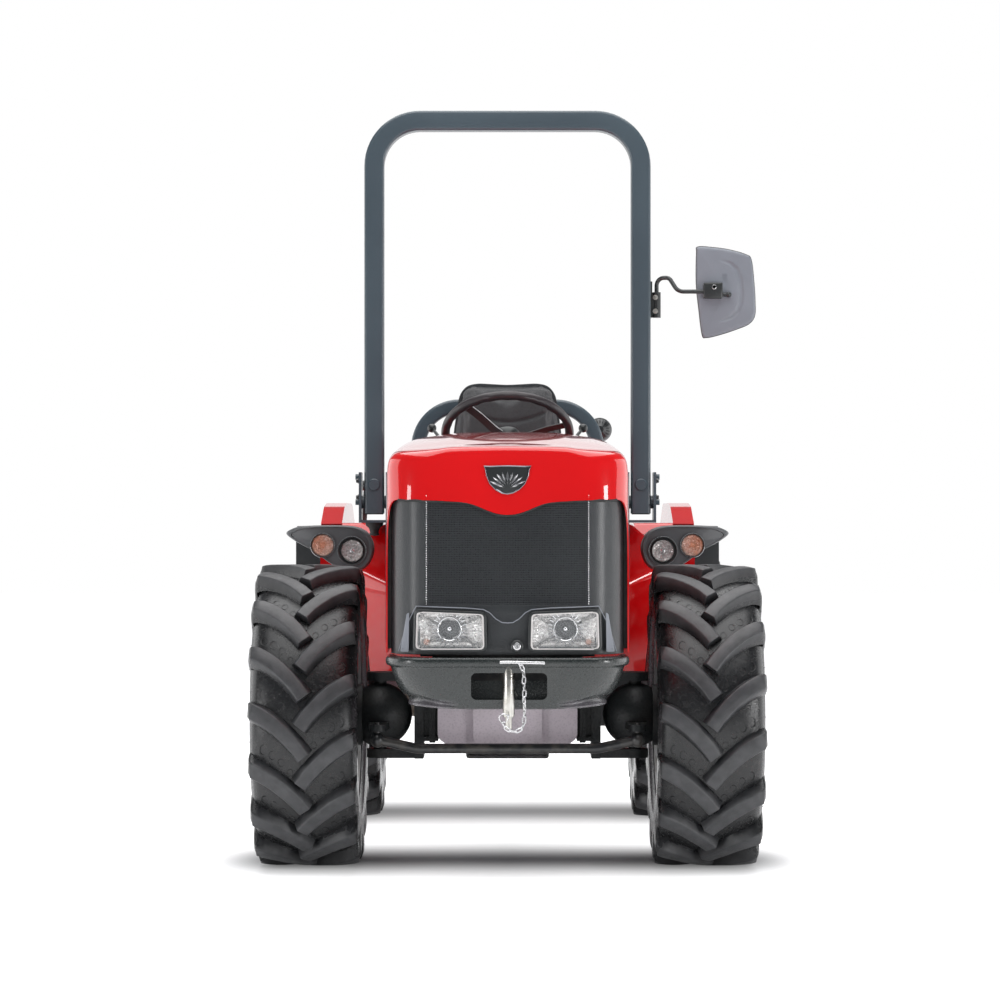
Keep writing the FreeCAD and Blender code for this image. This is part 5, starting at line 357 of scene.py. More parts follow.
def weight_iron(g):
    """Black iron, with the hollow under each side painted a paler mauve grey: a painted reflection of the
    floor.
    """
    look = cast(rgb(0.017, 0.022, 0.022), rgb(0.008, 0.011, 0.011), 260, 0.0011, 0.28, 0.06)(g)
    # painted reflection: the lower outer corners, under the scoops, are painted pale mauve grey
    hollow = g.between(g.size(g.axis("X")), 0.125, 0.170) * g.between(g.axis("Z"), 0.514, 0.500)
    look["Base Color"] = g.mix(look["Base Color"], rgb(0.125, 0.117, 0.130), hollow)
    return look


finish("weight_iron", "black_iron", weight_iron, Coat_Weight=0.6, Coat_Roughness=0.14)
finish("cast_grey", "grey_paint", cast(rgb(0.58, 0.51, 0.56), rgb(0.46, 0.40, 0.45), 320, 0.0005, 0.42),
       Coat_Weight=0.2, Coat_Roughness=0.3)
finish("axle_iron", "black_iron", cast(rgb(0.013, 0.015, 0.016), rgb(0.006, 0.007, 0.008), 240, 0.0008, 0.46,
                                       0.10), Specular_IOR_Level=0.35)
finish("engine_iron", "grey_paint", cast(rgb(0.085, 0.085, 0.088), rgb(0.05, 0.05, 0.052), 240, 0.0008, 0.5,
                                         0.3))
print("paints and castings:", len(finishes))

# %% [markdown]
# ## Rubber, plastic and vinyl
# Tyre rubber is black with a blue-grey bloom where the mould polished it. The tops of the
# bars are painted greyer: partly the ground's wear, partly a painted highlight where light
# falls on them. Moulded plastic has a grain that is etched into the mould, like fine leather;
# the cells of a Voronoi texture are that grain. The seat's vinyl has a larger, softer grain.


# %% Rubber
def rubber(tone, dark, fine, soft):
    def pattern(g):
        bloom = g.between(g.noise(6, 4), 0.35, 0.7)
        scuff = g.between(g.noise(70, 5, rough=0.65), 0.5, 0.72)
        return {
            "Base Color": g.mix(g.mix(dark, tone, bloom), rgb(0.085, 0.082, 0.078), scuff * 0.22),
            "Roughness": bloom * -0.10 + scuff * 0.12 + soft,
            "Normal": g.bump(g.noise(fine, 4, rough=0.7) + g.noise(fine * 0.12, 3) * 0.6, 0.0004),
        }

    return pattern


def tread_rubber(g):
    """Bar tops, marked 1 by a point attribute and 0 on the carcass, are painted greyer: partly wear, partly a
    painted highlight.
    """
    skin_look = rubber(rgb(0.015, 0.0155, 0.017), rgb(0.006, 0.0065, 0.0075), 900, 0.26)(g)
    worn = g.node("ShaderNodeAttribute", {"attribute_name": "worn"}, out="Fac")
    # wear and painted highlight: the greyer tone of the bars' tops
    scuffed_and_lit = g.mix(rgb(0.034, 0.035, 0.038), rgb(0.056, 0.057, 0.061), g.between(g.noise(34, 4), 0.35, 0.7))
    skin_look["Base Color"] = g.mix(skin_look["Base Color"], scuffed_and_lit, worn)
    skin_look["Roughness"] = worn * 0.20 + skin_look["Roughness"]
    return skin_look


finish("tyre_rubber", "tyre_rubber", tread_rubber, Specular_IOR_Level=0.6)
finish("boot_rubber", "black_plastic", rubber(rgb(0.022, 0.022, 0.022), rgb(0.013, 0.013, 0.013), 700, 0.6))
print("with rubber:", len(finishes))


# %% Moulded plastic
def moulded(colour, deep, cell, depth, gloss):
    def pattern(g):
        grain = g.between(g.cells(cell), 0.0, 0.7)
        cloud = g.noise(5, 3)
        return {
            "Base Color": g.mix(deep, colour, g.between(cloud, 0.3, 0.7)),
            "Roughness": grain * 0.10 + cloud * 0.08 + (gloss - 0.06),
            "Normal": g.bump(1.0 - grain, depth),
        }

    return pattern


# each plastic: slot, colour, darker colour, fineness and depth of its grain, roughness
PLASTICS = {
    "grained_black": ("black_plastic", (0.026, 0.029, 0.032), (0.019, 0.022, 0.025), 340, 0.00055, 0.34),
    "satin_black": ("black_plastic", (0.022, 0.025, 0.026), (0.016, 0.019, 0.020), 1400, 0.00008, 0.30),
    "pod_grey": ("pod_plastic", (0.088, 0.092, 0.098), (0.066, 0.070, 0.075), 900, 0.00016, 0.28),
    "mirror_grey": ("pod_plastic", (0.225, 0.240, 0.275), (0.175, 0.187, 0.216), 900, 0.00010, 0.34),
    "lamp_border": ("lamp_plastic", (0.66, 0.63, 0.62), (0.56, 0.53, 0.53), 1500, 0.00005, 0.24),
    "wheel_skin": ("black_plastic", (0.034, 0.028, 0.031), (0.025, 0.020, 0.023), 1500, 0.00008, 0.28),
    "mesh_black": ("black_plastic", (0.036, 0.040, 0.044), (0.027, 0.030, 0.034), 1600, 0.00005, 0.40),
}
SHEENS = {
    "grained_black": {"Coat_Weight": 0.3, "Coat_Roughness": 0.22},
    "satin_black": {"Coat_Weight": 0.25, "Coat_Roughness": 0.2},
}
for name, (slot, colour, deep, *grain) in PLASTICS.items():
    finish(name, slot, moulded(rgb(*colour), rgb(*deep), *grain), **SHEENS.get(name, {}))
print("plastics:", len(PLASTICS))


# %% Vinyl
def vinyl(g):
    creases = g.between(g.cells(300, feature="DISTANCE_TO_EDGE"), 0.0, 0.16)
    folds = g.noise(22, 4)
    return {
        "Base Color": g.mix(rgb(0.020, 0.020, 0.022), rgb(0.040, 0.040, 0.044), creases),
        "Roughness": 0.5 - creases * 0.10 + folds * 0.08,
        "Normal": g.bump(creases + folds * 1.5, 0.0005),
    }


finish("seat_vinyl", "vinyl", vinyl, Sheen_Weight=0.15, Sheen_Roughness=0.4)
print("soft finishes done:", len(finishes))

# %% [markdown]
# ## Metal, glass and lenses
# Zinc plating is a metal with a cloudy, faintly yellow skin. A lamp's reflector is vacuum
# silvered. The lenses are thin shells, so they are see-through films that let the silver
# behind them do the work.


# %% Bare and plated metal
def plated(colour, deep, gloss, scratch):
    def pattern(g):
        cloud = g.noise(38, 4)
        brushed = g.noise(160, 3, at=g.place((1, 1, 9)))
        return {
            "Base Color": g.mix(deep, colour, g.between(cloud, 0.3, 0.7)),
            "Roughness": cloud * 0.14 + brushed * scratch + gloss,
            "Normal": g.bump(brushed, 0.00006),
        }

    return pattern


def facets(g):
    cell = g.cells(150)
    tone = g.cells(150, out="Color")
    return {
        "Base Color": g.mix(rgb(0.42, 0.39, 0.38), rgb(1.0, 0.99, 0.97), tone),
        "Roughness": g.noise(200, 2) * 0.10 + 0.02,
        "Normal": g.bump(cell, 0.0030),
    }


# each metal: slot, colour, darker colour, roughness, brushing
METALS = {
    "zinc": ("zinc", (0.74, 0.73, 0.69), (0.52, 0.50, 0.45), 0.16, 0.12),
    "bright_steel": ("zinc", (0.86, 0.86, 0.87), (0.70, 0.70, 0.71), 0.14, 0.12),
    "dark_chrome": ("zinc", (0.34, 0.34, 0.37), (0.24, 0.24, 0.27), 0.03, 0.05),
    "chrome": ("lamp_plastic", (0.92, 0.92, 0.93), (0.80, 0.80, 0.82), 0.0, 0.04),
    "warm_steel": ("hot_steel", (0.36, 0.33, 0.30), (0.19, 0.15, 0.12), 0.34, 0.12),
    "mirror_glass": ("lamp_glass", (0.86, 0.88, 0.89), (0.84, 0.86, 0.87), 0.0, 0.01),
}
for name, (slot, colour, deep, *gloss) in METALS.items():
    finish(name, slot, plated(rgb(*colour), rgb(*deep), *gloss), Metallic=1.0)
finish("lamp_silver", "lamp_plastic", facets, Metallic=0.45)
print("metals:", len(METALS))


# %% Lenses
def lens(colour, tone, clear, ribs):
    def pattern(g):
        wave = g.node("ShaderNodeTexWave", {}, {"Vector": g.place(), "Scale": 55.0, "Distortion": 0.4})
        cloud = g.noise(60, 2)
        return {
            "Base Color": g.mix(tone, colour, cloud),
            "Alpha": cloud * 0.06 + clear,
            "Roughness": cloud * 0.03 + 0.02,
            "Normal": g.bump(wave, ribs + 0.00001),
        }

    return pattern


finish("clear_lens", "lamp_glass", lens(rgb(0.86, 0.9, 0.92), rgb(0.78, 0.83, 0.86), 0.05, 0.0002))
finish("amber_lens", "lamp_plastic", lens(rgb(0.86, 0.34, 0.16), rgb(0.70, 0.22, 0.11), 0.30, 0.0004))
finish("red_lens", "red_lens", lens(rgb(0.55, 0.01, 0.012), rgb(0.40, 0.006, 0.01), 0.93, 0.0004))
print("finishes:", len(finishes))

# %% [markdown]
# ## Making a piece
# Nearly every piece is a skin stretched over rows of points: a lathe turns the same row round
# an axis, a sweep carries it along a path. `make` turns such a skin into an object, `baked`
# applies its modifiers, and `keep` hands it to a body, so that it moves with the joint.


# %% Skins
def skin(rows, wrap=False, loop=False, caps=False):
    """Vertices and faces over rows of points. wrap closes each row, loop joins the last row to the first."""
    width = len(rows[0])
    verts = [tuple(p) for row in rows for p in row]
    faces = []
    for i in range(len(rows) if loop else len(rows) - 1):
        a, b = i * width, (i + 1) % len(rows) * width
        for j in range(width if wrap else width - 1):
            k = (j + 1) % width
            faces.append((a + j, a + k, b + k, b + j))
    if caps:
        faces.append(tuple(reversed(range(width))))
        faces.append(tuple(range((len(rows) - 1) * width, len(rows) * width)))
    return verts, faces


def solid(rows):
    """A closed skin: each row is a loop, and both ends are capped."""
    return skin(rows, wrap=True, caps=True)


def both_sides(half):
    """A whole outline from its half, whose first and last points lie on the middle line."""
    return half + [(-x, z) for x, z in reversed(half[1:-1])]


def joined(*parts):
    verts, faces = [], []
    for some_verts, some_faces in parts:
        base = len(verts)
        verts += some_verts
        faces += [tuple(base + i for i in face) for face in some_faces]
    return verts, faces


def moved(part, by=(0, 0, 0), turn=(0, 0, 0), scale=(1, 1, 1)):
    matrix = Matrix.LocRotScale(Vector(by), Euler(turn), Vector(scale))
    return [tuple(matrix @ Vector(v)) for v in part[0]], part[1]


# %% Turning and sweeping
def lathe(profile, steps=48, axis="X"):
    """A profile of (along, radius) points turned round an axis through the origin."""
    rows = []
    for i in range(steps):
        a = 2 * math.pi * i / steps
        c, s = math.cos(a), math.sin(a)
        rows.append([])
        for x, r in profile:
            u, v = max(r, 0.0) * c, max(r, 0.0) * s
            rows[-1].append({"X": (x, u, v), "Y": (v, x, u), "Z": (u, v, x)}[axis])
    return skin(rows, loop=True)


def sweep(path, section, up=(0, 0, 1), closed=False):
    """A section of (side, over) points carried along a path."""
    rows, points = [], [Vector(p) for p in path]
    side = None
    for i, p in enumerate(points):
        before = points[i - 1] if i or closed else p
        after = points[(i + 1) % len(points)] if i + 1 < len(points) or closed else p
        along = (after - before).normalized()
        side = along.cross(Vector(up)) if side is None else side - along * side.dot(along)
        if side.length < 1e-6:
            side = along.cross(Vector((1, 0, 0)))
        side.normalize()
        over = side.cross(along)
        rows.append([p + side * u + over * v for u, v in section])
    return skin(rows, wrap=True, loop=closed, caps=not closed)


# %% Outlines and paths
def ring(radius, steps=12):
    return [(radius * math.cos(2 * math.pi * i / steps), radius * math.sin(2 * math.pi * i / steps))
            for i in range(steps)]


def arc(cx, cy, radius, start, turn, steps):
    """Points on an arc, from a start in degrees on through a turn in degrees."""
    angles = [math.radians(start + turn * i / steps) for i in range(steps + 1)]
    return [(cx + radius * math.cos(a), cy + radius * math.sin(a)) for a in angles]


def rounded(width, height, radius, steps=5):
    """The outline of a rectangle with round corners."""
    points = []
    for cx, cy, start in ((1, 1, 0), (-1, 1, 90), (-1, -1, 180), (1, -1, 270)):
        points += arc(cx * (width / 2 - radius), cy * (height / 2 - radius), radius, start, 90, steps)
    return points


def bent(corners, radius, steps=8):
    """A path through corners, each rounded to the radius."""
    corners = [Vector(c) for c in corners]
    path = [corners[0]]
    for a, b, c in zip(corners, corners[1:], corners[2:]):
        first, second = (a - b).normalized(), (c - b).normalized()
        half = first.angle(second) / 2
        back = min(radius / math.tan(half), (a - b).length * 0.49, (c - b).length * 0.49)
        start, end = b + first * back, b + second * back
        for i in range(steps + 1):
            t = i / steps
            path.append(start.lerp(b, t).lerp(b.lerp(end, t), t))
    return path + [corners[-1]]


def block(corner, opposite):
    (x0, x1), (y0, y1), (z0, z1) = (sorted(pair) for pair in zip(corner, opposite))
    rows = [[(x0, y0, z), (x1, y0, z), (x1, y1, z), (x0, y1, z)] for z in (z0, z1)]
    return skin(rows, wrap=True, caps=True)


# %% Objects
def make(name, part, look=None, smooth=40):
    mesh = bpy.data.meshes.new(name)
    mesh.from_pydata(part[0], [], part[1])
    shape = bmesh.new()
    shape.from_mesh(mesh)
    bmesh.ops.remove_doubles(shape, verts=shape.verts, dist=1e-6)
    bmesh.ops.dissolve_degenerate(shape, dist=1e-7, edges=shape.edges)
    bmesh.ops.recalc_face_normals(shape, faces=shape.faces)
    shape.to_mesh(mesh)
    shape.free()
    piece = bpy.data.objects.new(name, mesh)
    bpy.context.scene.collection.objects.link(piece)
    if look:
        mesh.materials.append(finishes[look])
        piece["look"] = look
    soften(piece, smooth)
    return piece


def soften(piece, angle):
    piece.data.polygons.foreach_set("use_smooth", [bool(angle)] * len(piece.data.polygons))
    if angle:
        piece.data.set_sharp_from_angle(angle=math.radians(angle))
    piece.data.update()


def baked(piece, *steps, smooth=None):
    """Adds modifiers as (kind, settings), applies them and drops them."""
    for kind, settings in steps:
        modifier = piece.modifiers.new(kind.lower(), kind)
        for name, value in settings.items():
            setattr(modifier, name, value)
    graph = bpy.context.evaluated_depsgraph_get()
    mesh = bpy.data.meshes.new_from_object(piece.evaluated_get(graph))
    piece.modifiers.clear()
    old, piece.data = piece.data, mesh
    bpy.data.meshes.remove(old)
    mesh.name = piece.name
    if smooth is not None:
        soften(piece, smooth)
    return piece


# %% Edges and smooth skins
def bevel(width, segments, angle):
    return "BEVEL", {"width": width, "segments": segments, "limit_method": "ANGLE", "angle_limit": angle}


def subdivision(levels, **how):
    return "SUBSURF", {"levels": levels, "render_levels": levels, **how}


def edged(piece, width, segments=2, angle=35):
    """Rounds the edges, as every cast, folded or moulded edge is."""
    return baked(piece, bevel(width, segments, math.radians(angle)), smooth=40)


# %% Turned, wired and cut pieces
def cut(piece, part, *then):
    """Takes a shape away from a piece, then applies any further modifiers."""
    tool = make("tool", part)
    baked(piece, ("BOOLEAN", {"operation": "DIFFERENCE", "object": tool, "solver": "EXACT"}), *then,
          smooth=40)
    bpy.data.objects.remove(tool)


def turned(name, profile, place, look, steps=32, axis="Y", smooth=40):
    """A lathe turned part, set at its place."""
    return make(name, moved(lathe(profile, steps, axis), place), look, smooth)


def wire(name, path, radius, look, steps=12, **how):
    """A round wire or tube along a path."""
    return make(name, sweep(path, ring(radius, steps), **how), look)


# %% Hand-over
def keep(piece, body, *stands_for):
    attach(piece, body)
    if stands_for:
        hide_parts(*stands_for)
    return piece


def dress(look, *nodes):
    """A CAD part whose shape is right only gets its finish."""
    for node in nodes:
        mesh = frame["nodes"][node].data
        mesh.materials.clear()
        mesh.materials.append(finishes[look])
        mesh.polygons.foreach_set("material_index", [0] * len(mesh.polygons))


# %% [markdown]
# ## Repeating a shape
# Bolts, rivets, wires and lugs repeat. Two Geometry Nodes trees place them. `at_points` puts
# a shape on every point of a little cloud, turned as the point's own attribute says.
# `in_a_row` needs no points: it makes a line of them from a count and a step, and turns each
# copy a little further than the one before, which also gives rings and splines.


# %% Two trees
def new_tree(name, inputs):
    tree = bpy.data.node_groups.new(name, "GeometryNodeTree")
    tree.interface.new_socket("Geometry", in_out="INPUT", socket_type="NodeSocketGeometry")
    for label, kind in inputs:
        tree.interface.new_socket(label, in_out="INPUT", socket_type="NodeSocket" + kind)
    tree.interface.new_socket("Geometry", in_out="OUTPUT", socket_type="NodeSocketGeometry")
    graph = Graph(tree)
    entry = tree.nodes.new("NodeGroupInput")
    leave = tree.nodes.new("NodeGroupOutput")
    return graph, {s.name: Value(graph, s) for s in entry.outputs if s.name}, leave


def end_tree(graph, copies, look, leave):
    real = graph.node("GeometryNodeRealizeInstances", {}, {"Geometry": copies})
    painted = graph.node("GeometryNodeSetMaterial", {}, {"Geometry": real, "Material": look})
    graph.tree.links.new(painted.socket, leave.inputs[0])


def points_tree():
    graph, given, leave = new_tree("at_points",
                                   [("Shape", "Object"), ("Look", "Material"), ("Size", "Float")])
    shape = graph.node("GeometryNodeObjectInfo", {}, {"Object": given["Shape"]}, out="Geometry")
    turn = graph.node("GeometryNodeInputNamedAttribute", {"data_type": "FLOAT_VECTOR"}, {"Name": "turn"},
                      out="Attribute")
    values = {"Points": given["Geometry"], "Instance": shape, "Rotation": turn, "Scale": given["Size"]}
    end_tree(graph, graph.node("GeometryNodeInstanceOnPoints", {}, values), given["Look"], leave)
    return graph.tree


def row_tree():
    inputs = [("Shape", "Object"), ("Look", "Material"), ("Count", "Int"), ("Start", "Vector"),
              ("Step", "Vector"), ("Turn", "Vector")]
    graph, given, leave = new_tree("in_a_row", inputs)
    shape = graph.node("GeometryNodeObjectInfo", {}, {"Object": given["Shape"]}, out="Geometry")
    line = graph.node("GeometryNodeMeshLine", {},
                      {"Count": given["Count"], "Start Location": given["Start"], "Offset": given["Step"]})
    index = graph.node("GeometryNodeInputIndex", out="Index")
    turn = graph.node("ShaderNodeVectorMath", {"operation": "SCALE"},
                      {"Vector": given["Turn"], "Scale": index})
    values = {"Points": line, "Instance": shape, "Rotation": turn}
    end_tree(graph, graph.node("GeometryNodeInstanceOnPoints", {}, values), given["Look"], leave)
    return graph.tree


trees = {"at_points": points_tree(), "in_a_row": row_tree()}
print("trees:", ", ".join(trees))


# %% Growing and merging
def grown(piece, tree, look, **inputs):
    """Puts a tree on a piece, sets its named inputs, and keeps the result as a plain mesh."""
    modifier = piece.modifiers.new(tree, "NODES")
    modifier.node_group = trees[tree]
    sockets = {s.name: s.identifier for s in trees[tree].interface.items_tree if s.in_out == "INPUT"}
    for name, value in {"Look": finishes[look], **inputs}.items():
        modifier[sockets[name]] = value
    piece["look"] = look
    return baked(piece)


def repeat(name, part, places, look):
    """Copies of a part at places, each a (location, turn) pair."""
    shape = make(name + "_one", part, look, 30)
    cloud = bpy.data.meshes.new(name)
    cloud.from_pydata([tuple(place) for place, _ in places], [], [])
    turns = cloud.attributes.new("turn", "FLOAT_VECTOR", "POINT")
    turns.data.foreach_set("vector", [c for _, turn in places for c in turn])
    piece = bpy.data.objects.new(name, cloud)
    bpy.context.scene.collection.objects.link(piece)
    grown(piece, "at_points", look, Shape=shape, Size=1.0)
    bpy.data.objects.remove(shape)
    return piece


def row(name, part, count, look, start=(0, 0, 0), step=(0, 0, 0), turn=(0, 0, 0), smooth=30):
    """Copies of a part on a line, each turned one step further."""
    shape = make(name + "_one", part, look, smooth)
    piece = make(name, ([(0, 0, 0)], []))
    inputs = {"Count": count, "Start": start, "Step": step, "Turn": turn}
    grown(piece, "in_a_row", look, Shape=shape, **inputs)
    bpy.data.objects.remove(shape)
    return piece


def merged(name, *pieces):
    """Several finished pieces as one object with their own materials."""
    shape, looks = bmesh.new(), []
    for piece in pieces:
        first = len(shape.faces)
        shape.from_mesh(piece.data)
        shape.faces.ensure_lookup_table()
        for face in shape.faces[first:]:
            own = piece.data.materials[face.material_index]
            if own not in looks:
                looks.append(own)
            face.material_index = looks.index(own)
    mesh = bpy.data.meshes.new(name)
    for look in looks:
        mesh.materials.append(look)
    shape.to_mesh(mesh)
    shape.free()
    whole = bpy.data.objects.new(name, mesh)
    bpy.context.scene.collection.objects.link(whole)
    whole["look"] = pieces[0]["look"]
    for piece in pieces:
        bpy.data.objects.remove(piece)
    return whole


# %% Bolts
FACING = {"+X": (0, math.pi / 2, 0), "-X": (0, -math.pi / 2, 0), "+Y": (-math.pi / 2, 0, 0),
          "-Y": (math.pi / 2, 0, 0), "+Z": (0, 0, 0), "-Z": (math.pi, 0, 0)}


def hex_bolt(radius, height):
    """A hexagon head with its chamfer, on a washer, pointing up its own Z axis."""
    head = lathe([(0, 0), (0, radius), (height * 0.8, radius), (height, radius * 0.86), (height, 0)], 6, "Z")
    washer = lathe([(-0.0005, 0), (-0.0005, radius * 1.45), (height * 0.16, radius * 1.45),
                    (height * 0.16, 0)], 20, "Z")
    tip = lathe([(height * 0.9, 0), (height * 0.9, radius * 0.55), (height * 1.04, radius * 0.5),
                 (height * 1.04, 0)], 12, "Z")
    return joined(head, washer, tip)


def bolts(name, spots, body, look="zinc", radius=0.009, height=0.009):
    """Hexagon bolts at (place, facing) spots."""
    places = [(place, FACING[facing]) for place, facing in spots]
    return keep(repeat(name, hex_bolt(radius, height), places, look), body)


print("bolts can face", ", ".join(FACING))

# %% [markdown]
# ## Tyres
# A farm tyre is a smooth carcass with bars of solid rubber on it. Each bar starts on the
# centre line, where it is steep, sweeps back in a curve and runs down over the shoulder. The
# two sides are staggered by half a pitch, so that one bar is always biting. One bar is lofted
# along its curve, with the mould's little rings and vent whiskers beside it, and a ring of
# sixteen is grown from it for each side.

# %% Tyre sizes, read from the CAD
tyre_low, tyre_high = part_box("front_left_tyre")
HALF = (tyre_high.x - tyre_low.x) / 2
OUTER = (tyre_high.z - tyre_low.z) / 2
RIM_OUTER = (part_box("front_left_rim")[1].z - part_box("front_left_rim")[0].z) / 2
BARS = 16
PITCH_ANGLE = 2 * math.pi / BARS
BAR_SWEEP = 0.122  # how far a bar's outer end trails its root along the tyre
BAR_FOOT = 0.0120  # how far a bar's flank slopes out to its foot
WEAR_AND_LIGHT_DEPTH, WEAR_AND_LIGHT_FADE = 0.016, 0.010  # the tread above this depth is painted greyer: wear and a painted highlight
print(f"tyre {2 * OUTER:.3f} across, {2 * HALF:.3f} wide, {BARS} bars a side")

# %% The carcass
# each point: its share of the half width, and its depth under the outer radius
tread_and_wall = [(0.0, 0.029), (0.35, 0.030), (0.62, 0.034), (0.80, 0.041), (0.90, 0.052), (0.955, 0.070),
                  (0.975, 0.085), (0.985, 0.088), (0.982, 0.092), (0.99, 0.110), (0.985, 0.128),
                  (0.965, 0.140), (0.968, 0.144), (0.955, 0.146), (0.925, 0.160)]
bead = [(0.90, 0.010), (0.90, 0.002), (0.86, -0.004), (0.80, -0.010), (0.0, -0.014)]  # heights over the rim
half_profile = [(x, OUTER - depth) for x, depth in tread_and_wall]
half_profile += [(x, RIM_OUTER + up) for x, up in bead]
carcass_profile = both_sides([(x * HALF, r) for x, r in half_profile])
carcass = lathe(carcass_profile + carcass_profile[:1], 160)
print("carcass points:", len(carcass[0]))


# %% One bar
def bar(side):
    """A bar of the tread lying over the front of the tyre; side is +1 or -1 across."""
    # each station: the root's share of the half width and its depth, then the same of the top
    stations = [(-0.05, 0.030, -0.035, 0.0005), (0.10, 0.030, 0.10, 0.0), (0.25, 0.0305, 0.25, 0.0),
                (0.40, 0.031, 0.40, 0.0002), (0.55, 0.033, 0.55, 0.0006), (0.68, 0.036, 0.69, 0.0012),
                (0.80, 0.042, 0.81, 0.0025), (0.88, 0.050, 0.895, 0.0055), (0.93, 0.062, 0.95, 0.0130),
                (0.96, 0.078, 0.985, 0.0270), (0.965, 0.096, 0.996, 0.0500), (0.965, 0.112, 0.996, 0.0800),
                (0.965, 0.125, 0.992, 0.1050)]
    rows = []
    for root, deep, top, low in stations:
        way = BAR_SWEEP * (1.6 * root - 0.6 * root * root)
        u = min(max(root, 0), 0.95)
        slope = BAR_SWEEP * (1.6 - 1.2 * u) / HALF
        across, along = -slope / math.hypot(1, slope), 1 / math.hypot(1, slope)
        if u > 0.90:
            across, along = across * 0.15, 1.0
        wide = 0.0168 + 0.0034 * u
        points = []
        for offset, level in ((-wide - BAR_FOOT, 0), (-wide - 0.0022, 0.86), (-wide + 0.0012, 1),
                              (wide - 0.0012, 1), (wide + 0.0022, 0.86), (wide + BAR_FOOT, 0)):
            x = (root * HALF if level == 0 else (root * (1 - level) + top * level) * HALF) + across * offset
            depth = deep + 0.003 if level == 0 else low + (deep - low) * (1 - level) * 0.8
            angle, radius = (way + along * offset) / (OUTER - 0.01), OUTER - depth
            points.append((side * x, -radius * math.cos(angle), radius * math.sin(angle)))
        rows.append(points)
    return skin(rows, caps=True)


def on_line(line, x):
    """The height of a line of (x, height) points at a place."""
    return next(z + (z2 - z) * (x - a) / (b - a) for (a, z), (b, z2) in zip(line, line[1:]) if x <= b)


def on_tread(side, share, way):
    """A place on the carcass, with the turn that faces it outwards."""
    radius = on_line(half_profile, share)
    angle = way / radius
    place = (side * share * HALF, -radius * math.cos(angle), radius * math.sin(angle))
    return place, (math.pi / 2 - angle, 0, 0)


def mould_marks(side):
    """Raised rings between two bars, and the vent whiskers on a bar's shoulder."""
    parts = []
    for share, way, size in ((0.22, 0.000, 0.0075), (0.38, 0.028, 0.0085), (0.54, 0.048, 0.0095),
                             (0.71, 0.062, 0.0105)):
        (x, y, z), turn = on_tread(side, share, way - 0.058)
        circle = [(x, y * 1.25, 0) for x, y in ring(size, 16)]
        hoop = sweep(circle, ring(0.0009, 5), closed=True)
        parts.append(moved(hoop, (x, y, z), (turn[0] - math.pi, 0, 0)))
    for way in (0.075, 0.150):
        (x, y, z), _ = on_tread(side, 0.965, way)
        hair = sweep([(side * HALF * 0.955, y, z), (side * HALF * 0.999, y * 1.006, z + 0.004)],
                     ring(0.0006, 4))
        parts.append(hair)
    (x, y, z), turn = on_tread(side, 0.05, -0.030)
    rib = moved(block((-0.002, -0.012, -0.003), (0.002, 0.012, 0.009)), (x, y, z), (turn[0] - math.pi, 0, 0))
    return joined(*parts, rib)


# %% Grow the rings of bars and fit the four tyres
def tyre(name, centre, body):
    pieces = [make(name + "_carcass", carcass, "tyre_rubber", 30)]
    for side, start in ((1, 0.0), (-1, PITCH_ANGLE / 2)):
        one = moved(edge_softened_bar(side), turn=(-start, 0, 0))
        flank_name = f"{name}_bars_{'left' if side > 0 else 'right'}"
        pieces.append(row(flank_name, one, BARS, "tyre_rubber", turn=(-PITCH_ANGLE, 0, 0), smooth=32))
    whole = merged(name, *pieces)
    # mark the bars' tops for their greyer tone: partly wear, partly a painted highlight
    worn = whole.data.attributes.new("worn", "FLOAT", "POINT")
    for vertex, height in zip(whole.data.vertices, worn.data):
        above = math.hypot(vertex.co.y, vertex.co.z) - OUTER + WEAR_AND_LIGHT_DEPTH
        height.value = min(max(above / WEAR_AND_LIGHT_FADE, 0.0), 1.0)
    whole.data.transform(Matrix.Translation(centre))
    return keep(whole, body, body.replace("_wheel", "_tyre"))


def edge_softened_bar(side):
    shape = make("bar", bar(side))
    edged(shape, 0.0016, 1, 30)
    part = ([tuple(v.co) for v in shape.data.vertices], [tuple(p.vertices) for p in shape.data.polygons])
    bpy.data.objects.remove(shape)
    return joined(part, mould_marks(side))


wheels = ["front_left", "front_right", "rear_left", "rear_right"]
for wheel in wheels:
    low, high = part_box(wheel + "_tyre")
    made = tyre(wheel + "_lugged_tyre", (low + high) / 2, wheel + "_wheel")
print("triangles in a tyre:", sum(len(p.vertices) - 2 for p in made.data.polygons))

# %% [markdown]
# ## Wheel discs
# The disc is bolted to the hub with a ring of nuts. The CAD disc already has its dish, so it
# only gets silver paint. The ring is one nut turned eight times, which keeps it even.

# %% Wheel nuts
NUTS, NUT_CIRCLE, HUB_OUT = 8, 0.0825, 0.040
dress("rim_silver", *[wheel + "_rim" for wheel in wheels])
for wheel in wheels:
    low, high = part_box(wheel + "_rim")
    middle, out = (low + high) / 2, 1 if "left" in wheel else -1
    nut = moved(hex_bolt(0.013, 0.016), (0, 0.0, NUT_CIRCLE), FACING["+X"])
    hub_x = middle.x + out * HUB_OUT
    nuts = row(wheel + "_nuts", nut, NUTS, "zinc", turn=(2 * math.pi / NUTS, 0, 0))
    nuts.data.transform(Matrix.Diagonal((out, 1, 1, 1)))
    if out < 0:
        nuts.data.flip_normals()
    nuts.data.transform(Matrix.Translation((hub_x, middle.y, middle.z)))
    keep(nuts, wheel + "_wheel")
print("wheels dressed, with", NUTS, "nuts each")

# %% [markdown]
# ## The bonnet
# The bonnet is one deep-drawn panel: a flat crown that falls towards the front, with a faint
# step near each shoulder, round shoulders, a nearly upright nose whose lip dips to a point
# over the grille, and two narrow cheeks that run down beside the grille. A box's corner where
# three rounded edges meet is what subdivision surfaces are good at, so a coarse cage of rows
# is laid out and smoothed, and the sheet gets its thickness at the end.

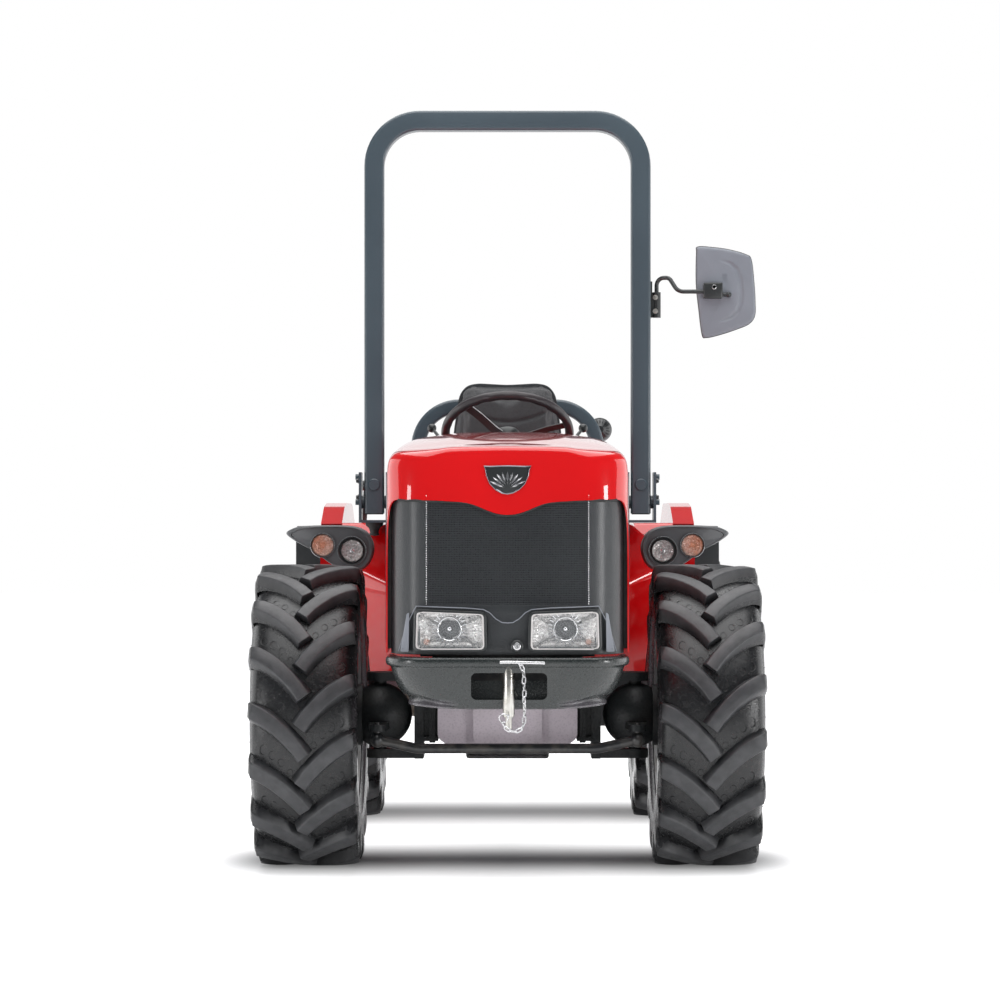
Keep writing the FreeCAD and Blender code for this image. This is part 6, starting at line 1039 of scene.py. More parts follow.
# %% Plan of the nose
hood_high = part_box("hood")[1]
grille_low, grille_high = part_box("grille")
GRILLE_HALF, GRILLE_FRONT, NOSE_RADIUS = grille_high.x, grille_low.y, 0.110
HOOD_HALF, HOOD_FRONT = hood_high.x - 0.004, -1.4785
print(f"bonnet: {2 * HOOD_HALF:.3f} wide inside its skin")


def nose(x, half=GRILLE_HALF, front=GRILLE_FRONT, radius=NOSE_RADIUS):
    """How far forward a panel with round upright corners stands at a distance from the middle."""
    past = abs(x) - (half - radius)
    if past <= 0:
        return front
    return front + radius - math.sqrt(max(radius**2 - past**2, 0.0))


# %% The cage
crown = [(0.312, 1.178), (0.296, 1.207), (0.262, 1.2265), (0.173, 1.2355), (0.161, 1.2400), (0.100, 1.2412),
         (0.062, 1.2418), (0.030, 1.2422), (0.0, 1.2424)]
fall = [0.60, 0.75, 0.95, 1, 1, 1, 1, 1, 1]
face_x = [0.306, 0.283, 0.238, 0.173, 0.161, 0.100, 0.062, 0.030, 0.0]
flank = [1.026, 1.062, 1.100]
BELOW_CROWN = 2 + len(flank)  # a section's points under the crown on each side
lip = [1.0280, 1.0265, 1.0250, 1.0235, 1.0210, 1.0035, 0.9909, 0.9870]


def hood_row(place, low, drop=0.0, half=HOOD_HALF, brow=None):
    """One section, from the left skirt over the top to the right skirt."""
    left = [(half, place, low), (half, place, (low + flank[0]) / 2 if low < flank[0] - 0.02 else low)]
    left += [(half, place, max(z, low + 0.004 * (i + 1))) for i, z in enumerate(flank)]
    for i, (x, z) in enumerate(crown):
        wide = x * (1 + (half / HOOD_HALF - 1) * 0.7)
        y = place if brow is None else brow[i]
        left.append((wide, y, z - drop * fall[i] - (0.0 if brow is None else 0.002)))
    return left + [(-x, y, z) for x, y, z in reversed(left[:-1])]


brow = [-1.389, -1.418, -1.445, -1.4575, -1.458, -1.4585, -1.4585, -1.459, -1.459]
rear = hood_high.y
TOP_START, TOP_DROP, TOP_RISE, TOP_BEND = -1.44, 0.0777, 0.095, 0.028
HOOD_SPREAD = 0.003  # how much wider the bonnet grows per metre towards the driver
SKIRT = 0.630  # the skirt's lower edge beside the grille
stations = [(-1.398, SKIRT), (-1.345, SKIRT), (-1.235, SKIRT), (-1.165, 0.640), (-1.135, 0.760),
            (-1.105, 0.838), (-1.00, 0.846), (-0.70, 0.846), (-0.40, 0.846), (-0.16, 0.846),
            (rear - 0.02, 0.846), (rear, 0.846)]
rows = []
for n, (y, low) in enumerate(stations):
    back = y - TOP_START
    drop = max(TOP_DROP - TOP_RISE * back + TOP_BEND * back**2, 0.0)
    rows.append(hood_row(y, low, drop, HOOD_HALF + HOOD_SPREAD * (y - stations[0][0]),
                         brow if n == 0 else None))
cage_verts, cage_faces = skin(rows)
count = len(rows[0])
columns = list(range(BELOW_CROWN, count - BELOW_CROWN))
above = list(columns)
face_rows = [(2, 0.0100, [1.090, 1.108, 1.127, 1.149, 1.154, 1.157, 1.1575, 1.1578, 1.158]),
             (1, 0.0035, [1.062, 1.072, 1.084, 1.092, 1.096, 1.096, 1.095, 1.093, 1.092]), (0, 0.0, None)]
for step, lean, heights in face_rows:
    side_index = 2 + step
    below = []
    for n, column in enumerate(columns):
        i = min(n, len(columns) - 1 - n)
        sign = 1 if n < len(columns) / 2 else -1
        if i == 0:
            below.append(side_index if sign > 0 else count - 1 - side_index)
            continue
        x = face_x[i]
        z = heights[i] if heights else lip[i - 1]
        cage_verts.append((sign * x if i < 8 else 0.0, nose(x, HOOD_HALF, HOOD_FRONT) + lean, z))
        below.append(len(cage_verts) - 1)
    for a in range(len(columns) - 1):
        cage_faces.append((above[a], above[a + 1], below[a + 1], below[a]))
    above = below
bonnet = make("bonnet", (cage_verts, cage_faces), "red_lacquer", 60)
baked(bonnet, subdivision(3, boundary_smooth="PRESERVE_CORNERS"),
      ("SOLIDIFY", {"thickness": 0.004, "offset": -1 if bonnet.data.polygons[0].normal.x > 0 else 1}),
      smooth=50)
keep(bonnet, "hood", "hood")
print("bonnet faces:", len(bonnet.data.polygons))

# %% [markdown]
# The bonnet swings on two cranked arms at its back edge, and a rubber strip seals its lip. On
# each flank a black louvred panel lets the warm air out. The slats are one slat in a row.

# %% Arms, seal and louvres
for side, name in ((1, "left"), (-1, "right")):
    path = bent([(side * 0.20, -0.20, 1.205), (side * 0.20, -0.10, 1.192), (side * 0.20, -0.07, 1.200)], 0.02)
    keep(edged(make(f"hood_arm_{name}", sweep(path, rounded(0.006, 0.026, 0.002, 2)), "frame_black"), 0.001),
         "hood")
    x = side * (HOOD_HALF + 0.0035)
    frame_path = bent([(x, -1.02, 0.905), (x, -0.56, 0.905), (x, -0.60, 1.055), (x, -0.98, 1.055),
                       (x, -1.02, 0.905), (x, -0.80, 0.905)], 0.02)[:-1]
    surround = make(f"louvre_frame_{name}", sweep(frame_path, rounded(0.012, 0.008, 0.003, 3), up=(1, 0, 0)),
                    "satin_black")
    slat = moved(sweep([(x, -0.985, 0), (x, -0.60, 0)], rounded(0.012, 0.0032, 0.0014, 2)),
                 turn=(0, side * 0.6, 0))
    slat = moved(slat, (x - slat[0][0][0], 0, 0.918 - slat[0][0][2]))
    slats = row(f"louvres_{name}", slat, 10, "grained_black", step=(0, 0, 0.0135))
    back = edged(make(f"louvre_back_{name}", block((x, -1.0, 0.912), (x - side * 0.004, -0.585, 1.048)),
                      "mesh_black"), 0.0015)
    keep(merged(f"side_louvres_{name}", surround, slats, back), "hood")
half_lip = [(face_x[i], lip[i - 1] - 0.0015) for i in range(1, 8)]
lip_line = [(-x, z) for x, z in half_lip] + [(0, lip[7] - 0.0015)] + half_lip[::-1]
seal_path = [(x, nose(x, HOOD_HALF, HOOD_FRONT) + 0.0045, z) for x, z in lip_line]
keep(wire("lip_seal", seal_path, 0.0035, "boot_rubber", 8), "hood")
print("bonnet trim done")

# %% [markdown]
# The shield on the nose carries no mark: a steel rim round a dark field, with a fan of plain
# blades that glitter as a casting's relief does.

# %% A plain shield
half_shield = [(0.0, -0.0375), (0.014, -0.0345), (0.030, -0.0255), (0.0440, -0.0110), (0.0530, 0.0100),
               (0.0555, 0.0260), (0.0605, 0.0335), (0.0450, 0.0325), (0.020, 0.0335), (0.0, 0.0340)]
shield = both_sides(half_shield)
BADGE = (0.0, 1.0795)


def badge_y(x, z):
    """Where the bonnet's skin is in front of a place."""
    hit, place, _, _ = bonnet.ray_cast((x, -2.0, z), (0, 1, 0))
    return place.y if hit else -1.47


outline = [(x + BADGE[0], badge_y(x, z + BADGE[1]) - 0.0022, z + BADGE[1]) for x, z in shield]
badge_rim = make("badge_rim", sweep(outline, rounded(0.0036, 0.0050, 0.0014, 3), up=(0, -1, 0), closed=True),
                 "dark_chrome")
field_rows = [[(x * k, badge_y(x, z + BADGE[1]) - 0.0010 - 0.0022 * (1 - k * k), BADGE[1] + z * k)
               for x, z in shield] for k in (1.0, 0.75, 0.5, 0.25, 0.02)]
badge_field = make("badge_field", solid(field_rows), "satin_black")
blade = solid([[(0.0004, 0.0, 0.014), (0.0, -0.0004, 0.014), (-0.0004, 0.0, 0.014)],
               [(0.0036, 0.0, 0.030), (0.0, -0.0034, 0.030), (-0.0036, 0.0, 0.030)],
               [(0.0030, 0.0, 0.040), (0.0, -0.0026, 0.040), (-0.0030, 0.0, 0.040)],
               [(0.0003, 0.0, 0.051), (0.0, -0.0003, 0.051), (-0.0003, 0.0, 0.051)]])
fan = row("badge_fan", moved(blade, turn=(0, -math.radians(64), 0)), 9, "chrome",
          turn=(0, math.radians(16), 0))
small = row("badge_small", moved(moved(blade, scale=(0.55, 0.8, 0.55)), turn=(0, -math.radians(72), 0)), 7,
            "chrome", turn=(0, math.radians(24), 0))
relief = merged("relief", fan, small)
for vertex in relief.data.vertices:
    x, z = vertex.co.x, vertex.co.z * 0.86 + BADGE[1] - 0.0235
    vertex.co = (x, badge_y(x, z) - 0.0030 + vertex.co.y, z)
keep(merged("plain_badge", badge_rim, badge_field, relief), "hood")
print("badge:", len(shield), "points round the shield")

# %% [markdown]
# ## The grille
# A grained plastic panel bends round the nose, and its middle is a woven mesh. The panel is a
# skin with a window left out. The mesh is real: flat bars across, fine wires up and down,
# each set grown from one wire, so light catches every strand. Rubber strips close the gap
# between the panel's sides and the bonnet.

# %% Panel and mesh
WINDOW_HALF, WINDOW_LOW, WINDOW_HIGH = 0.206, 0.757, 1.046
LAMP_IN, LAMP_OUT, LAMP_LOW, LAMP_HIGH = 0.066, 0.226, 0.648, 0.736
turns = [math.radians(a) for a in range(0, 91, 9)]
corner = [(GRILLE_HALF - NOSE_RADIUS + NOSE_RADIUS * math.sin(a)) for a in turns]
edges_x = {s * x for x in (WINDOW_HALF, LAMP_OUT, LAMP_IN) for s in (1, -1)}
xs = sorted({round(s * x, 6) for x in corner for s in (1, -1)} | edges_x | {0.0})
zs = [grille_low.z, LAMP_LOW, 0.69, LAMP_HIGH, WINDOW_LOW, 0.83, 0.90, 0.97, WINDOW_HIGH, grille_high.z]
verts, faces = skin([[(x, nose(x), z) for x in xs] for z in zs])


def cut_out(face):
    """The mesh's window and the two lamps' places stay open."""
    x, z = (abs(sum(verts[i][k] for i in face)) / 4 for k in (0, 2))
    in_window = WINDOW_LOW < z < WINDOW_HIGH and x < WINDOW_HALF
    return in_window or (LAMP_LOW < z < LAMP_HIGH and LAMP_IN < x < LAMP_OUT)


faces = [f for f in faces if not cut_out(f)]
panel = make("grille_panel", (verts, faces), "grained_black", 50)
baked(panel, ("SOLIDIFY", {"thickness": 0.004, "offset": -1}), bevel(0.0012, 2, 0.9), smooth=45)
strand = sweep([(-WINDOW_HALF, 0, 0), (WINDOW_HALF, 0, 0)], [(u * 0.8, v) for u, v in ring(0.0021, 8)])
across = row("mesh_across", strand, 49, "mesh_black", start=(0, GRILLE_FRONT + 0.0034, WINDOW_LOW + 0.003),
             step=(0, 0, 0.0059))
thread = sweep([(0, 0, WINDOW_LOW), (0, 0, WINDOW_HIGH)], ring(0.0009, 6), up=(0, 1, 0))
upright = row("mesh_upright", thread, 100, "mesh_black",
              start=(-WINDOW_HALF + 0.002, GRILLE_FRONT + 0.0018, 0), step=(0.00412, 0, 0))
bead = lathe([(-0.0017, 0.0005), (-0.0012, 0.0013), (0.0, 0.0016), (0.0012, 0.0013), (0.0017, 0.0005)], 8,
             "Z")
stitches = [row(f"mesh_stitches_{i}", bead, 50, "bright_steel",
                start=(x, GRILLE_FRONT - 0.0006, WINDOW_LOW + 0.002), step=(0, 0, 0.0057))
            for i, x in enumerate((-WINDOW_HALF - 0.003, WINDOW_HALF + 0.003))]
baffle = edged(make("grille_baffle", block((-WINDOW_HALF - 0.01, GRILLE_FRONT + 0.009, WINDOW_LOW - 0.01),
                                           (WINDOW_HALF + 0.01, GRILLE_FRONT + 0.012, WINDOW_HIGH + 0.01)),
                    "cast_black"), 0.001)
strips = [make("strip", block((side * 0.300, -1.376, 0.640), (side * 0.3118, -1.366, 1.020)), "boot_rubber")
          for side in (1, -1)]
keep(merged("grille_mesh", panel, across, upright, baffle, *stitches, *strips), "hood", "grille")
print(f"grille window: {2 * WINDOW_HALF:.3f} by {WINDOW_HIGH - WINDOW_LOW:.3f}")

# %% [markdown]
# ## Headlights
# One satin frame holds both lamps. A lamp is a stack: a faceted silver bowl, a projector ring
# with its bulb cap, a domed clear lens, a pale border and a raised rim. The facets are rings
# of points pushed in and out by a fixed rule and shaded flat, which breaks the light as cut
# glass does. Pale cheeks fill the frame's outer corners, and a pale grey bead along its sides
# and top is a painted highlight of the frame's edge.


# %% Outlines on the nose
def round_corners(corners, radius, steps=5):
    path = bent([*corners, corners[0], corners[1]], radius, steps)
    half = 1 + (steps + 1) * len(corners)
    return path[1:half]


def on_nose(x, z, lift):
    return (x, nose(x) - lift, z)


def shrunk(outline, share, centre):
    return [Vector(centre) + (Vector(p) - Vector(centre)) * share for p in outline]


# %% The frame of the two lamps
bezel_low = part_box("headlight_bezel")[0]
brow_line = [(0.0, 0.7115), (0.014, 0.7125), (0.030, 0.722), (0.046, 0.738), (0.062, 0.7460), (0.11, 0.7500),
             (0.18, 0.7525), (0.235, 0.7545), (0.247, 0.7535)]
BROW_HALF, FOOT_HALF = brow_line[-1][0], 0.2835
shares = {x / BROW_HALF for x, _ in brow_line} | {u / 20 for u in range(21)}
us = sorted({s * u for u in shares for s in (1, -1)})
bezel_rows = []
for t in (0.0, 0.06, 0.3, 0.55, 0.8, 0.94, 1.0):
    line = []
    for u in us:
        x = u * (FOOT_HALF + (BROW_HALF - FOOT_HALF) * t)
        top = on_line(brow_line, min(abs(u * BROW_HALF), BROW_HALF))
        z = bezel_low.z + 0.0005 + (top - bezel_low.z) * t
        line.append(on_nose(x, z, 0.0135))
    bezel_rows.append(line)
lamp_frame = make("lamp_frame", skin(bezel_rows), "satin_black", 50)
baked(lamp_frame, ("SOLIDIFY", {"thickness": 0.013, "offset": -1}), bevel(0.0045, 3, 0.9), smooth=45)


# %% One lamp
LAMP_FRONT = -1.4905
LAMP_CORNERS = [(0.0565, 0.6395), (0.2395, 0.6395), (0.2365, 0.7420), (0.0585, 0.7350)]
# the faceted bowl's rings: share of the outline, and depth behind it
BOWL = [(0.985, -0.002), (0.95, 0.006), (0.88, 0.014), (0.76, 0.020), (0.62, 0.026), (0.48, 0.031),
        (0.34, 0.034), (0.2, 0.036), (0.03, 0.037)]
RAYS = 24


def headlamp(name, side):
    corners = [(side * x, LAMP_FRONT, z) for x, z in LAMP_CORNERS]
    outline = round_corners(corners, 0.014)
    centre = (side * 0.1505, LAMP_FRONT, 0.690)
    glass_edge = [on_nose(p.x, p.z, 0.0150) for p in outline]
    cut(lamp_frame, solid([[(p[0], y, p[2]) for p in glass_edge] for y in (-1.56, -1.43)]))
    rim = make("rim", sweep(glass_edge, rounded(0.0085, 0.0070, 0.0028, 3), up=(0, -1, 0), closed=True),
               "satin_black")
    inner = make("inner", sweep(shrunk(glass_edge, 0.950, centre), rounded(0.0052, 0.0064, 0.0014, 2),
                                up=(0, -1, 0), closed=True), "lamp_border")
    bowl_rows = []
    for k, (share, deep) in enumerate(BOWL):
        points = shrunk(glass_edge, share, centre)
        bowl_rows.append([(p.x + 0.0022 * math.sin(5.1 * i + 2.3 * k),
                           p.y + deep + 0.0085 * math.sin(2.7 * i + 4.1 * k) * min(1, k / 2),
                           p.z + 0.0022 * math.cos(3.3 * i + 1.7 * k)) for i, p in enumerate(points)])
    bowl = make("bowl", skin(bowl_rows, wrap=True), "lamp_silver", 0)
    where = (side * 0.1495, -1.468, 0.6945)
    projector = turned("projector", [(-0.012, 0.0285), (-0.013, 0.0300), (-0.012, 0.0315), (0.016, 0.0320),
                                     (0.016, 0.0280), (-0.012, 0.0285)], where, "chrome", 40)
    well = turned("well", [(0.014, 0.029), (0.006, 0.024), (0.002, 0.018), (0.0, 0.0165), (-0.003, 0.0150),
                           (-0.004, 0.0125), (0.004, 0.0100), (0.004, 0.0)], where, "wheel_skin")
    bulb = turned("bulb", [(0.006, 0.0072), (-0.006, 0.0072), (-0.010, 0.0058), (-0.012, 0.0030),
                           (-0.0125, 0.0)], where, "chrome", 20)
    side_bulb = turned("side_bulb", [(0.012, 0.009), (0.002, 0.0085), (-0.004, 0.006), (-0.006, 0.0)],
                       (side * 0.209, -1.472, 0.661), "amber_lens", 16)
    rays = row("rays", sweep([(0.0335, -0.001, 0), (0.046, -0.003, 0)], rounded(0.0014, 0.003, 0.0005, 1)),
               RAYS, "chrome", turn=(0, 2 * math.pi / RAYS, 0))
    rays.data.transform(Matrix.Translation(where))
    dome_rows = [[(p.x, p.y + 0.0005 - 0.0045 * (1 - share**2), p.z)
                  for p in shrunk(glass_edge, share * 0.985, centre)]
                 for share in (1.0, 0.85, 0.65, 0.4, 0.15, 0.01)]
    lens_glass = make(f"{name}_glass", solid(dome_rows), "clear_lens", 60)
    keep(lens_glass, "hood")
    keep(merged(name, rim, inner, bowl, projector, well, bulb, side_bulb, rays), "hood",
         *(["headlights"] if side > 0 else []))


headlamp("headlamp_left", 1)
headlamp("headlamp_right", -1)
keep(lamp_frame, "hood", "headlight_bezel")
print("lamp frame faces:", len(lamp_frame.data.polygons))

# %% Pale cheeks beside the lamps, and a painted highlight line round the frame
cheeks = []
CHEEK_CORNERS = [(0.2545, 0.6350), (0.2775, 0.6350), (0.2600, 0.7330), (0.2535, 0.7370)]
CHEEK_RINGS = [(1.0, 0.0110), (1.0, 0.0148), (0.93, 0.0158), (0.5, 0.0160), (0.04, 0.0160)]  # share, lift
for side in (1, -1):
    outline = round_corners([(side * x, 0, z) for x, z in CHEEK_CORNERS], 0.004)
    middle = (side * 0.261, 0, 0.686)
    rows = [[on_nose(p.x, p.z, lift) for p in shrunk(outline, share, middle)] for share, lift in CHEEK_RINGS]
    cheeks.append(make("cheek", solid(rows), "mirror_grey", 40))
# painted highlight: a pale grey bead along the frame's edge stands in for its sheen
highlight_path = [(s * x, z - 0.0012) for s, line in ((-1, brow_line[:0:-1]), (1, brow_line)) for x, z in line]
highlight_path = [(-0.2815, bezel_low.z + 0.004), (-0.2600, 0.7050), *highlight_path[1:-1], (0.2600, 0.7050),
             (0.2815, bezel_low.z + 0.004)]
cheeks.append(wire("frame_edge", [on_nose(x, z, 0.0142) for x, z in highlight_path], 0.0014, "mirror_grey", 6,
                   up=(0, -1, 0)))
keep(merged("lamp_frame_trim", *cheeks), "hood")

# %% The lock between the lamps
lock_at = (0.0245, LAMP_FRONT, 0.6500)
collar = turned("lock_collar", [(0.004, 0.0), (0.004, 0.0165), (-0.0015, 0.0165), (-0.003, 0.0145),
                                (-0.002, 0.0125), (0.0, 0.0120), (0.0, 0.0)], lock_at, "satin_black")
barrel = turned("lock_barrel", [(0.002, 0.0098), (-0.0035, 0.0098), (-0.0042, 0.0088), (-0.0042, 0.0058),
                                (-0.003, 0.0052), (-0.003, 0.0)], lock_at, "bright_steel")
slot_bar = make("lock_slot", moved(block((-0.0009, -0.0036, -0.0040), (0.0009, -0.0026, 0.0040)), lock_at),
                "mesh_black")
keep(merged("bonnet_lock", collar, barrel, slot_bar), "hood")
screws = [((side * x, nose(x) - 0.0132, z), "-Y") for side in (1, -1)
          for x, z in ((0.268, 0.6425), (0.232, 0.7478))]
bolts("lamp_screws", screws, "hood", "satin_black", 0.0022, 0.0012)
print("lamp screws:", len(screws))

# %% [markdown]
# ## The front weight
# A heavy casting closes the frame below the lamps: a rolled lip, a body that tapers down and
# back, a hollow scooped out under each side, and a pocket for the tow pin. Rows run round the
# nose and are smoothed; the pocket is cut afterwards, so that its edges stay crisp.

# %% Lip, body and scoops
weight_low, weight_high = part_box("bumper")
WEIGHT_HALF, WEIGHT_FRONT, WEIGHT_BACK = weight_high.x, weight_low.y, weight_high.y
WEIGHT_RADIUS, SCOOP_START = 0.115, 0.120


def round_plan(half, front, back, radius, steps=7):
    """The front outline of the casting from its right rear, round the nose, to its left rear."""
    flat, waist = half - radius, (back + front + radius) / 2
    middle = [(flat * t, front) for t in (-0.75, -0.45, -0.15, 0.15, 0.45, 0.75)]
    corners = [arc(cx, front + radius, radius, start, 90, steps) for cx, start in ((-flat, 180), (flat, 270))]
    return [(-half, back), (-half, waist), *corners[0], *middle, *corners[1], (half, waist), (half, back)]


def scoop(x):
    """How far the lower edge is lifted at a distance from the middle."""
    t = (abs(x) - SCOOP_START) / 0.110
    return 0.0 if t <= 0 else 0.034 * min(1, t) ** 1.4


def drawn(x):
    """Where the sides are drawn in, from 0 at the middle to 1."""
    return min(1.0, max(0.0, (abs(x) - SCOOP_START) / 0.080))


def weight_row(inset, z, scooped=0.0, back=0.0, hollow=0.0):
    """One level of the casting; hollow draws its sides in behind the lip of the scoop."""
    front = WEIGHT_FRONT + 0.0095 + inset * 0.8 + back
    plan = round_plan(WEIGHT_HALF - inset, front, WEIGHT_BACK, WEIGHT_RADIUS)
    return [(x - math.copysign(hollow * 0.6 * drawn(x), x), min(y + hollow * drawn(x), WEIGHT_BACK),
             z + scooped * scoop(x)) for x, y in plan]


weight_top, weight_foot = weight_high.z, weight_low.z + 0.001
# each level: inset, height, how much of the scoop, how far back, how far its sides are drawn in
weight_levels = [(0.030, weight_top - 0.001), (0.010, weight_top - 0.0005), (0.002, weight_top - 0.003),
                 (0.0, weight_top - 0.010), (0.0005, weight_top - 0.020), (0.004, weight_top - 0.0245),
                 (0.013, weight_top - 0.027), (0.014, weight_top - 0.032), (0.022, 0.560),
                 (0.038, 0.5150, 0.45), (0.043, 0.5035, 0.62), (0.044, 0.5015, 0.62),
                 (0.045, 0.4995, 0.58, 0.0, 0.018), (0.049, 0.4950, 0.32, 0.0, 0.022),
                 (0.052, 0.4905, 0.20, 0.0, 0.006), (0.058, 0.4875, 0.16, 0.0, 0.004),
                 (0.075, 0.4850, 0.12, 0.012), (0.100, weight_foot, 0.0, 0.02),
                 (0.130, weight_foot, 0.0, 0.05)]
weight_rows = [weight_row(*level) for level in weight_levels]
weight = make("front_weight", skin(weight_rows), "weight_iron", 60)
shape = bmesh.new()
shape.from_mesh(weight.data)
bmesh.ops.holes_fill(shape, edges=[e for e in shape.edges if e.is_boundary], sides=0)
bmesh.ops.triangulate(shape, faces=[f for f in shape.faces if len(f.verts) > 4])
bmesh.ops.recalc_face_normals(shape, faces=shape.faces)
shape.to_mesh(weight.data)
shape.free()
for edge in weight.data.edges:
    a, b = (weight.data.vertices[i].co for i in edge.vertices)
    if a.y > WEIGHT_BACK - 1e-4 and b.y > WEIGHT_BACK - 1e-4:
        edge.use_edge_sharp = True
baked(weight, subdivision(2))
pocket = [[(x + 0.004, y, z + 0.5470) for x, z in rounded(wide, tall, 0.014)]
          for y, wide, tall in ((-1.60, 0.206, 0.074), (-1.500, 0.196, 0.070), (-1.428, 0.196, 0.070))]
cut(weight, solid(pocket), bevel(0.0025, 2, 0.8))
keep(weight, "chassis", "bumper")
bolts("weight_bolts", [((side * x, WEIGHT_BACK, z), "+Y") for side in (1, -1)
                       for x, z in ((0.23, 0.53), (0.23, 0.58))], "chassis", "zinc", 0.010, 0.009)
print("front weight faces:", len(weight.data.polygons))

# %% [markdown]
# ## Tow pin and chain
# The pin drops through the pocket, with a cross bar to lift it by. A split ring and a little
# chain keep it from being lost. The chain is one link grown along a line, every second one a
# quarter turn round, as real links lie.

# %% Pin
pin_low, pin_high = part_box("tow_pin")
PIN = Vector((0.003, (pin_low.y + pin_high.y) / 2, 0))
shank = turned("shank", [(pin_low.z + 0.030, 0.0), (pin_low.z + 0.032, 0.013), (pin_low.z + 0.036, 0.015),
                         (pin_high.z - 0.012, 0.015), (pin_high.z - 0.008, 0.0125),
                         (pin_high.z - 0.007, 0.0)], PIN, "zinc", 32, "Z")
foot = turned("foot", [(pin_low.z, 0.0), (pin_low.z + 0.001, 0.0065), (pin_low.z + 0.004, 0.0085),
                       (pin_low.z + 0.031, 0.0085)], PIN, "zinc", 24, "Z")
bar_path = bent([(-0.020, WEIGHT_FRONT + 0.0045, 0.6105), (0.0, WEIGHT_FRONT + 0.0045, 0.6110),
                 (0.096, WEIGHT_FRONT + 0.0045, 0.6085)], 0.02)
handle = edged(wire("handle", bar_path, 0.0042, "bright_steel"), 0.001)
neck = wire("neck", [(0.003, PIN.y, 0.6080), (0.003, WEIGHT_FRONT + 0.0045, 0.6105)], 0.0040, "zinc")
keep(merged("tow_pin_steel", shank, foot, handle, neck), "chassis", "tow_pin")
print(f"tow pin: {pin_high.z - pin_low.z:.3f} long")

# %% Chain
chain_line = [(0.0270, -0.0035, 0.6150), (0.0340, -0.0080, 0.6040), (0.0400, -0.0120, 0.5900),
              (0.0425, -0.0125, 0.5730), (0.0420, -0.0125, 0.5560), (0.0435, -0.0125, 0.5390),
              (0.0425, -0.0120, 0.5220), (0.0430, -0.0110, 0.5050), (0.0440, -0.0100, 0.4880),
              (0.0430, -0.0100, 0.4710), (0.0425, -0.0100, 0.4540), (0.0360, -0.0100, 0.4395),
              (0.0215, -0.0100, 0.4325), (0.0060, -0.0100, 0.4345), (-0.0070, -0.0095, 0.4440),
              (-0.0145, -0.0080, 0.4580)]
loop = [(0.0042 * math.cos(a), 0, 0.0062 * math.sin(a) + (0.0034 if math.sin(a) > 0 else -0.0034))
        for a in (2 * math.pi * (i + 0.5) / 14 for i in range(14))]
link = sweep(loop, ring(0.0018, 6), up=(0, 1, 0), closed=True)
spots = []
for i, (a, b) in enumerate(zip(chain_line, chain_line[1:])):
    a, b = Vector(a), Vector(b)
    turn = (b - a).to_track_quat("Z", "Y").to_euler()
    lie = turn.to_matrix() @ Matrix.Rotation(math.radians(24 + 52 * (i % 2)), 3, "Z")
    spots.append(((a + b) / 2 + Vector((0, WEIGHT_FRONT + 0.016, 0)), lie.to_euler()))
chain = repeat("chain_links", link, spots, "bright_steel")
hoop = moved(([(x, 0.0, z) for x, z in ring(0.0115, 28)], []), (-0.010, WEIGHT_FRONT + 0.010, 0.4670),
             (0.3, 0, 0))[0]
split_ring = wire("split_ring", hoop, 0.0016, "bright_steel", 6, up=(0, 1, 0), closed=True)
peg = wire("peg", [(0.003, WEIGHT_FRONT + 0.008, 0.4740), (0.003, PIN.y + 0.016, 0.4740)], 0.0026,
           "bright_steel", 10)
keep(merged("pin_chain", chain, split_ring, peg), "chassis")
print("chain links:", len(spots))

# %% [markdown]
# ## The roll bar
# A folding bar is bent from square tube with rolled edges. It is one sweep: up a leg, round a
# quarter circle, across and down. The legs are closed by plastic plugs, and a painted button
# on each leg stops the bar against its bracket.

# %% Arch
bar_low, bar_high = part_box("roll_bar")
TUBE = 0.060
BAR_Y = (bar_low.y + bar_high.y) / 2


def arch(half, foot, top, radius, y, steps=14):
    """The centre line of a U turned upside down."""
    waist = (foot + top - radius) / 2
    line = [(-half, foot), (-half, waist)]
    for start, cx in ((180, -half + radius), (90, half - radius)):
        line += arc(cx, top - radius, radius, start, -90, steps)
    return [(x, y, z) for x, z in line + [(half, waist), (half, foot)]]


def square_arch(name, low, high, y, tube, soft, radius=0.140):
    """An arch of square tube that fills a box of the CAD."""
    half, foot, top = high.x, low.z, high.z
    line = arch(half - tube / 2, foot, top - tube / 2, radius, y)
    return make(name, sweep(line, rounded(tube, tube, soft, 4), up=(0, 1, 0)), "bar_paint", 50)


roll_arch = square_arch("roll_arch", bar_low, bar_high, BAR_Y, TUBE, 0.008)
LEG = bar_high.x - TUBE / 2
BUTTON = [(0.002, 0.0), (0.002, 0.0185), (-0.003, 0.0185), (-0.0055, 0.016), (-0.006, 0.0)]
plugs, buffers = [], []
for side in (1, -1):
    plugs.append(edged(make("plug", block((side * LEG - 0.027, BAR_Y - 0.027, bar_low.z - 0.003),
                                          (side * LEG + 0.027, BAR_Y + 0.027, bar_low.z + 0.001)),
                            "satin_black"), 0.0015))
    buffers.append(turned("buffer", BUTTON, (side * LEG, bar_low.y, 1.083), "bar_paint", 28))
keep(merged("roll_bar_tube", roll_arch, *plugs, *buffers), "roll_bar", "roll_bar")
print(f"roll bar: {2 * bar_high.x:.3f} wide, its top {bar_high.z:.3f} above the floor")

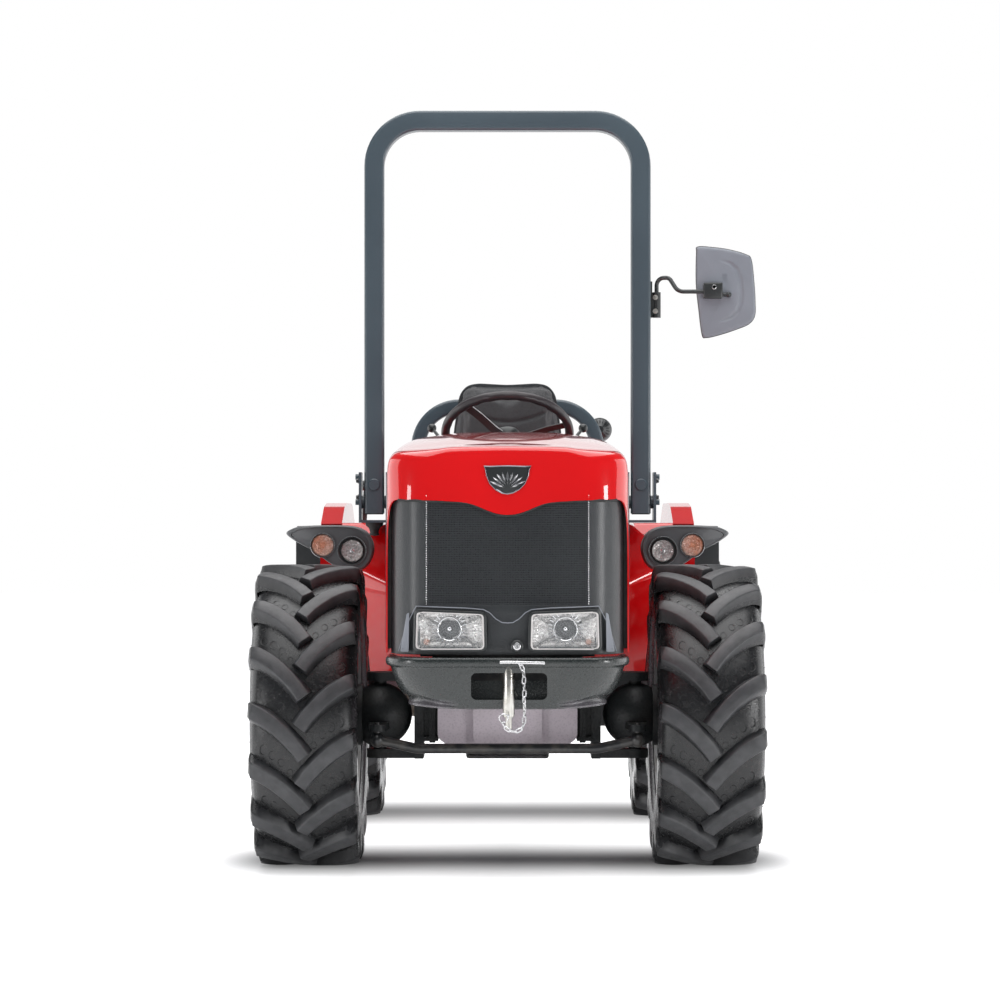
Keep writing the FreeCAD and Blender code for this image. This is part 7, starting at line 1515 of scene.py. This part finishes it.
# %% Bracket, bolts and the rest cone
dress("bar_paint", "roll_bar_mount")
mount_low, mount_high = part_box("roll_bar_mount")
spots = [((side * (mount_high.x - 0.010), BAR_Y + dy, z), "+X" if side > 0 else "-X") for side in (1, -1)
         for z in (1.045, 1.095) for dy in (-0.026, 0.026)]
bolts("bracket_bolts", spots, "chassis", "frame_black", 0.0060, 0.007)
CONE = [(0.0, 0.0), (0.0, 0.026), (-0.006, 0.028), (-0.014, 0.026), (-0.022, 0.017), (-0.034, 0.013),
        (-0.044, 0.016), (-0.046, 0.0)]
keep(turned("rest_cone", CONE, (-LEG, BAR_Y, mount_low.z + 0.372), "boot_rubber", 28, "Z"), "chassis")
print("roll bar dressed")

# %% [markdown]
# ## The mirror
# The mirror's shell is moulded in grey plastic: a shallow dome over a soft trapezoid, with a
# crescent pressed into it for stiffness. The dome is rings of points shrinking inwards; the
# crescent is a dent whose depth falls off with the distance from a line. The arm ends in a
# clamp on the shell's front, with a ball stud beside it.


# %% A smooth loop through points
def smooth_loop(points, steps=5):
    loop = []
    for i in range(len(points)):
        a, b, c, d = (Vector(points[(i + k - 1) % len(points)]) for k in range(4))
        for s in range(steps):
            t = s / steps
            loop.append(0.5 * ((2 * b) + (c - a) * t + (2 * a - 5 * b + 4 * c - d) * t * t +
                               (3 * b - a - 3 * c + d) * t**3))
    return loop


# %% Mirror shell
head_low, head_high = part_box("mirror_head")
HEAD_X, HEAD_Z, HEAD_WIDE, HEAD_TALL = 0.5775, 1.5330, 0.1805, 0.2780
head_shares = [(0.03, 1.0), (0.31, 0.992), (0.56, 0.968), (0.83, 0.918), (0.935, 0.855), (0.985, 0.575),
               (1.0, 0.40), (0.995, 0.246), (0.903, 0.155), (0.71, 0.098), (0.413, 0.034), (0.175, 0.0),
               (0.10, 0.034), (0.045, 0.304), (0.0, 0.594), (0.004, 0.93)]
head_outline = smooth_loop([(HEAD_X + u * HEAD_WIDE, 0.0, HEAD_Z + v * HEAD_TALL) for u, v in head_shares], 7)
head_middle = Vector((HEAD_X + HEAD_WIDE * 0.50, 0.0, HEAD_Z + HEAD_TALL * 0.50))
crescent = [(HEAD_X + u * HEAD_WIDE, HEAD_Z + v * HEAD_TALL)
            for u, v in ((0.41, 0.845), (0.57, 0.815), (0.69, 0.745), (0.745, 0.64), (0.757, 0.50),
                         (0.745, 0.37), (0.69, 0.285), (0.56, 0.215), (0.39, 0.17))]


def dent(x, z):
    """The crescent: deepest along its line, and shallower towards its two ends."""
    spot, best = Vector((x, z)), 0.0
    for k, (a, b) in enumerate(zip(crescent, crescent[1:])):
        a, b = Vector(a), Vector(b)
        t = min(1.0, max(0.0, (spot - a).dot(b - a) / (b - a).length_squared))
        along = (k + t) / (len(crescent) - 1)
        width = 0.0024 + 0.0040 * math.sin(math.pi * along) ** 0.7
        away = (spot - a - (b - a) * t).length
        best = max(best, 0.0042 * min(1.0, 3.2 * math.sin(math.pi * along)) / (1 + (away / width) ** 6))
    return best


front_y = head_high.y - 0.0262
# each ring: its share of the outline, and its depth behind the dome's top
DOME_RINGS, DOME_RISE = 46, 0.0042
shell_levels = [(0.955, 0.0255), (0.985, 0.0235), (1.0, 0.0190), (1.0, 0.0135), (0.990, 0.0085),
                (0.970, 0.0058), (0.945, 0.0046)]
for i in range(1, DOME_RINGS + 1):
    shell_levels.append((0.945 - 0.93 * i / DOME_RINGS,
                         DOME_RISE - DOME_RISE * math.sin(i / DOME_RINGS * math.pi / 2)))
shell_rows = []
for share, depth in shell_levels:
    ring_points = []
    for p in shrunk(head_outline, share, head_middle):
        ring_points.append((p.x, front_y + depth + (dent(p.x, p.z) if depth < 0.0043 else 0.0), p.z))
    shell_rows.append(ring_points)
shell = make("mirror_shell", solid(shell_rows), "mirror_grey", 45)
edge_loop = [(p.x, front_y + 0.0165, p.z) for p in shrunk(head_outline, 1.0, head_middle)]
edge = make("mirror_edge", sweep(edge_loop, rounded(0.0020, 0.0130, 0.0009, 2), up=(0, 1, 0), closed=True),
            "satin_black")
glass_rows = [[(p.x, front_y + 0.0258 + 0.0004 * (1 - s), p.z)
               for p in shrunk(head_outline, s * 0.94, head_middle)] for s in (1.0, 0.66, 0.33, 0.01)]
glass = make("mirror_face", solid(glass_rows), "mirror_glass", 60)
marks = row("mirror_marks", block((-0.0075, 0.0, -0.0010), (0.0075, 0.0016, 0.0010)), 5, "mirror_grey",
            start=(0.6640, front_y - 0.0006, 1.7040), step=(0, 0, 0.0056))
keep(merged("mirror_case", shell, edge, glass, marks), "roll_bar", "mirror_head")

# %% Clamp, ball stud and the arm
dress("satin_black", "mirror_arm")
arm_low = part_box("mirror_arm")[0]
clamp = edged(make("clamp", block((0.598, head_low.y + 0.002, 1.6505), (0.6560, front_y + 0.003, 1.6990)),
                   "satin_black"), 0.004, 3)
hole_collar = turned("hole_collar", [(0.003, 0.0), (0.003, 0.0075), (-0.0012, 0.0070), (-0.0016, 0.0055),
                                     (0.0, 0.0050), (0.0, 0.0)], (0.6300, head_low.y + 0.002, 1.6850),
                     "bright_steel", 24)
stud = wire("stud", [(0.640, front_y - 0.010, 1.6635), (0.672, front_y - 0.010, 1.6630)], 0.0062,
            "satin_black", 16)
ball = turned("ball", [(-0.0088 * math.cos(a), 0.0088 * math.sin(a))
                       for a in (math.pi * i / 12 for i in range(13))], (0.6750, front_y - 0.010, 1.6630),
              "satin_black", 24, "X")
keep(merged("mirror_clamp", clamp, hole_collar, stud, ball), "roll_bar")
print("mirror rings:", len(shell_rows))
bolts("mirror_bolts", [((arm_low.x + 0.014, arm_low.y + 0.018, arm_low.z + z), "-Y") for z in (0.018, 0.060)],
      "roll_bar", "zinc", 0.0055, 0.005)

# %% [markdown]
# ## The seat
# The seat is foam under vinyl. The foam swells between the seams, which no hand-drawn curve
# gets right, so each pad starts a little too thin, is remeshed into an even skin, and is
# inflated with the Cloth simulation for twenty frames. A cap keeps any point from moving too
# far. The sewn channels are pressed in afterwards, and a welt is laid round the edge.


# %% Inflate a pad
PAD_VOXEL, PAD_PRESSURE, PAD_FRAMES = 0.0065, 4.0, 20
SEAM = 0.150  # the two long seams' distance from the middle


def inflated(piece, voxel, cap, hold):
    """Swells a closed skin with cloth pressure; hold(point) marks what may not move."""
    baked(piece, ("REMESH", {"mode": "VOXEL", "voxel_size": voxel}))
    before = [v.co.copy() for v in piece.data.vertices]
    pinned = piece.vertex_groups.new(name="held")
    pinned.add([i for i, p in enumerate(before) if hold(p)], 1.0, "REPLACE")
    cloth = piece.modifiers.new("swell", "CLOTH")
    cloth.settings.quality = 5
    cloth.settings.mass = 0.3
    cloth.settings.use_pressure = True
    cloth.settings.uniform_pressure_force = PAD_PRESSURE
    cloth.settings.effector_weights.gravity = 0
    cloth.settings.vertex_group_mass = "held"
    for frame_number in range(1, PAD_FRAMES + 1):
        bpy.context.scene.frame_set(frame_number)
    after = bpy.data.meshes.new_from_object(piece.evaluated_get(bpy.context.evaluated_depsgraph_get()))
    piece.modifiers.clear()
    for vertex, old, new in zip(piece.data.vertices, before, after.vertices):
        step = new.co - old
        vertex.co = old + step * min(1.0, cap / max(step.length, 1e-9))
    bpy.data.meshes.remove(after)
    bpy.context.scene.frame_set(1)
    return baked(piece, ("SMOOTH", {"factor": 0.5, "iterations": 3}))


def slab(outline, levels):
    """A pad: an outline of (across, along) points at (height, share) levels."""
    cx = sum(p[0] for p in outline) / len(outline)
    cy = sum(p[1] for p in outline) / len(outline)
    return solid([[(cx + (x - cx) * share, cy + (y - cy) * share, z) for x, y in outline]
                  for z, share in levels])


def rounded_plan(low_x, high_x, low_y, high_y, front_radius, back_radius, steps=6):
    points = []
    for cx, cy, start, radius in ((high_x, high_y, 0, back_radius), (low_x, high_y, 90, back_radius),
                                  (low_x, low_y, 180, front_radius), (high_x, low_y, 270, front_radius)):
        sx, sy = (1 if cx > 0 else -1), (1 if cy == high_y else -1)
        points += arc(cx - sx * radius, cy - sy * radius, radius, start, 90, steps)
    return points


# %% Cushion
cushion_low, cushion_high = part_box("seat_cushion")
plan = rounded_plan(cushion_low.x + 0.014, cushion_high.x - 0.014, cushion_low.y + 0.012,
                    cushion_high.y - 0.012, 0.075, 0.045)
height = cushion_high.z - cushion_low.z
levels = [(0.002, 0.97), (0.010, 1.0), (height * 0.62, 1.0), (height * 0.76, 0.965), (height * 0.80, 0.90)]
levels = [(cushion_low.z + up, share) for up, share in levels]
cushion = make("seat_cushion_pad", slab(plan, levels), "seat_vinyl")
inflated(cushion, PAD_VOXEL, 0.017, hold=lambda p: p.z < cushion_low.z + 0.008)


def press(piece, depth_at, direction):
    """Pushes a pad in along its sewn lines."""
    for vertex in piece.data.vertices:
        vertex.co += Vector(direction) * depth_at(vertex.co)


def channel(distance, width, depth):
    return depth * math.exp(-((distance / width) ** 2))


mid_y = (cushion_low.y + cushion_high.y) / 2


def cushion_seams(p):
    if p.z < cushion_low.z + height * 0.6:
        return 0.0
    bolster = 0.012 * min(1.0, max(0.0, (SEAM - abs(p.x)) / 0.03))
    lines = channel(abs(p.x) - SEAM, 0.006, 0.008)
    if abs(p.x) < SEAM:
        lines = max(lines, *(channel(p.y - y, 0.005, 0.006)
                             for y in (mid_y - 0.09, mid_y - 0.01, mid_y + 0.07)))
    return bolster + lines


press(cushion, cushion_seams, (0, 0, -1))
baked(cushion, subdivision(1), smooth=80)
keep(cushion, "chassis", "seat_cushion")
welt_z = cushion_low.z + height * 0.60
welt = [(x * 1.062, mid_y + (y - mid_y) * 1.062, welt_z) for x, y in plan]
keep(wire("cushion_welt", welt, 0.0042, "boot_rubber", 8, closed=True), "chassis")

# %% Backrest
back_low, back_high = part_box("seat_back")
half_wide = back_high.x
half_back = [(0.0, 1.4310), (0.055, 1.4335), (0.100, 1.4350), (0.134, 1.4270), (0.155, 1.4060),
             (0.165, 1.3800), (0.170, 1.3450), (0.181, 1.270), (0.189, 1.150), (0.188, 1.030), (0.174, 0.955),
             (0.140, 0.926), (0.070, 0.920), (0.0, 0.919)]
back_outline = [(p.x, p.z) for p in smooth_loop([(x, 0.0, z) for x, z in both_sides(half_back)], 4)]
back_rows = []
centre_z = (back_low.z + back_high.z) / 2
for y, share in ((back_high.y - 0.004, 0.95), (back_high.y - 0.014, 0.995), (back_low.y + 0.030, 0.995),
                 (back_low.y + 0.020, 0.96), (back_low.y + 0.016, 0.90)):
    back_rows.append([(x * share, y - 0.016 * (abs(x) / half_wide) ** 3 + 0.010,
                       centre_z + (z - centre_z) * share) for x, z in back_outline])
backrest = make("seat_back_pad", solid(back_rows), "seat_vinyl")
inflated(backrest, PAD_VOXEL, 0.016, hold=lambda p: p.y > back_high.y - 0.004)


def back_seams(p):
    if p.y > (back_low.y + back_high.y) / 2:
        return 0.0
    smile = back_high.z - 0.136 + 1.9 * p.x * p.x
    lines = channel(p.z - smile, 0.005, 0.009)
    if p.z < smile and abs(p.x) < 0.14:
        lines = max(lines, *(channel(p.z - z, 0.005, 0.006)
                             for z in (back_high.z - 0.26, back_high.z - 0.34, back_high.z - 0.42)))
    return lines + channel(abs(p.x) - SEAM, 0.006, 0.007) * (p.z < smile)


press(backrest, back_seams, (0, 1, 0))
baked(backrest, subdivision(1), smooth=80)
keep(backrest, "chassis", "seat_back")
tray_rows = [[(x * s, back_high.y - 0.006 + d, centre_z + (z - centre_z) * s) for x, z in back_outline]
             for s, d in ((1.0, -0.010), (1.005, 0.0), (0.98, 0.005), (0.6, 0.006), (0.02, 0.006))]
keep(make("seat_back_tray", solid(tray_rows), "grained_black", 40), "chassis")
dress("grained_black", "seat_base")
print("seat:", len(cushion.data.polygons) + len(backrest.data.polygons), "faces")

# %% [markdown]
# ## Steering wheel
# The rim is a tube whose underside is moulded into finger grips, so its radius ripples. Three
# pressed spokes with rolled edges meet a hub with a domed cap, and a thin bright steel bead on
# one edge of each spoke is a painted highlight. Everything is drawn flat and then tilted with
# the column.

# %% Rim, spokes and hub
steer = next(j for j in frame["joints"] if j["name"] == "steering_turn")
lean = Vector((0, 0, 1)).rotation_difference(Vector(steer["axis"])).to_matrix().to_4x4()
tilt = Matrix.Translation(Vector(steer["pos_m"])) @ lean
RIM, RIM_STEPS, GRIPS, SPOKES = 0.196, 144, 24, 3
SPOKE_TURN, NEXT_SPOKE = (0, 0, math.radians(227)), (0, 0, 2 * math.pi / SPOKES)
rim_rows = []
for i in range(RIM_STEPS):
    a = 2 * math.pi * i / RIM_STEPS
    grip = 0.0009 * math.cos(GRIPS * a)
    points = []
    for u, v in ring(1.0, 16):
        ripple = grip * (v < 0)
        out = RIM + (0.0138 + ripple) * u
        points.append((out * math.cos(a), out * math.sin(a), (0.0150 + ripple) * v))
    rim_rows.append(points)
rim = make("rim", skin(rim_rows, wrap=True, loop=True), "wheel_skin", 60)
spoke_line = [(0.030, 0, -0.022), (0.070, 0, -0.019), (0.130, 0, -0.006), (0.178, 0, -0.001), (0.192, 0, 0.0)]
spoke = sweep(spoke_line, [(0.0135, -0.0012), (0.0135, 0.0018), (0.0110, 0.0030), (0.0090, 0.0012),
                           (-0.0090, 0.0012), (-0.0110, 0.0030), (-0.0135, 0.0018), (-0.0135, -0.0012)])
spokes = row("spokes", moved(spoke, turn=SPOKE_TURN), SPOKES, "frame_black", turn=NEXT_SPOKE)
# painted highlight: a bright steel bead along one raised edge of each spoke
highlight_line = [(x, 0.0125, z + 0.0028) for x, _, z in spoke_line]
highlight_bead = moved(sweep(highlight_line, ring(0.0020, 8)), turn=SPOKE_TURN)
edges = row("spoke_edges", highlight_bead, SPOKES, "bright_steel", turn=NEXT_SPOKE)
hub = make("hub", lathe([(-0.125, 0.0), (-0.125, 0.019), (-0.040, 0.021), (-0.032, 0.036), (-0.020, 0.040),
                         (-0.006, 0.040), (-0.001, 0.037), (0.003, 0.026), (0.005, 0.0)], 40, "Z"),
           "satin_black")
cap_ring = wire("cap_ring", [(x, y, 0.0016) for x, y in ring(0.031, 40)], 0.0011, "bright_steel", 6,
                closed=True)
whole_wheel = merged("steering_wheel_rim", rim, spokes, edges, hub, cap_ring)
whole_wheel.data.transform(tilt)
keep(whole_wheel, "steering_wheel", "steering_wheel")
print(f"steering wheel: {2 * RIM:.3f} across the rim's centre line")

# %% [markdown]
# ## Light pods
# A pod is a leaf of grey plastic with a round inner end and a tip that runs out over the
# tyre. A lamp well is sunk into it for each lens. The outline is a smooth loop through a few
# points; the face is that loop shrunk towards its middle.

# %% Leaf and lamps
pod_low, pod_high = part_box("light_pods")
# each lamp: name, place across, height, lens radius, rim radius, lens finish
LAMPS = [("clear", 0.4815, 0.8800, 0.0350, 0.0430, "clear_lens"),
         ("amber", 0.5725, 0.8965, 0.0345, 0.0365, "amber_lens")]
leaf = [(0.6885, 0.9330), (0.6690, 0.9480), (0.6350, 0.9560), (0.5600, 0.9590), (0.4800, 0.9560),
        (0.4380, 0.9400), (0.4150, 0.9080), (0.4145, 0.8700), (0.4340, 0.8330), (0.4720, 0.8145),
        (0.5130, 0.8200), (0.5560, 0.8440), (0.5960, 0.8760), (0.6330, 0.8950), (0.6640, 0.9120)]


def leaf_loop(side):
    """The leaf's outline on one side, and its middle."""
    return smooth_loop([(side * x, 0, z) for x, z in leaf]), Vector((side * 0.535, 0, 0.890))


# %% One pod with its two lamps
def pod(side):
    name = "left" if side > 0 else "right"
    front, rear = pod_low.y, pod_high.y
    outline, middle = leaf_loop(side)
    rows = []
    levels = [(0.90, rear), (0.97, rear - 0.012), (1.0, rear - 0.040), (1.0, front + 0.018),
              (0.992, front + 0.009), (0.97, front + 0.003), (0.94, front + 0.0005), (0.90, front + 0.001),
              (0.88, front + 0.0045), (0.6, front + 0.0055), (0.02, front + 0.006)]
    for share, y in levels:
        rows.append([(p.x, y + 0.030 * max(0.0, (abs(p.x) - 0.60) / 0.09) ** 1.5, p.z)
                     for p in shrunk(outline, share, middle)])
    body = make("pod_body", solid(rows), "pod_grey", 45)
    parts = [body]
    for lamp, x, z, radius, rim_radius, look in LAMPS:
        place = (side * x, front + 0.003, z)
        well = lathe([(0.040, 0.0), (0.040, rim_radius), (-0.02, rim_radius), (-0.02, 0.0)], 40, "Y")
        cut(body, moved(well, place))
        collar = [(0.030, radius - 0.001), (-0.001, radius - 0.0005), (-0.0030, radius + 0.0006),
                  (0.0, radius + 0.0020), (0.0005, rim_radius - 0.0028), (-0.0045, rim_radius - 0.0018),
                  (-0.0050, rim_radius + 0.0004), (0.004, rim_radius + 0.0012)]
        parts.append(turned("collar", collar, place, "satin_black", 48))
        bowl_profile = [(0.006, radius - 0.002), (0.014, radius * 0.9), (0.024, radius * 0.66),
                        (0.031, radius * 0.36), (0.034, 0.0)]
        bowl_rows = [[(r * math.sin(a), y + 0.0022 * math.sin(3 * k + 6 * a) * (r > 0.002), r * math.cos(a))
                      for a in (2 * math.pi * i / 24 for i in range(24))]
                     for k, (y, r) in enumerate(bowl_profile)]
        parts.append(make("bowl", moved(skin(bowl_rows, wrap=True), place), "lamp_silver", 0))
        bulb = [(0.034, 0.010), (0.010, 0.0095), (0.004, 0.007), (0.002, 0.0)]
        parts.append(turned("bulb", bulb, place, "amber_lens" if lamp == "amber" else "bright_steel", 20))
        rim_line = [(x, -0.0042, z) for z, x in ring(rim_radius + 0.0010, 48)]
        rim_wire = sweep(rim_line, ring(0.0010, 6), up=(0, 1, 0), closed=True)
        parts.append(make("rim_wire", moved(rim_wire, place), "chrome"))
        dome = [(0.0, radius - 0.0012), (-0.0015, radius * 0.93), (-0.0035, radius * 0.66),
                (-0.0050, radius * 0.34), (-0.0055, 0.0)]
        keep(turned(f"{lamp}_lens_{name}", dome, place, look, 48, "Y", 60), "chassis")
    keep(merged(f"light_pod_{name}", *parts), "chassis", *(["light_pods", "front_lamps"] if side > 0 else []))


pod(1)
pod(-1)
print("pods:", len(LAMPS), "lamps in each")

# %% The footplate, notched where the pods stand in front of it
shape = frame["nodes"]["platform"].data.copy()
footplate = bpy.data.objects.new("footplate", shape)
bpy.context.scene.collection.objects.link(footplate)
footplate.matrix_world = frame["nodes"]["platform"].matrix_world
for side in (1, -1):
    loop, middle = leaf_loop(side)
    cut(footplate, solid([[(p.x, y, p.z) for p in shrunk(loop, 1.02, middle)]
                          for y in (-0.3, pod_low.y + 0.02)]))
footplate.data.materials.clear()
footplate.data.materials.append(finishes["red_lacquer"])
footplate["look"] = "red_lacquer"
keep(footplate, "chassis", "platform")
print("footplate faces:", len(footplate.data.polygons))

# %% [markdown]
# ## Hoop and work lamp
# The low hoop behind the seat is square tube like the roll bar, only smaller, so the same
# function sweeps it. The work lamp on it looks back at the implement, and the cooling fins on
# its case are one fin turned about the lamp's axis.

# %% Rear hoop
hoop_low, hoop_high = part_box("rear_hoop")
hoop_tube = hoop_high.y - hoop_low.y
hoop_leg = hoop_high.x - hoop_tube / 2
hoop = square_arch("hoop_tube", hoop_low, hoop_high, (hoop_low.y + hoop_high.y) / 2, hoop_tube, 0.010)
feet = [edged(make("foot", block((s * hoop_leg - 0.040, hoop_low.y - 0.012, hoop_low.z),
                                 (s * hoop_leg + 0.036, hoop_high.y + 0.006, hoop_low.z + 0.007)),
                   "bar_paint"), 0.002) for s in (1, -1)]
keep(merged("rear_hoop_tube", hoop, *feet), "chassis", "rear_hoop")
bolts("hoop_bolts", [((s * hoop_leg - 0.034, hoop_low.y - 0.004, hoop_low.z + 0.007), "+Z") for s in (1, -1)],
      "chassis", "zinc", 0.006, 0.006)
lamp_low, lamp_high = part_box("work_lamp")
lamp_mid = (lamp_low + lamp_high) / 2
lamp_radius, FINS = (lamp_high.z - lamp_low.z) / 2, 18
housing = [(-0.034, 0.0), (-0.034, 0.012), (-0.030, 0.016), (-0.020, lamp_radius * 0.72),
           (-0.004, lamp_radius * 0.94), (0.016, lamp_radius), (0.030, lamp_radius),
           (0.033, lamp_radius * 0.96), (0.033, lamp_radius * 0.88), (0.024, lamp_radius * 0.86)]
bowl = [(0.026, lamp_radius * 0.88), (0.012, lamp_radius * 0.7), (0.002, lamp_radius * 0.4), (-0.002, 0.0)]
glass = [(0.028, lamp_radius * 0.89), (0.032, lamp_radius * 0.6), (0.034, 0.0)]
fins = row("lamp_fins", block((-0.0012, -0.026, 0.0), (0.0012, -0.012, lamp_radius * 0.8)), FINS,
           "satin_black", turn=(0, 2 * math.pi / FINS, 0))
fins.data.transform(Matrix.Translation(lamp_mid))
case = turned("case", housing, lamp_mid, "satin_black", 48)
silver = turned("bowl", bowl, lamp_mid, "chrome", 24, "Y", 0)
keep(merged("work_lamp_case", case, silver, fins), "chassis", "work_lamp")
keep(turned("work_lamp_glass", glass, lamp_mid, "clear_lens", 40, "Y", 60), "chassis")
print(f"hoop {2 * hoop_high.x:.3f} wide, lamp with {FINS} fins")

# %% [markdown]
# ## CAD parts that only need a finish
# Housings, plates and links are right as they are, and a new mesh would add nothing. Each gets
# the paint or plating that such a part has.

# %% Finishes on CAD parts
dress("axle_iron", "front_axle_beam", "left_knuckle", "right_knuckle")
dress("cast_grey", "front_differential", "gearbox", "rear_axle", "lift_cover")
dress("engine_iron", "engine_block")
dress("frame_black", "front_frame", "belly_plate", "radiator", "steps", "pedals", "lower_links", "lift_arms",
      "tow_hitch", "pto", "link_brackets", "tie_rod")
dress("satin_black", "levers", "dashboard", "fuel_tank")
dress("grained_black", "fender_flares")
dress("zinc", "lift_rods", "top_link")
dress("red_lacquer", "seat_deck", "fender_left", "fender_right")
dress("red_lens", "rear_lamps")
dress("warm_steel", "exhaust")
undressed = [n for n, o in frame["nodes"].items()
             if not any(m and m.name in finishes for m in o.data.materials)]
print("still without a finish (replaced ones only):", undressed)
